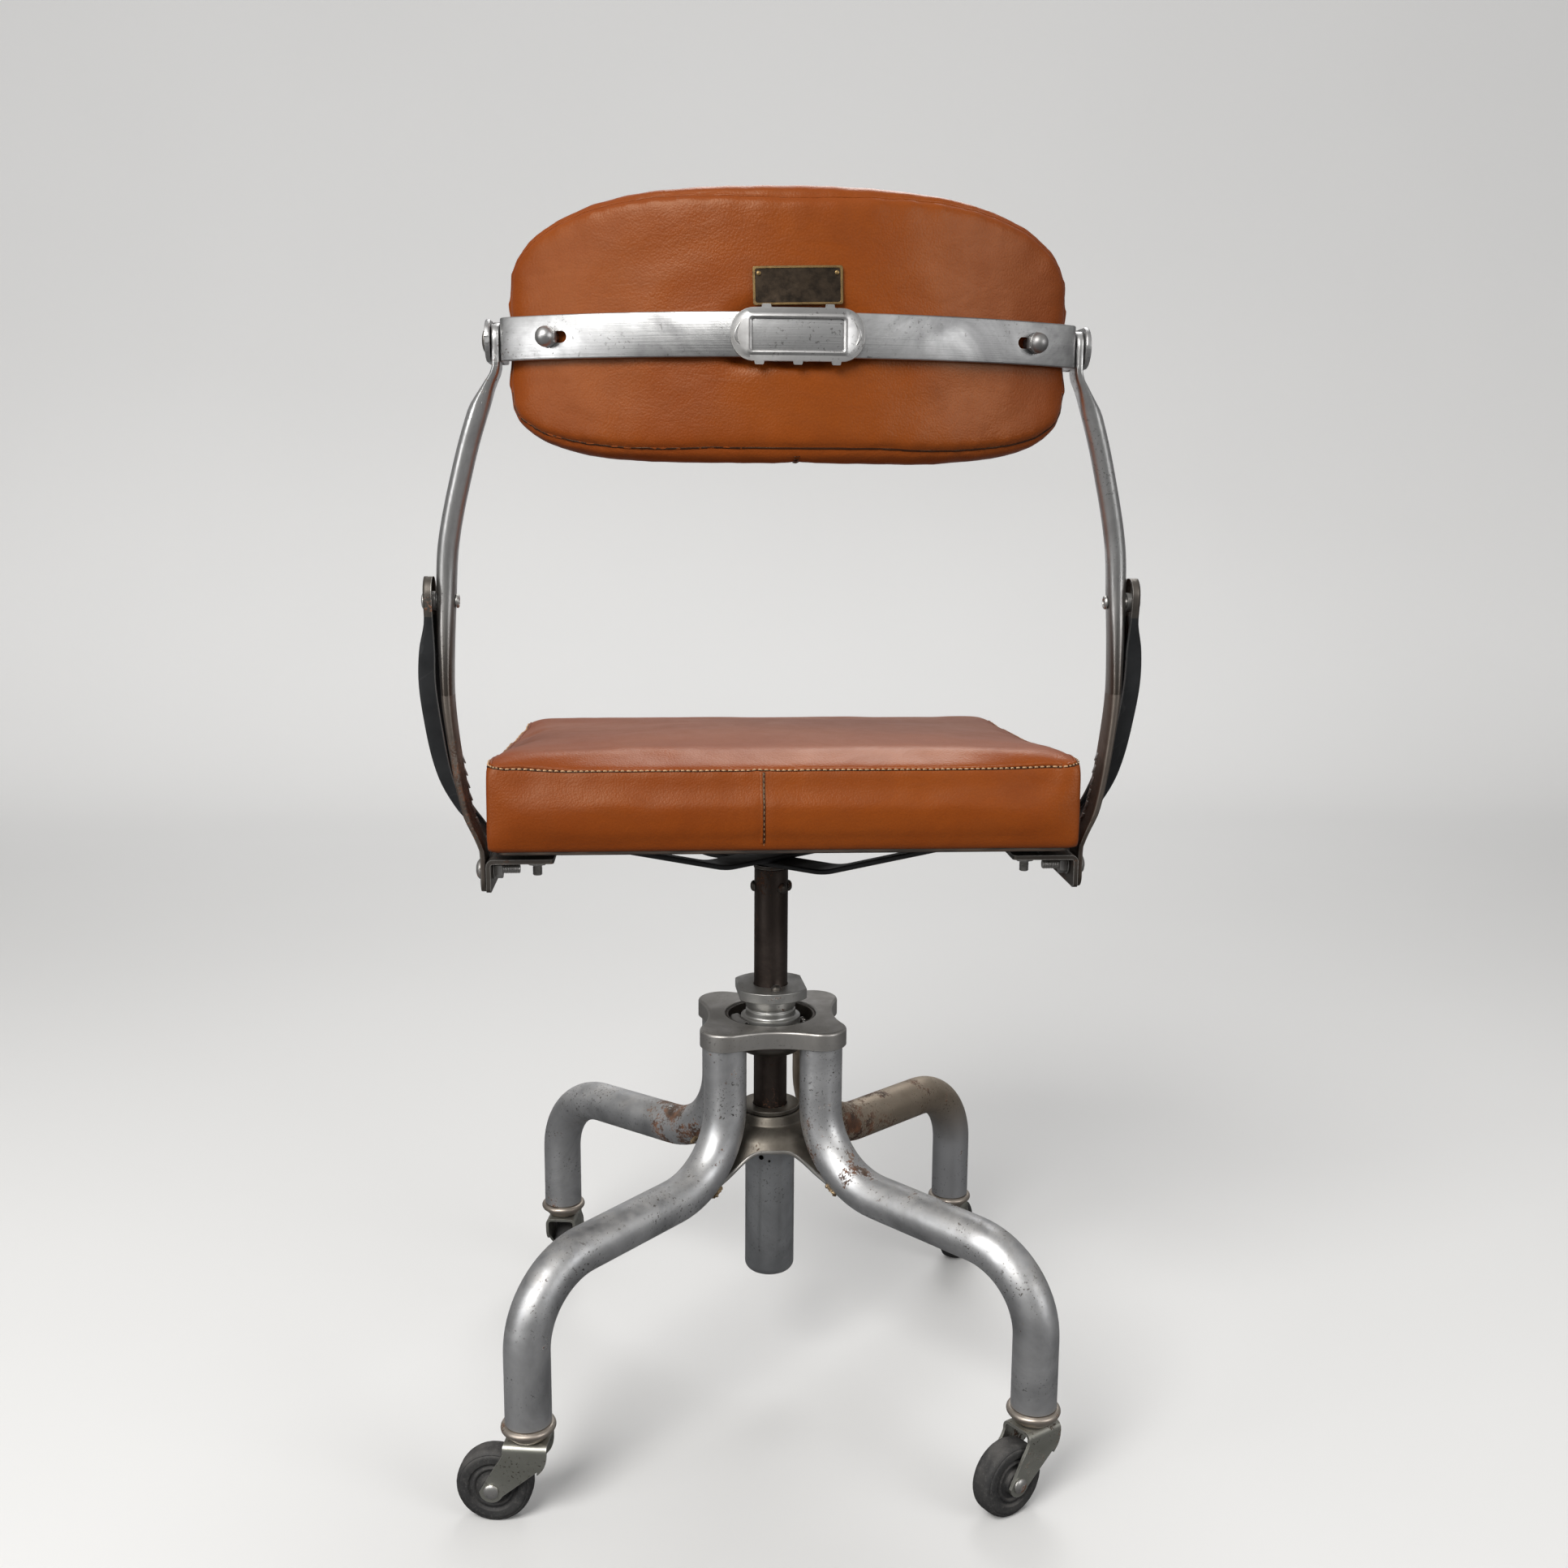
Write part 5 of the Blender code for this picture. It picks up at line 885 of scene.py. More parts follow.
def joined(*parts):
    """Several bmeshes in one."""
    whole = parts[0]
    for part in parts[1:]:
        carried = bpy.data.meshes.new("carried")
        part.to_mesh(carried)
        part.free()
        whole.from_mesh(carried)
        bpy.data.meshes.remove(carried)
    return whole


def threaded(radius, length, pitch=0.0011, steps=24):
    """Bolt end: close rings with a small crest and root, and a chamfered tip."""
    profile = [(0, 0), (radius, 0)]
    z = 0.0004
    while z + pitch < length - 0.0008:
        profile += [(radius, z), (radius - 0.0004, z + pitch * 0.5)]
        z += pitch
    profile += [(radius, z), (radius - 0.0006, length), (0, length)]
    return lathe(profile, steps, closed=False)


# Base

def make_legs():
    """Tubes with two bends and an open socket at the foot."""
    line = bent_line(
        [(LEG_TOP_REACH, 0, LEG_TOP_Z), (LEG_TOP_REACH, 0, LEG_KNEE_Z),
         (LEG_FOOT_REACH, 0, LEG_ANKLE_Z), (LEG_FOOT_REACH, 0, LEG_FOOT_Z)],
        [KNEE_BEND, ANKLE_BEND], [18, 18])
    dense = [line[0]]
    for a, b in zip(line, line[1:]):
        count = max(1, int((b - a).length / 0.008))
        dense += [a.lerp(b, k / count) for k in range(1, count + 1)]
    across = Vector((0, 1, 0))
    rings = [oval(point, across, across.cross(heading(dense, i)), LEG_RADIUS, LEG_RADIUS, 48)
             for i, point in enumerate(dense)]
    end = rings[-1]
    middle = dense[-1]
    for radius, rise in ((LEG_RADIUS - 0.0006, 0.0), (SOCKET_BORE + 0.0002, 0.0), (SOCKET_BORE, 0.0005),
                         (SOCKET_BORE, 0.028)):
        rings.append([middle + (p - middle) * (radius / LEG_RADIUS) + Vector((0, 0, rise)) for p in end])
    rings[-5] = [p + Vector((0, 0, 0.0006)) for p in end]
    for corner, angle in CORNERS.items():
        made = turned(lofted(rings), Matrix.Rotation(radians(angle), 4, "Z"))
        finish_piece(corner + "_leg_tube", made, LEG_STEEL[corner], "base", [corner + "_leg"])


def cap_outline(inset, count):
    """Four lobes round the leg tops joined by hollow sides."""
    lobe = LEG_RADIUS + CAP_CLEARANCE + CAP_SKIN
    centre = LEG_TOP_REACH / sqrt(2)
    gap = CAP_WAIST - centre
    hollow = (centre ** 2 + gap ** 2 - lobe ** 2) / (2 * (lobe - gap))
    swing = atan2(centre, CAP_WAIST + hollow - centre)
    points = []
    for turn in range(4):
        facing = turn * pi / 2
        out = Vector((cos(facing), sin(facing)))
        side = Vector((-sin(facing), cos(facing)))
        for k in range(-count, count):
            angle = swing * k / count
            spot = out * (CAP_WAIST + hollow - (hollow + inset) * cos(angle))
            points.append(spot + side * (hollow + inset) * sin(angle))
        middle = (out + side) * centre
        for k in range(2 * count):
            angle = facing - swing + (pi / 2 + 2 * swing) * k / (2 * count)
            points.append(middle + Vector((cos(angle), sin(angle))) * (lobe - inset))
    return points


def make_cap():
    """Pressed cap: rolled rim round the hole, soft shoulder, turned-down skirt."""
    count = 12
    stack = []

    def hole_ring(radius, z):
        stack.append([(radius * p.normalized().x, radius * p.normalized().y, z) for p in cap_outline(0, count)])

    def rim_ring(inset, z):
        stack.append([(p.x, p.y, z) for p in cap_outline(inset, count)])

    hole_ring(CAP_HOLE, CAP_TOP_Z - CAP_SKIN - 0.0010)
    for c, s in quarter(5):
        hole_ring(CAP_HOLE + 0.0012 * c, CAP_TOP_Z - 0.0012 * s)
    hole_ring(CAP_HOLE + 0.0030, CAP_TOP_Z)
    for c, s in quarter(6):
        rim_ring(CAP_ROUND * s, CAP_TOP_Z - CAP_ROUND * c)
    rim_ring(0.0, CAP_SKIRT_Z + 0.0040)
    rim_ring(0.0, CAP_SKIRT_Z + 0.0005)
    rim_ring(0.0005, CAP_SKIRT_Z)
    rim_ring(CAP_SKIN - 0.0003, CAP_SKIRT_Z)
    rim_ring(CAP_SKIN, CAP_SKIRT_Z + 0.0004)
    rim_ring(CAP_SKIN, CAP_TOP_Z - CAP_SKIN - 0.0012)
    rim_ring(CAP_SKIN + 0.0012, CAP_TOP_Z - CAP_SKIN)
    hole_ring(CAP_HOLE + 0.0030, CAP_TOP_Z - CAP_SKIN)
    stack.append(stack[0])
    finish_piece("pressed_cap", lofted(stack, capped=False), CAP_STEEL, "base", ["top_cap"])


def make_bearing():
    """Cup in the cap, the nut that turns in it and the balls between them."""
    inner = CUP_RADIUS - CUP_WALL
    profile = rounded([
        (JOURNAL_RADIUS, CUP_FLOOR_Z), (inner, CUP_FLOOR_Z), (inner, CUP_RIM_Z), (CUP_RADIUS, CUP_RIM_Z),
        (CUP_RADIUS, CUP_FLOOR_Z - 0.0025), (CUP_HUB_RADIUS + 0.003, CUP_FLOOR_Z - 0.0025),
        (CUP_HUB_RADIUS, CUP_FLOOR_Z - 0.0045), (CUP_HUB_RADIUS, CUP_HUB_Z + 0.004),
        (CUP_HUB_RADIUS - 0.004, CUP_HUB_Z), (JOURNAL_RADIUS, CUP_HUB_Z)], 0.0009)
    finish_piece("bearing_bowl", lathe(profile, 72), DARK_STEEL, "base", ["bearing_cup"])
    hole = SPINDLE_RADIUS + 0.0002
    seat = CUP_FLOOR_Z + SEAM_GAP
    profile = rounded([
        (hole, 0.2810), (JOURNAL_RADIUS - 0.0002, 0.2810), (JOURNAL_RADIUS - 0.0002, seat),
        (NUT_FLANGE_RADIUS, seat), (NUT_FLANGE_RADIUS, NUT_FLANGE_TOP_Z), (NUT_RADIUS + 0.0006, NUT_FLANGE_TOP_Z),
        (NUT_RADIUS, NUT_FLANGE_TOP_Z + 0.0012), (NUT_RADIUS, 0.3035), (NUT_RADIUS - 0.0009, 0.3041),
        (NUT_RADIUS - 0.0009, 0.3052), (NUT_RADIUS, 0.3058), (NUT_RADIUS, NUT_TOP_Z), (hole, NUT_TOP_Z)], 0.0007)
    finish_piece("swivel_nut", lathe(profile, 72), NUT_STEEL, "swivel", ["collar_nut"])
    balls = bmesh.new()
    count, radius, race = 22, 0.0022, 0.0262
    for k in range(count):
        angle = 2 * pi * k / count
        ball = bmesh.new()
        bmesh.ops.create_uvsphere(ball, u_segments=12, v_segments=8, radius=radius)
        bmesh.ops.translate(ball, verts=ball.verts, vec=(race * cos(angle), race * sin(angle), seat + radius))
        balls = joined(balls, ball)
    finish_piece("bearing_balls", balls, BRIGHT_STEEL, "base")


def make_clip():
    """Bent leaf with a curled lip on the cup floor."""
    low = CUP_FLOOR_Z + SEAM_GAP
    skin = 0.0009
    inner, outer = NUT_FLANGE_RADIUS + 0.0006, CUP_RADIUS - CUP_WALL - 0.0022
    strip = bent_line([(outer, 0, low), (outer, 0, low + 0.0072), (inner + 0.0022, 0, low + 0.0086),
                       (inner, 0, low + 0.0066)], [0.0016, 0.0012], [5, 5])
    rings = []
    for k in range(13):
        angle = radians(168 + 54 * k / 12)
        out = Vector((cos(angle), sin(angle), 0))
        face, back = [], []
        for i, p in enumerate(strip):
            ahead = heading(strip, i)
            behind = p - Vector((-ahead.z, 0, ahead.x)) * skin if p.z > low + 0.0005 else p + Vector((-skin, 0, 0))
            for side, q in ((face, p), (back, behind)):
                side.append(out * q.x + Vector((0, 0, q.z)))
        rings.append(face + back[::-1])
    finish_piece("drag_leaf", lofted(rings), BOLT_STEEL, "base", ["spring_clip"], bevel=0.0002)


def make_clamp():
    """Round plate with two flats, locked by a domed screw that stands in its top."""
    low = NUT_TOP_Z + SEAM_GAP
    edge = asin(CLAMP_FLAT / CLAMP_RADIUS)
    outline = []
    for facing in (0, pi):
        outline += [(CLAMP_RADIUS * cos(facing + edge * k / 20), CLAMP_RADIUS * sin(facing + edge * k / 20))
                    for k in range(-20, 21)]
    made = turned(slab(outline, low, low + CLAMP_HEIGHT), Matrix.Rotation(CLAMP_TURN, 4, "Z"))
    plate = finish_piece("clamp_ring", made, NUT_STEEL, "swivel", ["clamp_plate"])
    spot = Vector((CLAMP_SCREW_REACH * sin(CLAMP_SCREW_HEADING), -CLAMP_SCREW_REACH * cos(CLAMP_SCREW_HEADING),
                   low + CLAMP_HEIGHT))
    cut_with(plate, [shaft((0, 0, low - 0.01), (0, 0, low + 0.02), SPINDLE_RADIUS + 0.0003, 64),
                     shaft(spot - Vector((0, 0, 0.0062)), spot + Vector((0, 0, 0.01)), 0.0020, 20)])
    soft_edges(plate, 0.0009, 3, 50.0)
    head = lathe([(0, 0.0), (0.0016, 0.0002), (0.0029, 0.0010), (0.0037, 0.0022), (0.0040, 0.0036), (0.0039, 0.0042),
                  (0.0018, 0.0043), (0.0018, 0.0116), (0, 0.0116)], 28, closed=False)
    crown = spot + Vector((0, 0, SEAM_GAP + 0.0042))
    turned(head, along(crown, spot))
    screw = finish_piece("lock_screw", head, DARK_STEEL, "swivel", ["clamp_screw"])
    slot = bmesh.new()
    bmesh.ops.create_cube(slot, size=1.0)
    bmesh.ops.scale(slot, verts=slot.verts, vec=(0.0100, 0.0010, 0.0016))
    turned(slot, Matrix.Translation(crown) @ Matrix.Rotation(radians(35), 4, "Z"))
    cut_with(screw, [slot])


def make_spindle():
    """Post, the hub that carries the irons, and the heads of the pin and the rivet across them."""
    profile = rounded([
        (0, SPINDLE_BOTTOM_Z), (SPINDLE_RADIUS, SPINDLE_BOTTOM_Z), (SPINDLE_RADIUS, SPINDLE_TOP_Z),
        (0.0101, SPINDLE_TOP_Z), (0.0101, SPINDLE_TOP_Z - 0.030), (0, SPINDLE_TOP_Z - 0.030)], 0.0006)
    finish_piece("post", lathe(profile, 64, closed=False), SPINDLE_STEEL, "seat", ["spindle"])
    seat = SPINDLE_TOP_Z + SEAM_GAP
    top = IRON_LOW_Z - SEAM_GAP
    profile = rounded([(0, 0.3854), (0.0098, 0.3854), (0.0098, seat), (SPINDLE_RADIUS + 0.0006, seat),
                       (SPINDLE_RADIUS + 0.0006, top), (0, top)], 0.0004)
    finish_piece("irons_hub", lathe(profile, 64, closed=False), DARK_STEEL, "seat", ["seat_hub"])
    head = [(0, -0.0026), (0.0016, -0.0025), (0.0030, -0.0019), (0.0040, -0.0008), (0.0042, 0.0),
            (0.0042, 0.0006), (0.0025, 0.0008)]
    reach = SPINDLE_RADIUS + 0.0004
    ends = [turned(lathe(head + [(0.0025, 0.009), (0, 0.009)], 28, closed=False),
                   along((side * reach, 0, PIN_Z), (0, 0, PIN_Z))) for side in (-1, 1)]
    finish_piece("cross_pin_heads", joined(*ends), DARK_STEEL, "seat", ["cross_pin"])
    away = Vector((cos(radians(-52)), sin(radians(-52)), 0))
    spot = away * reach + Vector((0, 0, PIN_Z))
    made = turned(lathe(head + [(0.0025, 0.006), (0, 0.006)], 28, closed=False), along(spot, (0, 0, PIN_Z)))
    finish_piece("hub_rivet_head", made, DARK_STEEL, "seat", ["hub_rivet"])


def knee_centre():
    """Reach and height of the point that the upper bend of a leg turns round."""
    slope = atan2(LEG_KNEE_Z - LEG_ANKLE_Z, LEG_FOOT_REACH - LEG_TOP_REACH)
    return LEG_TOP_REACH + KNEE_BEND, LEG_KNEE_Z + KNEE_BEND * (1 - sin(slope)) / cos(slope)


def make_web():
    """Stepped cone whose arms run down the insides of the leg bends."""
    reach = KNEE_BEND + LEG_RADIUS + SEAM_GAP + WEB_SKIN
    centre_r, centre_z = knee_centre()
    crown = rounded([(SPINDLE_RADIUS + 0.0006, WEB_TOP_Z), (0.0238, WEB_TOP_Z), (0.0262, WEB_TOP_Z - 0.0070),
                     (0.0312, WEB_TOP_Z - 0.0085)], 0.0012)
    crown = [(SPINDLE_RADIUS + 0.0006, WEB_TOP_Z)] + crown[4:-4] + [(0.0312, WEB_TOP_Z - 0.0085)]
    arm = [(centre_r - reach * cos(radians(a)), centre_z - reach * sin(radians(a)) + WEB_SKIN)
           for a in (25, 29, 34, 38.5, 43, 47, 51, 55, 59)]
    spokes = 160
    upper, lower = [], []
    for k in range(len(crown) + len(arm)):
        ring_up, ring_down = [], []
        for s in range(spokes):
            angle = 2 * pi * s / spokes
            near_leg = abs(((angle + pi / 2) % (pi / 2)) - pi / 4) / (pi / 4)
            spread = (1.0 - near_leg) ** WEB_ARCH_POWER
            if k < len(crown):
                r, z = crown[k]
            else:
                share = (k - len(crown)) / (len(arm) - 1)
                place = share * (WEB_ARCH_DEPTH + (1 - WEB_ARCH_DEPTH) * spread) * (len(arm) - 1)
                i = min(int(place), len(arm) - 2)
                part = place - i
                r = arm[i][0] + (arm[i + 1][0] - arm[i][0]) * part
                z = arm[i][1] + (arm[i + 1][1] - arm[i][1]) * part
            ring_up.append((r * cos(angle), r * sin(angle), z))
            ring_down.append((r * cos(angle), r * sin(angle), z - WEB_SKIN))
        upper.append(ring_up)
        lower.append(ring_down)
    finish_piece("leg_web", lofted(upper + lower[::-1] + [upper[0]], capped=False), WEB_STEEL, "base",
                 ["lower_web"], bevel=0.0006)
    rim = [Vector(p) + Vector((0, 0, -WEB_SKIN * 0.5)) for p in upper[-1]]
    rings = []
    for i, here in enumerate(rim + rim[:1]):
        ahead = (rim[(i + 1) % spokes] - rim[i - 1]).normalized()
        out = Vector((here.x, here.y, 0)).normalized()
        side = ahead.cross(out).normalized()
        rings.append(oval(here, side.cross(ahead), side, 0.0013, 0.0015, 10))
    finish_piece("web_rolled_edge", lofted(rings, capped=False), RIM_STEEL, "base")


def make_barrel():
    """Washer on the web, and the closed barrel below it with two small holes."""
    low = WEB_TOP_Z + SEAM_GAP
    profile = rounded([(SPINDLE_RADIUS + 0.0004, low), (0.0225, low), (0.0225, low + 0.0032),
                       (SPINDLE_RADIUS + 0.0004, low + 0.0032)], 0.0007)
    finish_piece("web_washer", lathe(profile, 64), WEB_STEEL, "base", ["lower_washer"])
    inner = BARREL_RADIUS - 0.0025
    top = WEB_TOP_Z - WEB_SKIN - SEAM_GAP
    profile = [(0, BARREL_BOTTOM_Z)]
    profile += [(BARREL_RADIUS - 0.006 * s, BARREL_BOTTOM_Z + 0.006 * c) for c, s in quarter(8)]
    profile += [(BARREL_RADIUS, top), (inner, top), (inner, BARREL_BOTTOM_Z + 0.0045),
                (inner - 0.002, BARREL_BOTTOM_Z + 0.0025), (0, BARREL_BOTTOM_Z + 0.0025)]
    barrel = finish_piece("foot_barrel", lathe(profile, 64, closed=False), BARREL_STEEL, "base", ["barrel"])
    cut_with(barrel, [shaft((-0.0075, -0.030, 0.1895), (-0.0075, -0.010, 0.1895), 0.0019, 20),
                      shaft((-0.0015, -0.030, 0.1870), (-0.0015, -0.010, 0.1870), 0.0010, 16)])


def make_braze():
    """Lumpy bronze fillets where the web's arms meet the legs."""
    centre_r, centre_z = knee_centre()
    whole = bmesh.new()
    for number, angle in enumerate(CORNERS.values()):
        for side in (-1, 1):
            for k in range(5, 10):
                turn = radians(47 + 1.5 * k)
                swing = side * radians(58 - 2.2 * k)
                inward = Vector((-cos(turn), 0, -sin(turn)))
                middle = Vector((centre_r, 0, centre_z)) + inward * KNEE_BEND
                spot = middle + (inward * cos(swing) + Vector((0, 1, 0)) * sin(swing)) * (LEG_RADIUS + 0.0003)
                blob = bmesh.new()
                bmesh.ops.create_icosphere(blob, subdivisions=3, radius=1.0)
                for vert in blob.verts:
                    vert.co *= 1.0 + 0.40 * noise.noise(vert.co * 1.8 + Vector((number * 3.1 + side, k * 1.9, 0)))
                size = 0.0017 + 0.0006 * noise.noise(Vector((k * 0.7, number * 5.0, side)))
                bmesh.ops.scale(blob, verts=blob.verts, vec=(size, size * 1.2, size))
                turned(blob, Matrix.Rotation(radians(angle), 4, "Z") @ Matrix.Translation(spot))
                whole = joined(whole, blob)
    finish_piece("braze_fillets", whole, BRAZE, "base")


# Casters

def caster_frame(corner):
    """Matrix of a caster: on its swivel axis, turned to its heading."""
    spot = corner_point(corner, LEG_FOOT_REACH, 0)
    return Matrix.Translation(spot) @ Matrix.Rotation(radians(HEADINGS[corner]), 4, "Z")


def make_ferrule(corner):
    """Sleeve with a fat rolled bead below the leg end, and the race ring of the caster."""
    sleeve = SOCKET_BORE - SEAM_GAP
    top = LEG_FOOT_Z - SEAM_GAP
    bead = [(LEG_RADIUS + 0.0004 + 0.0024 * cos(radians(a)), top - 0.0026 + 0.0026 * sin(radians(a)))
            for a in range(-100, 101, 20)]
    profile = [(0.0058, FORK_TOP_Z + 0.0008), (0.0118, FORK_TOP_Z + 0.0008), (0.0134, FORK_TOP_Z + 0.0022),
               (0.0146, top - 0.0075), (LEG_RADIUS - 0.0006, top - 0.0058)] + bead
    profile += [(LEG_RADIUS - 0.0006, top), (sleeve, top), (sleeve, top + 0.024), (0.0058, top + 0.024)]
    made = turned(lathe(profile, 56), Matrix.Translation(corner_point(corner, LEG_FOOT_REACH, 0)))
    finish_piece(corner + "_bead_ring", made, FERRULE_NICKEL, "base", [corner + "_ferrule"])


def make_fork(corner):
    """Pressed fork: rolled shoulders, dropped cheeks that narrow to the axle, swivel stem."""
    low, high = AXLE_Z - 0.010, FORK_TOP_Z
    outer = [(-FORK_HALF_WIDTH, low)]
    outer += [(-FORK_HALF_WIDTH + 0.0045 * c, high - 0.0045 * s) for c, s in quarter(6)]
    outer += [(-y, z) for y, z in outer[::-1]]
    inner = [(FORK_HALF_WIDTH - FORK_SKIN, low)]
    inner += [(FORK_HALF_WIDTH - FORK_SKIN - 0.0025 * c, high - FORK_SKIN - 0.0025 * s) for c, s in quarter(6)]
    inner += [(-y, z) for y, z in inner[::-1]]
    section = turned(slab(outer + inner, -0.05, 0.05), facing_x())
    body = finish_piece(corner + "_caster_fork", section, NICKEL, corner + "_caster", [corner + "_fork"])
    axle = Vector((CASTER_TRAIL, AXLE_Z))
    drop = [(-FORK_HALF_REACH, high + 0.01), (-FORK_HALF_REACH, high - 0.0085), (-0.0132, high - 0.0150),
            (-0.0070, high - 0.0225)]
    drop += [(axle.x + 0.0082 * cos(radians(a)), axle.y + 0.0082 * sin(radians(a)))
             for a in (205 + 7.5 * k for k in range(21))]
    drop += [(0.0205, high - 0.0155), (0.0165, high - 0.0095), (FORK_HALF_REACH, high - 0.004),
             (FORK_HALF_REACH - 0.0005, high + 0.01)]
    drop = rounded(drop[:4], 0.005, 5) + drop[4:25] + rounded(drop[25:28], 0.003, 4) + drop[28:]
    cut_with(body, [turned(slab(drop, -0.03, 0.03), facing_y())], "INTERSECT")
    cut_with(body, [shaft((axle.x, -0.03, axle.y), (axle.x, 0.03, axle.y), AXLE_RADIUS + 0.0001, 28)])
    stem = shaft((0, 0, high - FORK_SKIN / 2), (0, 0, LEG_FOOT_Z + 0.018), 0.0055, 32)
    cut_with(body, [stem], "UNION")
    soft_edges(body, 0.0005, 2, 50.0)
    body.data.transform(caster_frame(corner))


def make_wheel(corner):
    """Solid rubber wheel: rounded tread, stepped rings and a steel bush in each side."""
    half = WHEEL_WIDTH / 2
    side = [(0.0046, half + 0.0009), (0.0078, half + 0.0009), (0.0084, half - 0.0003), (0.0088, half - 0.0016),
            (0.0118, half - 0.0020), (0.0126, half - 0.0008), (0.0140, half - 0.0006), (0.0147, half - 0.0018),
            (0.0163, half - 0.0018), (0.0172, half - 0.0002), (0.0214, half), (0.0226, half - 0.0004),
            (0.0232, half - 0.0012), (0.0236, half - 0.0010), (0.0252, half - 0.0022), (0.0259, half - 0.0040),
            (WHEEL_RADIUS - 0.0001, half - 0.0062)]
    profile = rounded(side, 0.0005, 2)[1:-1]
    profile = [(0.0036, half + 0.0009)] + profile + [(WHEEL_RADIUS, 0.0)]
    profile += [(r, -z) for r, z in profile[-2::-1]]
    made = lathe(profile, 96)
    for vert in [v for v in made.verts if hypot(v.co.x, v.co.y) > 0.0245]:
        angle = atan2(vert.co.y, vert.co.x)
        scuff = 0.00016 * noise.noise(Vector((cos(angle) * 9, sin(angle) * 9, vert.co.z * 400)))
        vert.co.x += scuff * cos(angle)
        vert.co.y += scuff * sin(angle)
    spot = caster_frame(corner) @ Vector((CASTER_TRAIL, 0, AXLE_Z))
    stand = Matrix.Translation(spot) @ Matrix.Rotation(radians(HEADINGS[corner]), 4, "Z")
    stand = stand @ Matrix.Rotation(pi / 2, 4, "X")
    turned(made, stand)
    for vert in made.verts:
        vert.co.z = max(vert.co.z, 0.0)
    finish_piece(corner + "_tyre", made, RUBBER, corner + "_roller", [corner + "_wheel"], sharp=50)
    bush = []
    for sign in (1, -1):
        ring = lathe(rounded([(AXLE_RADIUS + 0.0002, half - 0.002), (0.0058, half - 0.002), (0.0058, half + 0.0013),
                              (AXLE_RADIUS + 0.0002, half + 0.0013)], 0.0004), 32)
        if sign < 0:
            turned(ring, Matrix.Rotation(pi, 4, "X"))
        bush.append(ring)
    finish_piece(corner + "_wheel_bush", turned(joined(*bush), stand), DARK_STEEL, corner + "_roller")


def make_axle(corner):
    """Axle with one turned head and one riveted end."""
    frame_here = caster_frame(corner)
    reach = FORK_HALF_WIDTH + SEAM_GAP
    start = frame_here @ Vector((CASTER_TRAIL, -reach - 0.0022, AXLE_Z))
    end = frame_here @ Vector((CASTER_TRAIL, reach + 0.0022, AXLE_Z))
    span = 2 * reach + 0.0044
    profile = [(0, 0.0006), (0.0014, 0.0007), (0.0018, 0.0001), (0.0036, 0.0002), (0.0048, 0.0008), (0.0055, 0.0016),
               (0.0055, 0.0022), (AXLE_RADIUS, 0.0022), (AXLE_RADIUS, span - 0.0022), (0.0052, span - 0.0022),
               (0.0050, span - 0.0012), (0.0038, span - 0.0003), (0.0016, span), (0, span)]
    made = turned(lathe(profile, 36, closed=False), along(start, end))
    finish_piece(corner + "_axle_pin", made, BOLT_STEEL, corner + "_caster", [corner + "_axle"])


# Under the seat

def make_irons():
    """Crossed flat bars, dished down to the hub."""
    high_z = BOARD_BOTTOM_Z - SEAM_GAP - IRON_THICK
    swing = atan2(SEAT_BOLT_Y, SEAT_BOLT_X)
    for name, low_z, turn in (("lower_iron", IRON_LOW_Z, swing),
                              ("upper_iron", IRON_LOW_Z + IRON_THICK + SEAM_GAP, -swing)):
        half = [(0.0, low_z), (0.055, low_z), (0.178, high_z), (0.226, high_z)]
        line = bent_line([(x, 0, z) for x, z in half], [0.060, 0.060], [12, 12])
        line = [Vector((-p.x, 0, p.z)) for p in line[:0:-1]] + line
        span = IRON_WIDTH / 2
        corners = rounded([(-span, 0), (span, 0), (span, IRON_THICK), (-span, IRON_THICK)], 0.0016, 4)
        rings = []
        for i, point in enumerate(line):
            ahead = heading(line, i)
            up = Vector((-ahead.z, 0, ahead.x))
            rings.append([point + Vector((0, y, 0)) + up * h for y, h in corners])
        made = turned(lofted(rings), Matrix.Rotation(turn, 4, "Z"))
        finish_piece(name + "_bar", made, IRON_BLACK, "seat", [name], bevel=0.0005)


def seat_outline(inset, count):
    """Plan of the seat: small rear corners, large front corners."""
    half = SEAT_HALF_WIDTH - inset
    rear, front = SEAT_REAR_Y + inset, SEAT_FRONT_Y - inset
    small, large = max(SEAT_REAR_CORNER - inset, 0.003), max(SEAT_FRONT_CORNER - inset, 0.01)
    corners = [(half, rear, small, -90), (half, front, large, 0), (-half, front, large, 90),
               (-half, rear, small, 180)]
    points = []
    for x, y, radius, start in corners:
        centre = (x - radius if x > 0 else x + radius, y + radius if y < 0 else y - radius)
        for k in range(count + 1):
            angle = radians(start + 90 * k / count)
            points.append((centre[0] + radius * cos(angle), centre[1] + radius * sin(angle)))
    return points


def make_board():
    made = slab(seat_outline(0.0060, 14), BOARD_BOTTOM_Z, BOARD_BOTTOM_Z + BOARD_THICK)
    finish_piece("seat_base_board", made, BOARD, "seat", ["seat_board"], bevel=0.0010)


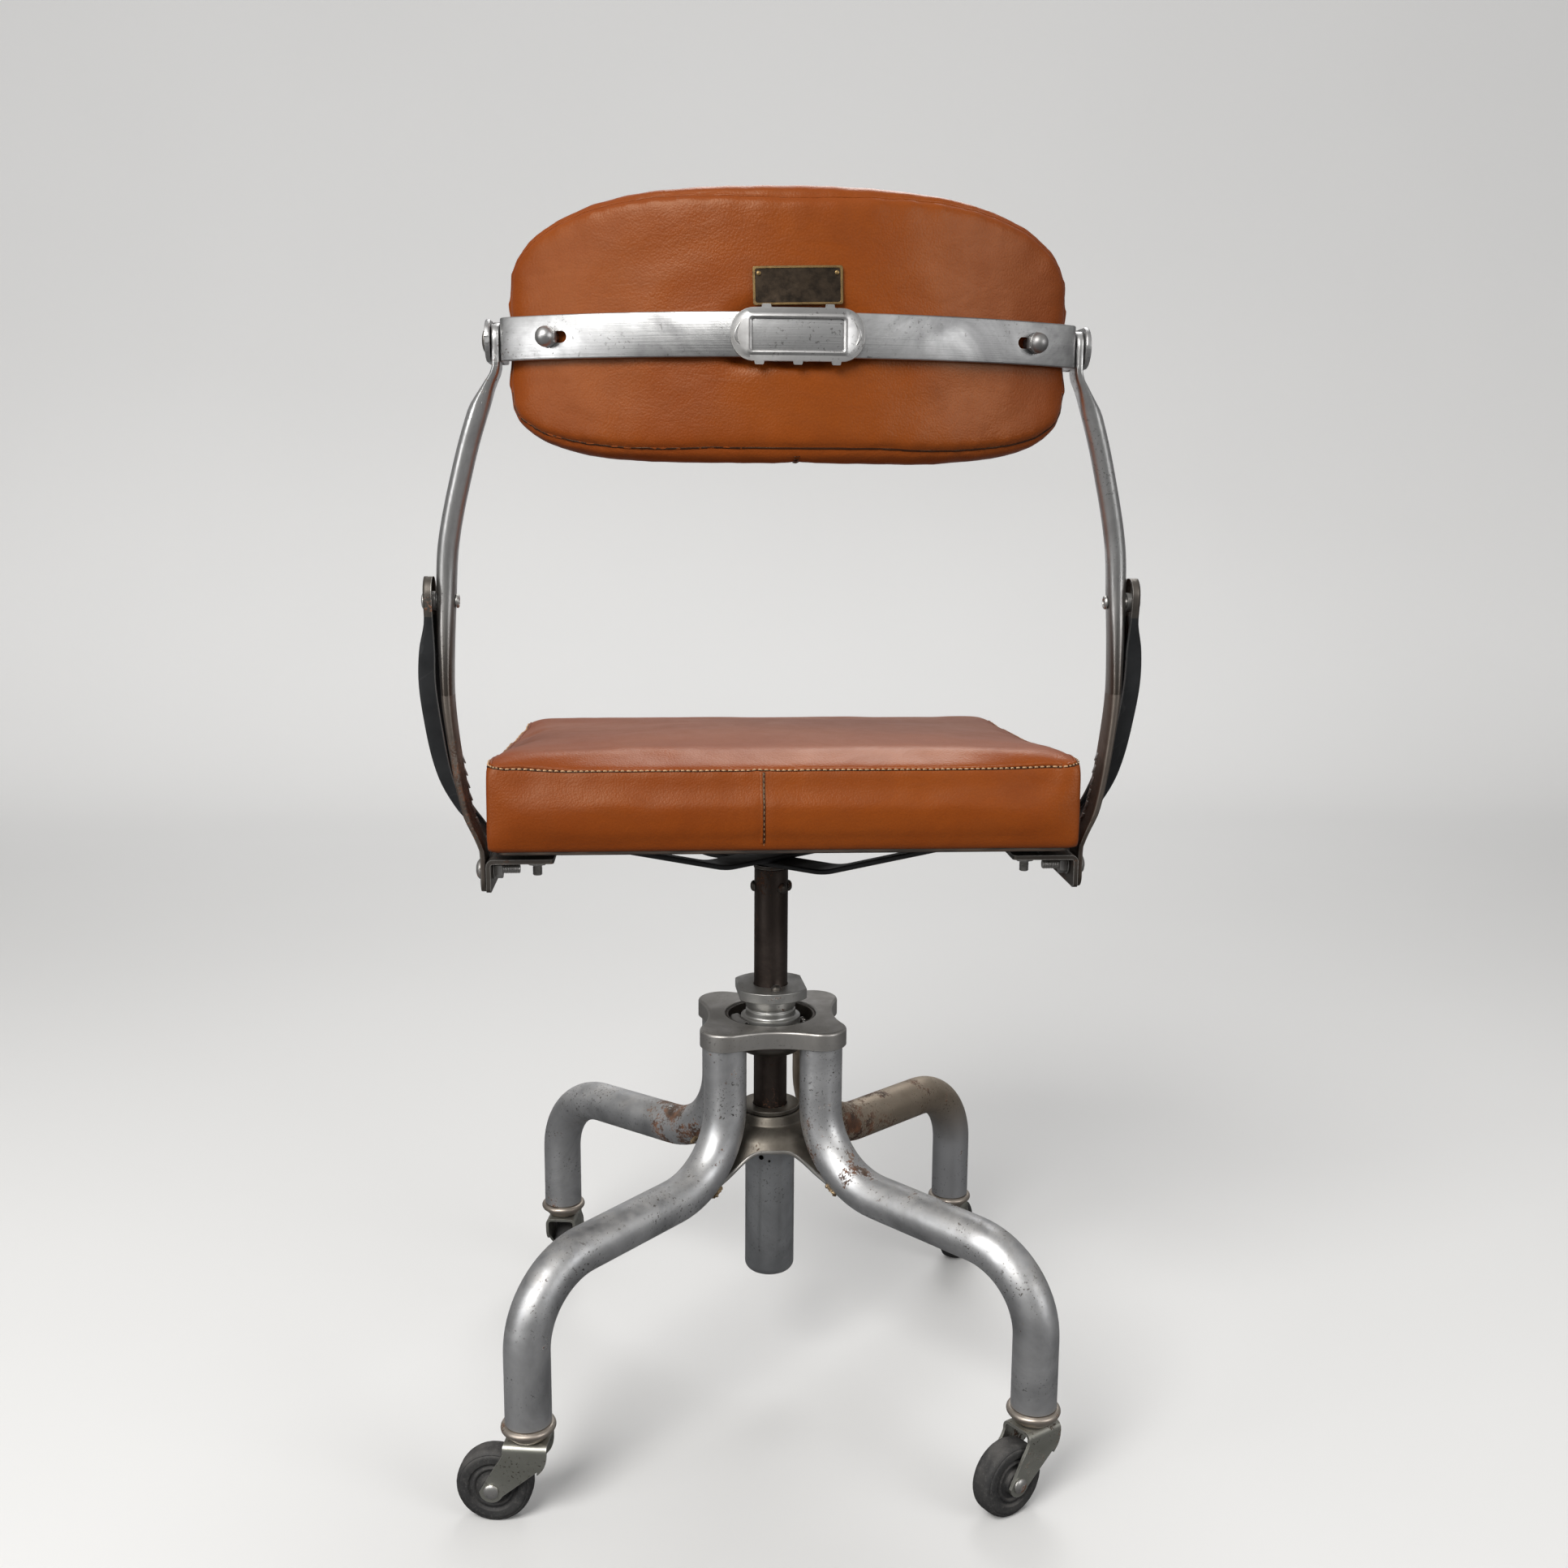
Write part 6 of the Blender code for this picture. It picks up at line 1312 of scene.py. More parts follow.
def make_bracket(side_name):
    """Angle under the board, with a flange turned down for the side frame."""
    side = SIDES[side_name]
    top = BRACKET_TOP_Z
    inner = BRACKET_OUTER_X - BRACKET_THICK
    outer_bend = [(BRACKET_OUTER_X - 0.0045 * s, top - 0.0045 * c) for c, s in quarter(6)]
    inner_bend = [(inner - 0.0015 * s, top - BRACKET_THICK - 0.0015 * c) for c, s in quarter(6)]
    section = [(BRACKET_INNER_X, top)] + outer_bend + [(BRACKET_OUTER_X, BRACKET_FLANGE_Z), (inner, BRACKET_FLANGE_Z)]
    section += inner_bend[::-1] + [(BRACKET_INNER_X, top - BRACKET_THICK)]
    made = turned(slab(section, BRACKET_REAR_Y, BRACKET_FRONT_Y), facing_y())
    turned(made, Matrix.Diagonal((side, 1, 1, 1)))
    bmesh.ops.recalc_face_normals(made, faces=made.faces)
    corners = [e for e in made.edges
               if abs(e.verts[0].co.y - e.verts[1].co.y) < 1e-6
               and all(v.co.z < BRACKET_FLANGE_Z + 1e-5 or abs(v.co.x) < BRACKET_INNER_X + 1e-5 for v in e.verts)
               and (abs(e.verts[0].co.y - BRACKET_REAR_Y) < 1e-6 or abs(e.verts[0].co.y - BRACKET_FRONT_Y) < 1e-6)]
    bmesh.ops.bevel(made, geom=corners, offset=0.0030, segments=5, profile=0.5, affect="EDGES", material=-1)
    piece = finish_piece(side_name + "_angle", made, DARK_STEEL, "seat", [side_name + "_bracket"])
    holes = [shaft((side * SEAT_BOLT_X, SEAT_BOLT_Y, top - 0.01), (side * SEAT_BOLT_X, SEAT_BOLT_Y, top + 0.01),
                   BOLT_RADIUS + 0.0002, 24)]
    for y in (PIVOT_BOLT_Y, CLAMP_BOLT_Y):
        holes.append(shaft((side * 0.18, y, SIDE_BOLT_Z), (side * 0.20, y, SIDE_BOLT_Z), BOLT_RADIUS + 0.0002, 24))
    cut_with(piece, holes)


def make_bolts(side_name):
    """Seat bolt under a bracket, and the pivot and clamp bolts through its flange."""
    side = SIDES[side_name]
    x = side * SEAT_BOLT_X
    below = BRACKET_TOP_Z - BRACKET_THICK - SEAM_GAP
    bottom = BRACKET_TOP_Z - BRACKET_THICK - 0.0125
    shank = turned(threaded(BOLT_RADIUS, BOARD_BOTTOM_Z + 0.0055 - bottom),
                   along((x, SEAT_BOLT_Y, BOARD_BOTTOM_Z + 0.0055), (x, SEAT_BOLT_Y, 0)))
    nut = turned(hexagon(0.0064, 0.0, 0.0052), Matrix.Translation((x, SEAT_BOLT_Y, below - 0.0052)))
    finish_piece(side_name + "_hanging_bolt", joined(shank, nut), BOLT_STEEL, "seat", [side_name + "_seat_bolt"])
    inner = BRACKET_OUTER_X - BRACKET_THICK - SEAM_GAP
    for label, y, outer in (("_pivot_bolt", PIVOT_BOLT_Y, FOOT_X + ARM_SKIN + 0.0004),
                            ("_clamp_bolt", CLAMP_BOLT_Y, FOOT_X + FOOT_THICK)):
        start = Vector((side * (outer + SEAM_GAP + 0.0032), y, SIDE_BOLT_Z))
        end = Vector((side * (BRACKET_OUTER_X - 0.0205), y, SIDE_BOLT_Z))
        length = (end - start).length
        place = along(start, end)
        head = lathe([(0, 0), (0.0030, 0.0002), (0.0052, 0.0010), (0.0065, 0.0022), (0.0068, 0.0032),
                      (BOLT_RADIUS, 0.0032), (BOLT_RADIUS, 0.0060), (0, 0.0060)], 32, closed=False)
        shank = threaded(BOLT_RADIUS, length - 0.0040)
        turned(shank, Matrix.Translation((0, 0, 0.0040)))
        low = abs(start.x) - inner
        washer = lathe(rounded([(BOLT_RADIUS + 0.0001, low), (0.0066, low), (0.0066, low + 0.0010),
                                (BOLT_RADIUS + 0.0001, low + 0.0010)], 0.0003), 32)
        nut = hexagon(0.0064, low + 0.0012, low + 0.0062)
        made = turned(joined(head, shank, washer, nut), place)
        finish_piece(side_name + label + "_set", made, BOLT_STEEL, "seat", [side_name + label])


# Side frames

def upright_knots():
    """Height, place, half sizes and squareness of the tube."""
    flat = FOOT_THICK / 2
    return [
        (0.4320, FOOT_MIDDLE_X, CLAMP_BOLT_Y, flat, FOOT_HALF_WIDTH, 5.0),
        (0.4580, FOOT_MIDDLE_X, CLAMP_BOLT_Y, flat, FOOT_HALF_WIDTH, 5.0),
        (0.4670, FOOT_MIDDLE_X + 0.0028, CLAMP_BOLT_Y, flat, FOOT_HALF_WIDTH, 5.0),
        (0.4850, FOOT_MIDDLE_X + 0.0100, CLAMP_BOLT_Y, 0.0028, FOOT_HALF_WIDTH, 4.0),
        (0.5300, FOOT_MIDDLE_X + 0.0175, CLAMP_BOLT_Y, 0.0034, 0.0115, 3.2),
        (0.5700, FOOT_MIDDLE_X + 0.0205, ELBOW_Y, 0.0044, 0.0100, 2.6),
        (0.6205, ELBOW_X, ELBOW_Y, ELBOW_TUBE_HALF, 0.0078, 2.2),
        (0.6580, FOOT_MIDDLE_X + 0.0165, ELBOW_Y - 0.0030, TUBE_RADIUS, TUBE_RADIUS, 2.0),
        (0.7050, FOOT_MIDDLE_X + 0.0050, ELBOW_Y - 0.0110, TUBE_RADIUS, TUBE_RADIUS, 2.0),
        (0.7380, FOOT_MIDDLE_X - 0.0060, ELBOW_Y - 0.0185, TUBE_RADIUS, TUBE_RADIUS, 2.0),
        (0.7510, EAR_X + 0.0060, EAR_Y + 0.0035, 0.0044, 0.0084, 2.8),
        (0.7630, EAR_X, EAR_Y, EAR_THICK / 2, EAR_HALF_WIDTH, 4.0),
        (EAR_Z + EAR_HALF_WIDTH, EAR_X, EAR_Y, EAR_THICK / 2, EAR_HALF_WIDTH, 4.0),
    ]


def squared_ring(centre, half_x, half_y, power, sides):
    """Level ring that a higher power makes squarer."""
    ring = []
    for k in range(sides):
        angle = 2 * pi * (k + 0.5) / sides
        c, s = cos(angle), sin(angle)
        size = (abs(c) ** power + abs(s) ** power) ** (-1.0 / power)
        ring.append(centre + Vector((half_x * c * size, half_y * s * size, 0)))
    return ring


def lean_slot(side):
    """Cutter of the arc slot that lets the foot lean round the pivot bolt."""
    reach = PIVOT_BOLT_Y - CLAMP_BOLT_Y
    wide = BOLT_RADIUS + 0.0003
    points = []
    for swing, start in ((pi + radians(4.5), 0), (pi - radians(6.5), pi)):
        for k in range(13):
            turn = start + pi * k / 12
            spot = Vector((PIVOT_BOLT_Y + reach * cos(swing), SIDE_BOLT_Z + reach * sin(swing)))
            points.append((spot.x + wide * cos(pi + turn), spot.y + wide * sin(pi + turn)))
    return turned(slab(points, 0.185, 0.215), facing_x(side))


def make_upright(side_name):
    """Tube flattened into the ear above and the toothed, slotted foot below."""
    side = SIDES[side_name]
    knots = upright_knots()
    low, high = knots[0][0], knots[-1][0]
    end = 0.0085
    levels = [low + end * c for c, s in quarter(8)]
    z = low + end + 0.003
    while z < high - EAR_HALF_WIDTH - 0.002:
        levels.append(z)
        z += 0.0042
    levels += [high - EAR_HALF_WIDTH * s for c, s in quarter(10)]
    rings = []
    for z in levels:
        x, y, half_x, half_y, power = smooth_curve(knots, z)
        if z < low + end:
            half_y *= sqrt(max(1 - ((low + end - z) / end) ** 2, 0.0)) * 0.75 + 0.25
        if z > high - EAR_HALF_WIDTH:
            over = (z - high + EAR_HALF_WIDTH) / EAR_HALF_WIDTH
            half_y *= sqrt(max(1 - over ** 2, 0.0)) * 0.92 + 0.08
        rings.append(squared_ring(Vector((side * x, y, z)), half_x, half_y, power, 40))
    piece = finish_piece(side_name + "_side_tube", lofted(rings), TUBE_STEEL, "back_frame", [side_name + "_upright"])
    x = side * EAR_X
    elbow = side * ELBOW_X
    tools = [shaft((x - 0.02, EAR_Y, EAR_Z), (x + 0.02, EAR_Y, EAR_Z), 0.0041, 32),
             shaft((elbow - 0.02, ELBOW_Y, ELBOW_Z), (elbow + 0.02, ELBOW_Y, ELBOW_Z), BOLT_RADIUS + 0.0001, 28),
             lean_slot(side)]
    notches = []
    for k in range(NOTCH_COUNT):
        z = NOTCH_LOW_Z + NOTCH_PITCH * k
        x, y, half_x, half_y = smooth_curve(knots, z)[:4]
        notches.append((x - half_x, y + half_y * 0.42, z))
    for x, y, z in notches:
        tip = slab([(-0.0022, 0.0030), (0.0022, 0.0030), (0.0, -0.0030)], -0.012, 0.0)
        tools.append(turned(tip, Matrix.Translation((side * (x + 0.0009), y, z)) @ facing_x(side)))
    cut_with(piece, tools)
    piece.data.materials.append(FOOT_STEEL)
    for face in piece.data.polygons:
        if face.center.z < DARK_FOOT_TOP_Z:
            face.material_index = 1
    teeth = bmesh.new()
    lean = Matrix.Rotation(radians(-24), 4, "X")
    for x, y, z in notches:
        tooth = slab([(-0.0021, 0.0028), (0.0021, 0.0028), (0.0, -0.0029)], -0.0005, 0.0005)
        place = Matrix.Translation((side * (x - 0.0002), y, z + 0.0004))
        teeth = joined(teeth, turned(tooth, place @ facing_x(-side) @ lean))
    finish_piece(side_name + "_index_teeth", teeth, BOLT_STEEL, "back_frame", bevel=0.0001)


def arm_knots():
    """Height, inner place and depth of the channel."""
    elbow = ELBOW_X + ELBOW_TUBE_HALF + ARM_STANDOFF
    return [
        (0.4335, FOOT_X, PIVOT_BOLT_Y, 0.0030),
        (0.4560, FOOT_X, PIVOT_BOLT_Y, 0.0030),
        (0.4660, FOOT_X + 0.0042, PIVOT_BOLT_Y, 0.0042),
        (0.4820, FOOT_X + 0.0150, PIVOT_BOLT_Y - 0.0005, 0.0070),
        (0.5050, FOOT_X + 0.0235, PIVOT_BOLT_Y - 0.0040, 0.0098),
        (0.5400, FOOT_X + 0.0285, PIVOT_BOLT_Y - 0.0110, 0.0112),
        (0.5700, elbow + 0.0012, PIVOT_BOLT_Y - 0.0180, 0.0110),
        (0.5900, elbow + 0.0002, PIVOT_BOLT_Y - 0.0235, 0.0100),
        (0.6110, elbow, ELBOW_Y + 0.0020, ARM_TOP_DEPTH),
        (0.6360, elbow, ELBOW_Y - 0.0006, ARM_TOP_DEPTH),
    ]


def make_arm(side_name):
    """Black channel with flanges turned in and a bright, worn round top."""
    side = SIDES[side_name]
    knots = arm_knots()
    low, high = knots[0][0], knots[-1][0]
    end = 0.0125
    levels = [low + end * c for c, s in quarter(8)]
    z = low + end + 0.003
    while z < high - end - 0.002:
        levels.append(z)
        z += 0.0045
    levels += [high - end * s for c, s in quarter(8)]
    rings = []
    for z in levels:
        x, y, deep = smooth_curve(knots, z)
        half = ARM_HALF_WIDTH
        if z < low + end:
            half *= sqrt(max(1 - ((low + end - z) / end) ** 2, 0.0)) * 0.80 + 0.20
        if z > high - end:
            half *= sqrt(max(1 - ((z - high + end) / end) ** 2, 0.0)) * 0.86 + 0.14
        web = min(ARM_SKIN, deep * 0.9)
        wall = min(ARM_SKIN, half * 0.3)
        outer = x + deep
        turn = min(0.0026, half * 0.4, deep * 0.6)
        section = [(x, -half)]
        section += [(outer - turn * s, -half + turn * c) for c, s in quarter(4)]
        section += [(outer - turn * c, half - turn * s) for c, s in quarter(4)]
        section += [(x, half), (x, half - wall), (outer - web, half - wall), (outer - web, -half + wall),
                    (x, -half + wall)]
        rings.append([Vector((side * px, y + py, z)) for px, py in section])
    piece = finish_piece(side_name + "_side_arm", lofted(rings), BLACK, "back_frame", [side_name + "_arm"])
    cut_with(piece, [shaft((side * 0.18, y, z), (side * 0.25, y, z), BOLT_RADIUS + 0.0001, 28)
                     for y, z in ((PIVOT_BOLT_Y, SIDE_BOLT_Z), (ELBOW_Y, ELBOW_Z))])
    piece.data.materials.append(DARK_STEEL)
    for face in piece.data.polygons:
        if face.center.z > BARE_ARM_TOP_Z:
            face.material_index = 1


def make_elbow(side_name):
    """Rivet with a spacer that holds tube and arm together."""
    side = SIDES[side_name]
    tube_in, tube_out = ELBOW_X - ELBOW_TUBE_HALF - SEAM_GAP, ELBOW_X + ELBOW_TUBE_HALF + SEAM_GAP
    arm_out = ELBOW_X + ELBOW_TUBE_HALF + ARM_STANDOFF + ARM_TOP_DEPTH + SEAM_GAP
    arm_in = arm_out - SEAM_GAP - ARM_SKIN - SEAM_GAP
    start = tube_in - 0.0016
    profile = [(0, 0.0005), (0.0022, 0.0006), (0.0026, 0.0), (0.0040, 0.0002), (0.0045, 0.0010), (0.0045, 0.0016),
               (BOLT_RADIUS, 0.0016), (BOLT_RADIUS, tube_out - start), (0.0062, tube_out - start),
               (0.0062, arm_in - start), (BOLT_RADIUS, arm_in - start), (BOLT_RADIUS, arm_out - start),
               (0.0058, arm_out - start), (0.0056, arm_out - start + 0.0007), (0.0040, arm_out - start + 0.0016),
               (0.0018, arm_out - start + 0.0020), (0, arm_out - start + 0.0020)]
    made = turned(lathe(profile, 40, closed=False),
                  along((side * start, ELBOW_Y, ELBOW_Z), (side * (start + 0.01), ELBOW_Y, ELBOW_Z)))
    finish_piece(side_name + "_elbow_rivet", made, BOLT_STEEL, "back_frame", [side_name + "_elbow_pin"])


# Back

def strap_circle():
    """Centre and radius of the strap's middle line."""
    middle = STRAP_REAR_Y + STRAP_THICK / 2
    rise = STRAP_END_Y - middle
    radius = (STRAP_END_X ** 2 + rise ** 2) / (2 * rise)
    return middle + radius, radius


def on_bow(u, v, out):
    """A point u along the strap's bow, at height v, moved out from its middle line."""
    centre, radius = strap_circle()
    away = Vector((sin(u / radius), -cos(u / radius), 0))
    return Vector((0, centre, v)) + away * (radius + out)


def strap_spot(x, out):
    """A point on the strap's middle height, found by its x."""
    radius = strap_circle()[1]
    return on_bow(asin(x / radius) * radius, EAR_Z, out)


def make_strap():
    """Spring-steel strap with rounded edges, hooked round both ears and slotted beside the nuts."""
    centre, radius = strap_circle()
    reach = asin(STRAP_END_X / radius)
    bow = [Vector((radius * sin(reach * k / 24), centre - radius * cos(reach * k / 24), 0)) for k in range(25)]
    inner_x = EAR_X - EAR_THICK / 2 - SEAM_GAP - STRAP_THICK / 2
    outer_x = EAR_X + EAR_THICK / 2 + SEAM_GAP + STRAP_THICK / 2
    hook = bent_line([tuple(bow[-1]), (inner_x, STRAP_END_Y + 0.0045, 0), (inner_x, HOOK_FRONT_Y, 0),
                      (outer_x, HOOK_FRONT_Y, 0), (outer_x, EAR_Y - STRAP_HEIGHT / 2, 0)],
                     [0.006, 0.0027, 0.0027], [8, 8, 8])
    half = bow + hook[1:]
    tip = half[-1]
    round_end = STRAP_HEIGHT / 2
    back = (half[-2] - tip).normalized()
    tab = [tip + back * round_end * s for c, s in quarter(10)[1:]]
    half = half[:-1] + [half[-2].lerp(half[-1], 0.02)] + tab
    line = [Vector((-p.x, p.y, 0)) for p in half[:0:-1]] + half
    rings = []
    for i, point in enumerate(line):
        ahead = heading(line, i)
        out = Vector((ahead.y, -ahead.x, 0))
        past = max(0.0, (EAR_Y - point.y)) if abs(point.x) > EAR_X else 0.0
        tall = max(sqrt(max(round_end ** 2 - min(past, round_end) ** 2, 0.0)), 0.0012)
        turn = min(0.0009, tall * 0.6)
        middle = Vector((point.x, point.y, EAR_Z))
        ring = []
        for sx, sz, start in ((-1, -1, 180), (1, -1, 270), (1, 1, 0), (-1, 1, 90)):
            for k in range(4):
                angle = radians(start + 30 * k)
                ring.append(middle + out * (sx * (STRAP_THICK / 2 - turn) + turn * cos(angle))
                            + Vector((0, 0, sz * (tall - turn) + turn * sin(angle))))
        rings.append(ring)
    piece = finish_piece("bowed_strap", lofted(rings), STRAP_STEEL, "back", ["back_strap"])
    tools = []
    for side in (-1, 1):
        tools.append(shaft((side * 0.165, EAR_Y, EAR_Z), (side * 0.195, EAR_Y, EAR_Z), 0.0042, 32))
        middle = side * (asin(DOME_X / radius) * radius - SLOT_SHIFT)
        slot = []
        for end, start in ((1, -90), (-1, 90)):
            for k in range(13):
                angle = radians(start + 15 * k)
                slot.append((middle + end * SLOT_HALF_RUN + SLOT_RADIUS * cos(angle),
                             EAR_Z + SLOT_RADIUS * sin(angle)))
        tools.append(lofted([[on_bow(u, v, out) for u, v in slot] for out in (-0.006, 0.006)]))
    cut_with(piece, tools)


def make_dome(side_name):
    """Acorn nut on its stud, through the strap's slot."""
    side = SIDES[side_name]
    inner = -(STRAP_THICK / 2 + SEAM_GAP + 0.0075)
    face = STRAP_THICK / 2 + SEAM_GAP - inner
    place = along(strap_spot(side * DOME_X, inner), strap_spot(side * DOME_X, inner + 0.01))
    dome = [(0.0060, face + 0.0036), (0.0061, face + 0.0044)]
    dome += [(0.0059 * cos(radians(a)), face + 0.0046 + 0.0056 * sin(radians(a))) for a in range(0, 90, 9)]
    profile = [(0, 0), (BOLT_RADIUS, 0), (BOLT_RADIUS, face + 0.0036)] + dome + [(0, face + 0.0102)]
    made = lathe(profile, 40, closed=False)
    nut = hexagon(0.0064, face, face + 0.0040)
    finish_piece(side_name + "_acorn_nut", turned(joined(made, nut), place), FRAME_STEEL, "back",
                 [side_name + "_dome_bolt"])


def make_ear_pin(side_name):
    """Pin through the ear and both walls of the strap's hook."""
    side = SIDES[side_name]
    inner = EAR_X - EAR_THICK / 2 - SEAM_GAP - STRAP_THICK - SEAM_GAP
    span = EAR_X + EAR_THICK / 2 + SEAM_GAP + STRAP_THICK + SEAM_GAP - inner
    profile = [(0, 0.0001), (0.0030, 0), (0.0046, 0.0002), (0.0056, 0.0009), (0.0056, 0.0014), (0.0040, 0.0014),
               (0.0040, span + 0.0014), (0.0068, span + 0.0014), (0.0066, span + 0.0022), (0.0056, span + 0.0028),
               (0.0034, span + 0.0034), (0.0015, span + 0.0036), (0, span + 0.0036)]
    start = Vector((side * (inner - 0.0014), EAR_Y, EAR_Z))
    made = turned(lathe(profile, 40, closed=False), along(start, start + Vector((side * 0.01, 0, 0))))
    finish_piece(side_name + "_ear_rivet", made, DARK_STEEL, "back", [side_name + "_ear_pin"])


def bar_outline(half_width, half_height, corner, centre_z, count, spans):
    """Round-cornered outline whose long sides have points that can follow the bow."""
    points = []
    for x, z, start in ((1, -1, -90), (1, 1, 0), (-1, 1, 90), (-1, -1, 180)):
        for k in range(count + 1):
            angle = radians(start + 90 * k / count)
            points.append((x * (half_width - corner) + corner * cos(angle),
                           centre_z + z * (half_height - corner) + corner * sin(angle)))
        if start in (0, 180):
            for k in range(1, spans):
                points.append((x * (half_width - corner) * (1 - 2 * k / spans), centre_z + z * half_height))
    return points


def make_holder():
    """Stamped frame: rounded rim, raised border round the window, pressed half moons and folded tabs."""
    low = STRAP_THICK / 2 + SEAM_GAP

    def loop(half_width, half_height, corner, out):
        return [on_bow(u, v, out) for u, v in bar_outline(half_width, half_height, corner, EAR_Z, 9, 14)]

    wide, tall = HOLDER_HALF_WIDTH, HOLDER_HALF_HEIGHT
    corner = tall - 0.0015
    stack = [loop(wide, tall, corner, low), loop(wide, tall, corner, low + 0.0005),
             loop(wide - 0.0003, tall - 0.0003, corner - 0.0003, low + 0.0009),
             loop(wide - 0.0010, tall - 0.0010, corner - 0.001, low + 0.0009),
             loop(0.0296, 0.0116, 0.0030, low + 0.0008), loop(0.0288, 0.0109, 0.0028, low + 0.0013),
             loop(0.0277, 0.0100, 0.0022, low + 0.0015), loop(0.0268, 0.0092, 0.0016, low + 0.0012),
             loop(0.0262, 0.0088, 0.0012, low + 0.0006), loop(0.0262, 0.0088, 0.0012, low)]
    made = lofted(stack + [stack[0]], capped=False)
    for side in (-1, 1):
        rings = []
        for k in range(9):
            share = k / 8
            ring = []
            for s in range(20):
                angle = 2 * pi * s / 20
                bulge = sin(pi * min(max(share, 0.02), 0.98))
                u = side * (0.0320 + 0.0036 * sin(pi * share)) + 0.0011 * bulge * cos(angle)
                v = EAR_Z + (share - 0.5) * 0.0150
                ring.append(on_bow(u, v, low + 0.0008 + 0.0007 * bulge * sin(angle)))
            rings.append(ring)
        made = joined(made, lofted(rings))
    for u, below in ((-0.018, 1), (0.018, 1), (-0.022, -1), (0.0, -1), (0.022, -1)):
        edge = EAR_Z + below * (HOLDER_HALF_HEIGHT - 0.0004)
        corners = rounded([(u - 0.0028, edge), (u + 0.0028, edge), (u + 0.0024, edge + below * 0.0022),
                           (u - 0.0024, edge + below * 0.0022)], 0.0006)
        ring = [on_bow(a, b, low + 0.0002) for a, b in corners]
        front = [on_bow(a, b, low + 0.0009) for a, b in corners]
        made = joined(made, lofted([ring, front]))
    finish_piece("card_frame", made, FRAME_STEEL, "back", ["label_holder"], bevel=0.00012)


def make_plate():
    """Bare plate: dark field inside a raised border, held by two small rivets."""
    wide, tall = PLATE_HALF_WIDTH, PLATE_HALF_HEIGHT
    low = -STRAP_THICK / 2 - 0.0006
    tilt = radians(1.4)

    def spot(u, v, out):
        return on_bow(u * cos(tilt) - v * sin(tilt), PLATE_Z + u * sin(tilt) + v * cos(tilt), out)

    def loop(half_width, half_height, out):
        return [spot(u, v, out) for u, v in bar_outline(half_width, half_height, 0.0014, 0.0, 4, 12)]

    stack = [loop(wide - inset, tall - inset, low + rise)
             for inset, rise in ((0, 0), (0, 0.0008), (0.0003, 0.0011), (0.0012, 0.0011), (0.0015, 0.0007))]
    made = lofted(stack, capped=False)
    field = bmesh.new()
    inner = stack[-1]
    count = len(inner)
    middle = [spot(0.0001 * cos(2 * pi * k / count), 0.0001 * sin(2 * pi * k / count), low + 0.0007)
              for k in range(count)]
    for k in range(count):
        after = (k + 1) % count
        field.faces.new([field.verts.new(p) for p in (inner[k], inner[after], middle[after], middle[k])])
    bmesh.ops.remove_doubles(field, verts=field.verts, dist=1e-7)
    finish_piece("plate_field", field, BRASS_DARK, "back")
    for u in (-0.0225, 0.0225):
        head = lathe([(0, -0.0004), (0.0013, -0.0004), (0.0012, 0.0004), (0.0007, 0.0007), (0, 0.0008)], 20,
                     closed=False)
        turned(head, along(spot(u, 0.0068, low + 0.0007), spot(u, 0.0068, low + 0.002)))
        made = joined(made, head)
    finish_piece("plate_border", made, BRASS, "back", ["name_plate"])


# Soft pieces

def puffed(piece, held, pressure, cap, voxel, frames=20):
    """Blow a leather case up over its filling; held tells which points lie on something firm."""
    shape = piece.modifiers.new("even skin", "REMESH")
    shape.mode = "VOXEL"
    shape.voxel_size = voxel
    even = baked(piece)
    even.shade_smooth()
    group = piece.vertex_groups.new(name="held")
    for vert in even.vertices:
        weight = held(vert.co)
        if weight > 0:
            group.add([vert.index], weight, "REPLACE")
    start = [v.co.copy() for v in even.vertices]
    cloth = piece.modifiers.new("cloth", "CLOTH")
    cloth.settings.quality = 6
    cloth.settings.mass = 0.4
    cloth.settings.tension_stiffness = 24
    cloth.settings.compression_stiffness = 24
    cloth.settings.shear_stiffness = 10
    cloth.settings.bending_stiffness = 1.2
    cloth.settings.use_pressure = True
    cloth.settings.uniform_pressure_force = pressure
    cloth.settings.vertex_group_mass = "held"
    cloth.settings.effector_weights.gravity = 0.0
    cloth.collision_settings.use_collision = False
    cloth.point_cache.frame_start = 1
    cloth.point_cache.frame_end = frames
    scene = bpy.context.scene
    for number in range(1, frames + 1):
        scene.frame_set(number)
    blown = baked(piece)
    piece.vertex_groups.clear()
    for vert, was in zip(blown.vertices, start):
        move = vert.co - was
        if move.length > cap:
            vert.co = was + move * (cap / move.length)
    scene.frame_set(1)


def evened(piece, rounds):
    """Relax a blown-up skin so that it lies smooth."""
    made = bmesh.new()
    made.from_mesh(piece.data)
    for _ in range(rounds):
        bmesh.ops.smooth_vert(made, verts=made.verts, factor=0.5, use_axis_x=True, use_axis_y=True, use_axis_z=True)
    made.to_mesh(piece.data)
    made.free()


def refined(piece, levels):
    """Divide a relaxed skin so that folds can be pressed into it."""
    step = piece.modifiers.new("finer", "SUBSURF")
    step.levels = levels
    step.render_levels = levels
    baked(piece).shade_smooth()


def box_of(mesh):
    """Lowest and highest corner of a mesh."""
    return [[end(v.co[k] for v in mesh.vertices) for k in range(3)] for end in (min, max)]


def fit_box(piece, low, high):
    """Stretch a soft piece gently so that it fills the space between two corners."""
    now_low, now_high = box_of(piece.data)
    for vert in piece.data.vertices:
        for k in range(3):
            share = (vert.co[k] - now_low[k]) / (now_high[k] - now_low[k])
            vert.co[k] = low[k] + (high[k] - low[k]) * share


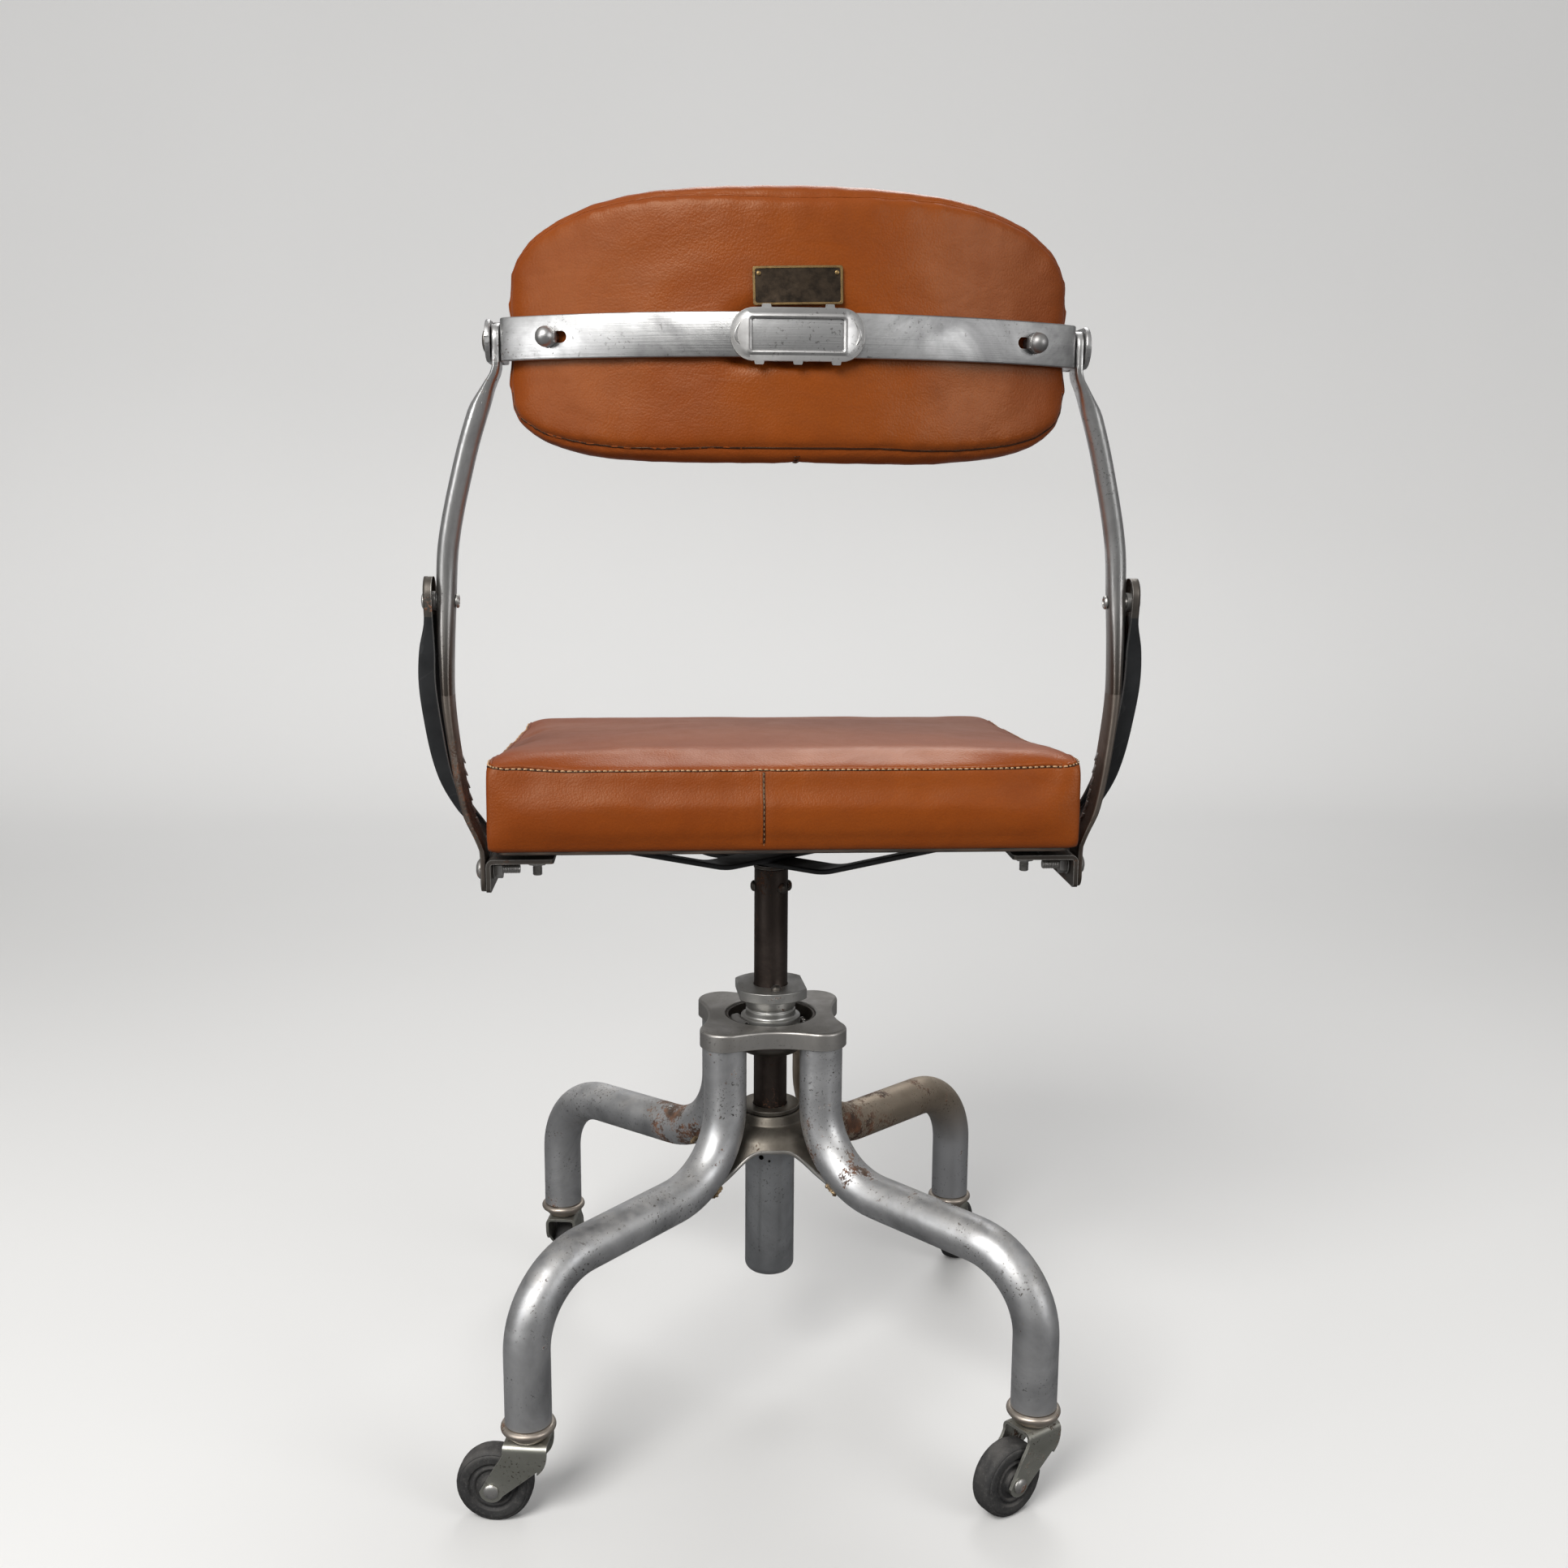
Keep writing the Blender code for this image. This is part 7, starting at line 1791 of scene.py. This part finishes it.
def surface_of(piece):
    """Search tree of a piece's surface."""
    made = bmesh.new()
    made.from_mesh(piece.data)
    tree = BVHTree.FromBMesh(made)
    made.free()
    return tree


def fading(gap, width):
    """1 at no gap, falling to nearly nothing at twice the width."""
    return 2.718 ** (-(gap / width) ** 2)


def even_points(line, pitch, closed=True):
    """Points at an even pitch along a line."""
    line = [Vector(p) for p in line]
    if closed:
        line = line + [line[0]]
    lengths = [0.0]
    for a, b in zip(line, line[1:]):
        lengths.append(lengths[-1] + (b - a).length)
    count = max(2, int(round(lengths[-1] / pitch)))
    found = []
    i = 0
    for k in range(count + (0 if closed else 1)):
        want = lengths[-1] * k / count
        while i < len(lengths) - 2 and lengths[i + 1] < want:
            i += 1
        share = (want - lengths[i]) / max(lengths[i + 1] - lengths[i], 1e-9)
        found.append(line[i].lerp(line[i + 1], min(share, 1.0)))
    return found


def draw_in(piece, seams, soften=None):
    """Sink the leather along its seams, with small puckers beside them, and crease it softly."""
    spots = []
    for line, depth, width, closed in seams:
        for k, point in enumerate(even_points(line, 0.0015, closed)):
            spots.append((point, depth, width, k * 0.0015))
    tree = KDTree(len(spots))
    for k, spot in enumerate(spots):
        tree.insert(spot[0], k)
    tree.balance()
    mesh = piece.data
    normals = [v.normal.copy() for v in mesh.vertices]
    for vert, normal in zip(mesh.vertices, normals):
        here = vert.co
        k, away = tree.find(here)[1:]
        depth, width, place = spots[k][1:]
        sink = depth * fading(away, width)
        wave = noise.noise(Vector((place * 55.0, 0.0, 3.1))) + 0.6 * sin(place * 2 * pi / PUCKER_PITCH)
        sink += PUCKER_DEPTH * wave * fading(away - width, PUCKER_REACH)
        soft = 0.0007 * noise.noise(here * 14.0 + Vector((4.0, 0, 0))) + 0.00025 * noise.noise(here * 42.0)
        give = soften(here) if soften else 1.0
        vert.co = here - normal * (sink + soft * give)


def seam_roll(name, piece, line, radius, body, closed=True, lift=0.0, shift=0.0, material=None):
    """Rolled edge of a sewn seam, laid on the leather, or moved to one side of its line. Given the seam shade leather
    it is a near-black line of painted shade instead.
    """
    tree = surface_of(piece)
    path, ups = [], []
    for point in even_points(line, 0.003, closed):
        spot, normal = tree.find_nearest(point)[:2]
        path.append(spot + normal * lift)
        ups.append(normal)
    rings = []
    count = len(path)
    for k in range(count + (1 if closed else 0)):
        i = k % count
        here = path[i]
        before = path[i - 1] if closed or i else path[0]
        after = path[(i + 1) % count] if closed or i < count - 1 else path[-1]
        ahead = (after - before).normalized()
        side = ahead.cross(ups[i]).normalized()
        here = here + side * shift
        wander = 1.0 + 0.18 * noise.noise(here * 160.0)
        rings.append(oval(here, side, ups[i], radius * wander, radius * 0.62, 10))
    finish_piece(name, lofted(rings, capped=not closed), material or LEATHER, body)


def stitch_row(name, piece, line, pitch, body, closed=True, size=1.0):
    """Row of short waxed stitches sunk at their ends."""
    tree = surface_of(piece)
    points = [tree.find_nearest(p)[:2] for p in even_points(line, pitch, closed)]
    made = bmesh.new()
    for (a, up), (b, _) in zip(points, points[1:] + (points[:1] if closed else [])):
        side = (b - a).normalized().cross(up).normalized()
        rings = []
        for share, full, rise in ((0.10, 0.35, 0.0001), (0.22, 1.0, 0.0005), (0.50, 1.1, 0.0008),
                                  (0.78, 1.0, 0.0005), (0.90, 0.35, 0.0001)):
            here = a.lerp(b, share) + up * rise
            rings.append(oval(here, side, up, 0.00046 * full * size, 0.00038 * full * size, 6))
        made = joined(made, lofted(rings))
    finish_piece(name, made, THREAD, body, sharp=80)


def held_back(value, limit, soft):
    """Ease a length back so that it stays inside a limit."""
    over = abs(value) - (limit - soft)
    if over <= 0:
        return value
    return (limit - soft + soft * over / (over + soft)) * (1 if value > 0 else -1)


def frame_mesh(node):
    """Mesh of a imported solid."""
    return bpy.data.objects[node].data


def seat_top(x, y):
    """Height of the seat's top: crowned, fuller to its corners and sides, falling to the front."""
    depth = max((y - SEAT_REAR_Y) / (SEAT_FRONT_Y - SEAT_REAR_Y), 0.0)
    across = min(abs(x) / SEAT_HALF_WIDTH, 1.0)
    crown = 0.0
    if depth < 0.8:
        crown = SEAT_CROWN * (1 - across ** 6) * sin(pi * min(depth * 1.25, 1.0)) ** 0.8
    full = (SEAT_FULLNESS + SEAT_CORNER_FULLNESS * across ** 2 * (1 - 0.5 * depth)
            + SEAT_SIDE_FULLNESS * across ** 4 * sin(pi * min(depth * 1.05, 1.0)))
    return SEAT_REAR_TOP_Z + full + crown - SEAT_FRONT_DROP * (0.42 * depth + 0.46 * depth ** 3)


def make_seat():
    """Leather case drawn down round the board, with a sewn line under its edge and a join at the rear."""
    low = BOARD_BOTTOM_Z + BOARD_THICK + SEAM_GAP
    skirt = BOARD_BOTTOM_Z + 0.0012
    levels = [(0.0090, None, skirt + 0.001), (0.0058, None, skirt), (0.0036, None, skirt + 0.002),
              (0.0030, None, skirt + 0.008), (0.0030, None, low + 0.012), (0.0030, -0.016, None),
              (0.0032, -0.0075, None), (0.0055, -0.0045, None), (0.0120, -0.0030, None), (0.030, -0.0025, None),
              (0.045, -0.0025, None)]
    rings = []
    for inset, below, flat in levels:
        rings.append([(x, y, flat if flat is not None else seat_top(x, y) + below)
                      for x, y in seat_outline(inset, 14)])
    middle = (SEAT_REAR_Y + SEAT_FRONT_Y) / 2
    for share in (0.8, 0.6, 0.4, 0.2, 0.05):
        spots = [(x * share, middle + (y - middle) * share) for x, y in seat_outline(0.045, 14)]
        rings.append([(x, y, seat_top(x, y) - 0.0025) for x, y in spots])
    piece = finish_piece("seat_case", lofted(rings), LEATHER, "seat", ["seat_cushion"], sharp=180)

    def tacked(p):
        return 1.0 if p.z < skirt + 0.004 else (0.3 if p.z < skirt + 0.012 else 0.0)

    puffed(piece, tacked, 2.6, 0.0042, 0.0050)
    evened(piece, 3)
    refined(piece, 1)
    top = box_of(frame_mesh("seat_cushion"))[1][2] + 0.0068
    low_corner, high_corner = box_of(piece.data)
    fit_box(piece, (-high_corner[0], low_corner[1], skirt), (high_corner[0], high_corner[1], top))
    for vert in piece.data.vertices:
        vert.co.x = held_back(vert.co.x * 1.045, SEAT_HALF_WIDTH, 0.003)
        vert.co.y = max(held_back(vert.co.y, SEAT_FRONT_Y, 0.003),
                        -held_back(-vert.co.y, -SEAT_REAR_Y + 0.001, 0.002))
    edge = [(x, y, seat_top(x, y) - 0.0022) for x, y in seat_outline(0.0008, 14)]
    sewn = [(x, y, seat_top(x, y) - 0.0062) for x, y in seat_outline(-0.0002, 14)]
    join = [(SEAT_JOIN_X, SEAT_REAR_Y, z / 1000) for z in range(464, 518, 2)]
    draw_in(piece, [(sewn, 0.0010, 0.0024, True), (join, 0.0010, 0.0024, False)],
            lambda p: 1.0 if p.z > skirt + 0.008 else 0.3)
    seam_roll("seat_edge_fold", piece, edge, 0.0009, "seat", lift=0.0002)
    # Painted shade: a near-black roll laid in the sunk groove under the seat's edge.
    seam_roll("seat_seam_shade_line", piece, sewn, 0.0008, "seat", material=SEAM_SHADE_LEATHER)
    stitch_row("seat_stitches", piece, sewn, SEAT_STITCH, "seat", size=1.2)
    # Painted shade: a near-black roll laid along the rear join.
    seam_roll("seat_join_shade_line", piece, join, 0.0009, "seat", closed=False, material=SEAM_SHADE_LEATHER)
    seam_roll("seat_rear_fold", piece, join, 0.0010, "seat", closed=False, shift=-0.0016)
    stitch_row("seat_join_stitches", piece, join, SEAT_STITCH, "seat", closed=False, size=0.3)


def pad_edge(angle):
    """Point on the pad's outline, from the middle of its widest line."""
    c, s = cos(angle), sin(angle)
    power = PAD_TOP_POWER if s > 0 else PAD_BOTTOM_POWER
    tall = (PAD_TOP_Z - PAD_WIDE_Z) if s > 0 else (PAD_WIDE_Z - PAD_BOTTOM_Z)
    size = (abs(c / PAD_HALF_WIDTH) ** power + abs(s / tall) ** power) ** (-1.0 / power)
    return c * size, s * size


def pad_rear():
    """Radius of the pad's rear face, just inside the strap."""
    return strap_circle()[1] - STRAP_THICK / 2 - 0.0012


def pad_spot(angle, share, depth):
    """A point on the pad, by its share of the outline and its depth from the rear face."""
    centre, radius = strap_circle()
    x, z = pad_edge(angle)
    x *= share
    swing = asin(x / (radius - 0.002))
    away = Vector((sin(swing), -cos(swing), 0))
    tuck = max(0.0, abs(x) / PAD_HALF_WIDTH - 0.90) * 0.05
    return Vector((0, centre, PAD_WIDE_Z + z * share)) + away * (pad_rear() + depth - tuck)


def pad_angles(count, shift=0.0):
    """Angles round the pad that lie about evenly along its outline."""
    turns = [2 * pi * (k + shift) / count for k in range(count)]
    return [atan2(PAD_HALF_HEIGHT * sin(turn), PAD_HALF_WIDTH * cos(turn)) for turn in turns]


def rear_share(angle):
    """How far the rear panel reaches before its sunk seam, as a share of the outline."""
    x, z = pad_edge(angle)
    extent = hypot(x, z)
    rise = z / extent
    if z > 0:
        return 1.0 - (PAD_SEAM_SIDE + PAD_SEAM_HIGH * rise ** 2) / extent
    low = min(PAD_SEAM_LOW / max(-rise, 0.1), 0.0112)
    share = min(max((-rise - 0.20) / 0.30, 0.0), 1.0)
    return 1.0 - (PAD_SEAM_SIDE + (low - PAD_SEAM_SIDE) * share * share * (3 - 2 * share)) / extent


def make_pad():
    """Boxed leather pad with a sunk seam round its rear panel and a join below."""
    centre, rear = strap_circle()[0], pad_rear()
    spread = pad_angles(160, 0.5)
    panel = [(0.02, 0.0), (0.25, 0.0), (0.50, 0.0), (0.75, 0.0), (0.92, -0.0002), (0.97, -0.0007), (1.0, -0.0022)]
    boxing = [(0.966, -0.0046), (0.980, -0.0078), (0.986, -0.012), (0.986, -0.024), (0.972, -0.029),
              (0.940, -0.0325), (0.85, -0.0345), (0.60, -0.035), (0.40, -0.035), (0.22, -0.035), (0.02, -0.035)]
    rings = [[pad_spot(angle, share * rear_share(angle), depth) for angle in spread] for share, depth in panel]
    rings += [[pad_spot(angle, share, depth) for angle in spread] for share, depth in boxing]
    piece = finish_piece("back_case", lofted(rings), LEATHER, "back", ["back_pad"], sharp=180)

    def firm(p):
        out = hypot(p.x, p.y - centre) - rear
        x, z = p.x / PAD_HALF_WIDTH, (p.z - PAD_WIDE_Z) / (0.084 if p.z > PAD_WIDE_Z else 0.072)
        inside = hypot(abs(x) ** 2, abs(z) ** 2) < 0.80
        return 1.0 if out > -0.0016 and inside else 0.0

    puffed(piece, firm, 2.6, 0.0040, 0.0040)
    evened(piece, 3)
    refined(piece, 1)
    fit_box(piece, *box_of(frame_mesh("back_pad")))
    for vert in piece.data.vertices:
        clear = 1.0 - fading(vert.co.z - EAR_Z, 0.030)
        vert.co.x *= 1.0 + 0.026 * clear * (abs(vert.co.x) / 0.17) ** 2
    fine = pad_angles(300)
    rear_seam = [pad_spot(a, 1.002 * rear_share(a), -0.0030) for a in fine]
    low_seam = [pad_spot(a, 1.002 * rear_share(a), -0.0030) for a in (radians(-171 + k * 1.35) for k in range(121))]
    front_seam = [pad_spot(a, 0.985, -0.0300) for a in fine]
    join = [pad_spot(-pi / 2, share, depth)
            for share, depth in ((0.93, -0.0045), (0.965, -0.007), (0.99, -0.012), (0.99, -0.020), (0.985, -0.029))]
    draw_in(piece, [(rear_seam, 0.0014, 0.0022, True), (front_seam, 0.0010, 0.0024, True),
                    (join, 0.0008, 0.0020, False)])
    seam_roll("back_rear_seam", piece, rear_seam, 0.0006, "back")
    # Painted shade: a near-black line over the low part of the rear seam, where the boxing below turns away.
    seam_roll("back_low_shade_line", piece, low_seam, 0.00065, "back", closed=False, material=SEAM_SHADE_LEATHER)
    seam_roll("back_front_fold", piece, front_seam, 0.0010, "back", lift=0.0001)
    # Painted shade: a near-black roll over the join under the pad.
    seam_roll("back_join_shade_line", piece, join, 0.0013, "back", closed=False, lift=0.0003, material=SEAM_SHADE_LEATHER)
    whole = bmesh.new()
    tree = surface_of(piece)
    for share, depth in ((0.935, -0.0052), (0.95, -0.0060), (0.992, -0.0125), (0.992, -0.0140)):
        ends = [tree.find_nearest(pad_spot(-pi / 2 + turn, share, depth)) for turn in (-0.032, 0.032)]
        rings = []
        for k in range(7):
            here = ends[0][0].lerp(ends[1][0], k / 6) + ends[0][1] * (0.0007 * sin(pi * k / 6) - 0.0001)
            rings.append([here + Vector((0, 0.00028 * cos(pi * n / 3), 0.00028 * sin(pi * n / 3))) for n in range(6)])
        whole = joined(whole, lofted(rings))
    # The join stitches are coloured with the near-black painted seam shade.
    finish_piece("back_join_stitches", whole, SEAM_SHADE_LEATHER, "back", sharp=80)


# Assembly

make_legs()
make_cap()
make_bearing()
make_clip()
make_clamp()
make_spindle()
make_web()
make_barrel()
make_braze()
for corner_name in CORNERS:
    make_ferrule(corner_name)
    make_fork(corner_name)
    make_wheel(corner_name)
    make_axle(corner_name)
make_irons()
make_board()
for side_label in SIDES:
    make_bracket(side_label)
    make_bolts(side_label)
    make_upright(side_label)
    make_arm(side_label)
    make_elbow(side_label)
    make_dome(side_label)
    make_ear_pin(side_label)
make_strap()
make_holder()
make_plate()
make_seat()
make_pad()

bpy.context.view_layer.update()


# Stage, light and camera

SKY_LOW = (0.17, 0.169, 0.168, 1.0)
SKY_HIGH = (1.0, 0.995, 0.985, 1.0)
CAMERA_PLACE = (-0.0706, -1.1701, 0.6855)
CAMERA_PITCH, CAMERA_YAW, CAMERA_ROLL = radians(10.104), radians(3.900), radians(0.379)
CAMERA_LENS = 36.725


def plain_finish(name, seen, lit, rough):
    """Even pale surface; the piece is lit by a quieter tone than the camera sees."""
    made, tree, shader, coords = new_finish(name)
    cloud = mottle(tree, coords, 1.2, 3.0, 0.5)
    shown = blend_colour(tree, span_of(tree, cloud, 0.3, 0.7), tuple(c * 0.985 for c in seen), seen)
    path = place_node(tree, "ShaderNodeLightPath")
    back = along_axis(tree, coords, "Y")
    behind = blend_colour(tree, span_of(tree, back, 1.4, 2.8), lit, tuple(c * 5.5 for c in lit))
    feed(tree, shader.inputs["Base Color"], blend_colour(tree, path.outputs["Is Camera Ray"], behind, shown))
    far = span_of(tree, back, 1.0, 3.4, 0.0, 0.36)
    feed(tree, shader.inputs["Emission Color"], shown)
    feed(tree, shader.inputs["Emission Strength"], times(tree, far, path.outputs["Is Camera Ray"]))
    shader.inputs["Roughness"].default_value = rough
    return made


def make_stage():
    """Floor that curves up into a backdrop."""
    profile = [(-6.0, 0.0), (2.2, 0.0)]
    profile += [(2.2 + 1.4 * sin(pi / 2 * k / 16), 1.4 - 1.4 * cos(pi / 2 * k / 16)) for k in range(1, 17)]
    profile += [(3.6, 6.0)]
    made = bmesh.new()
    verts = [made.verts.new((-8.0, y, z)) for y, z in profile]
    edges = [made.edges.new(pair) for pair in zip(verts, verts[1:])]
    grown = bmesh.ops.extrude_edge_only(made, edges=edges)["geom"]
    bmesh.ops.translate(made, verts=[g for g in grown if isinstance(g, bmesh.types.BMVert)], vec=(16.0, 0, 0))
    bmesh.ops.recalc_face_normals(made, faces=made.faces)
    mesh = bpy.data.meshes.new("sweep")
    made.to_mesh(mesh)
    made.free()
    if mesh.polygons[0].normal.z < 0:
        mesh.flip_normals()
    mesh.shade_smooth()
    mesh.materials.append(plain_finish("pale sweep", (0.82, 0.816, 0.808), (0.13, 0.13, 0.132), 0.85))
    sweep_piece = bpy.data.objects.new("sweep", mesh)
    bpy.context.scene.collection.objects.link(sweep_piece)


def make_lamp(name, place, target, size, energy, colour=(1.0, 1.0, 1.0)):
    """Round soft lamp."""
    lamp = bpy.data.lights.new(name, "AREA")
    lamp.shape = "DISK"
    lamp.size = size
    lamp.energy = energy
    lamp.color = colour
    held = bpy.data.objects.new(name, lamp)
    held.location = place
    held.rotation_euler = (Vector(target) - Vector(place)).to_track_quat("-Z", "Y").to_euler()
    bpy.context.scene.collection.objects.link(held)


def make_sky():
    """Soft room light: grey below, white above."""
    sky = bpy.data.worlds.new("studio")
    bpy.context.scene.world = sky
    sky.use_nodes = True
    tree = sky.node_tree
    tree.nodes.clear()
    out = place_node(tree, "ShaderNodeOutputWorld")
    glow = place_node(tree, "ShaderNodeBackground")
    height = along_axis(tree, place_node(tree, "ShaderNodeTexCoord").outputs["Generated"], "Z")
    shade = place_node(tree, "ShaderNodeValToRGB")
    for element, place, colour in zip(shade.color_ramp.elements, (0.46, 0.92), (SKY_LOW, SKY_HIGH)):
        element.position = place
        element.color = colour
    feed(tree, shade.inputs[0], plus(tree, times(tree, height, 0.5), 0.5))
    feed(tree, glow.inputs["Color"], shade.outputs[0])
    feed(tree, glow.inputs["Strength"], 0.38)
    feed(tree, out.inputs[0], glow.outputs[0])


def make_camera():
    """Camera behind the chair, looking down by the pitch and right by the yaw."""
    pitch, yaw, roll = CAMERA_PITCH, CAMERA_YAW, CAMERA_ROLL
    ahead = Vector((sin(yaw) * cos(pitch), cos(yaw) * cos(pitch), -sin(pitch)))
    level = Vector((cos(yaw), -sin(yaw), 0))
    lift = level.cross(ahead)
    right = level * cos(roll) + lift * sin(roll)
    up = lift * cos(roll) - level * sin(roll)
    lens = bpy.data.cameras.new("view")
    lens.sensor_fit = "HORIZONTAL"
    lens.sensor_width = 36.0
    lens.lens = CAMERA_LENS
    lens.clip_start = 0.05
    lens.clip_end = 40.0
    held = bpy.data.objects.new("view", lens)
    basis = Matrix((right, up, -ahead)).transposed().to_4x4()
    held.matrix_world = Matrix.Translation(CAMERA_PLACE) @ basis
    bpy.context.scene.collection.objects.link(held)
    bpy.context.scene.camera = held


make_stage()
make_sky()
make_lamp("key", (-1.2, -2.1, 2.3), (0, 0, 0.45), 1.6, 73.0, (1.0, 0.99, 0.97))
make_lamp("side", (-2.0, -1.4, 0.9), (0, 0, 0.40), 1.0, 8.5)
make_lamp("fill", (1.9, -1.7, 1.2), (0, 0, 0.40), 1.4, 15.0)
make_lamp("top", (0.3, 1.5, 2.4), (0, 0, 0.5), 1.4, 22.0)
make_camera()
bpy.context.scene.view_settings.view_transform = "Standard"
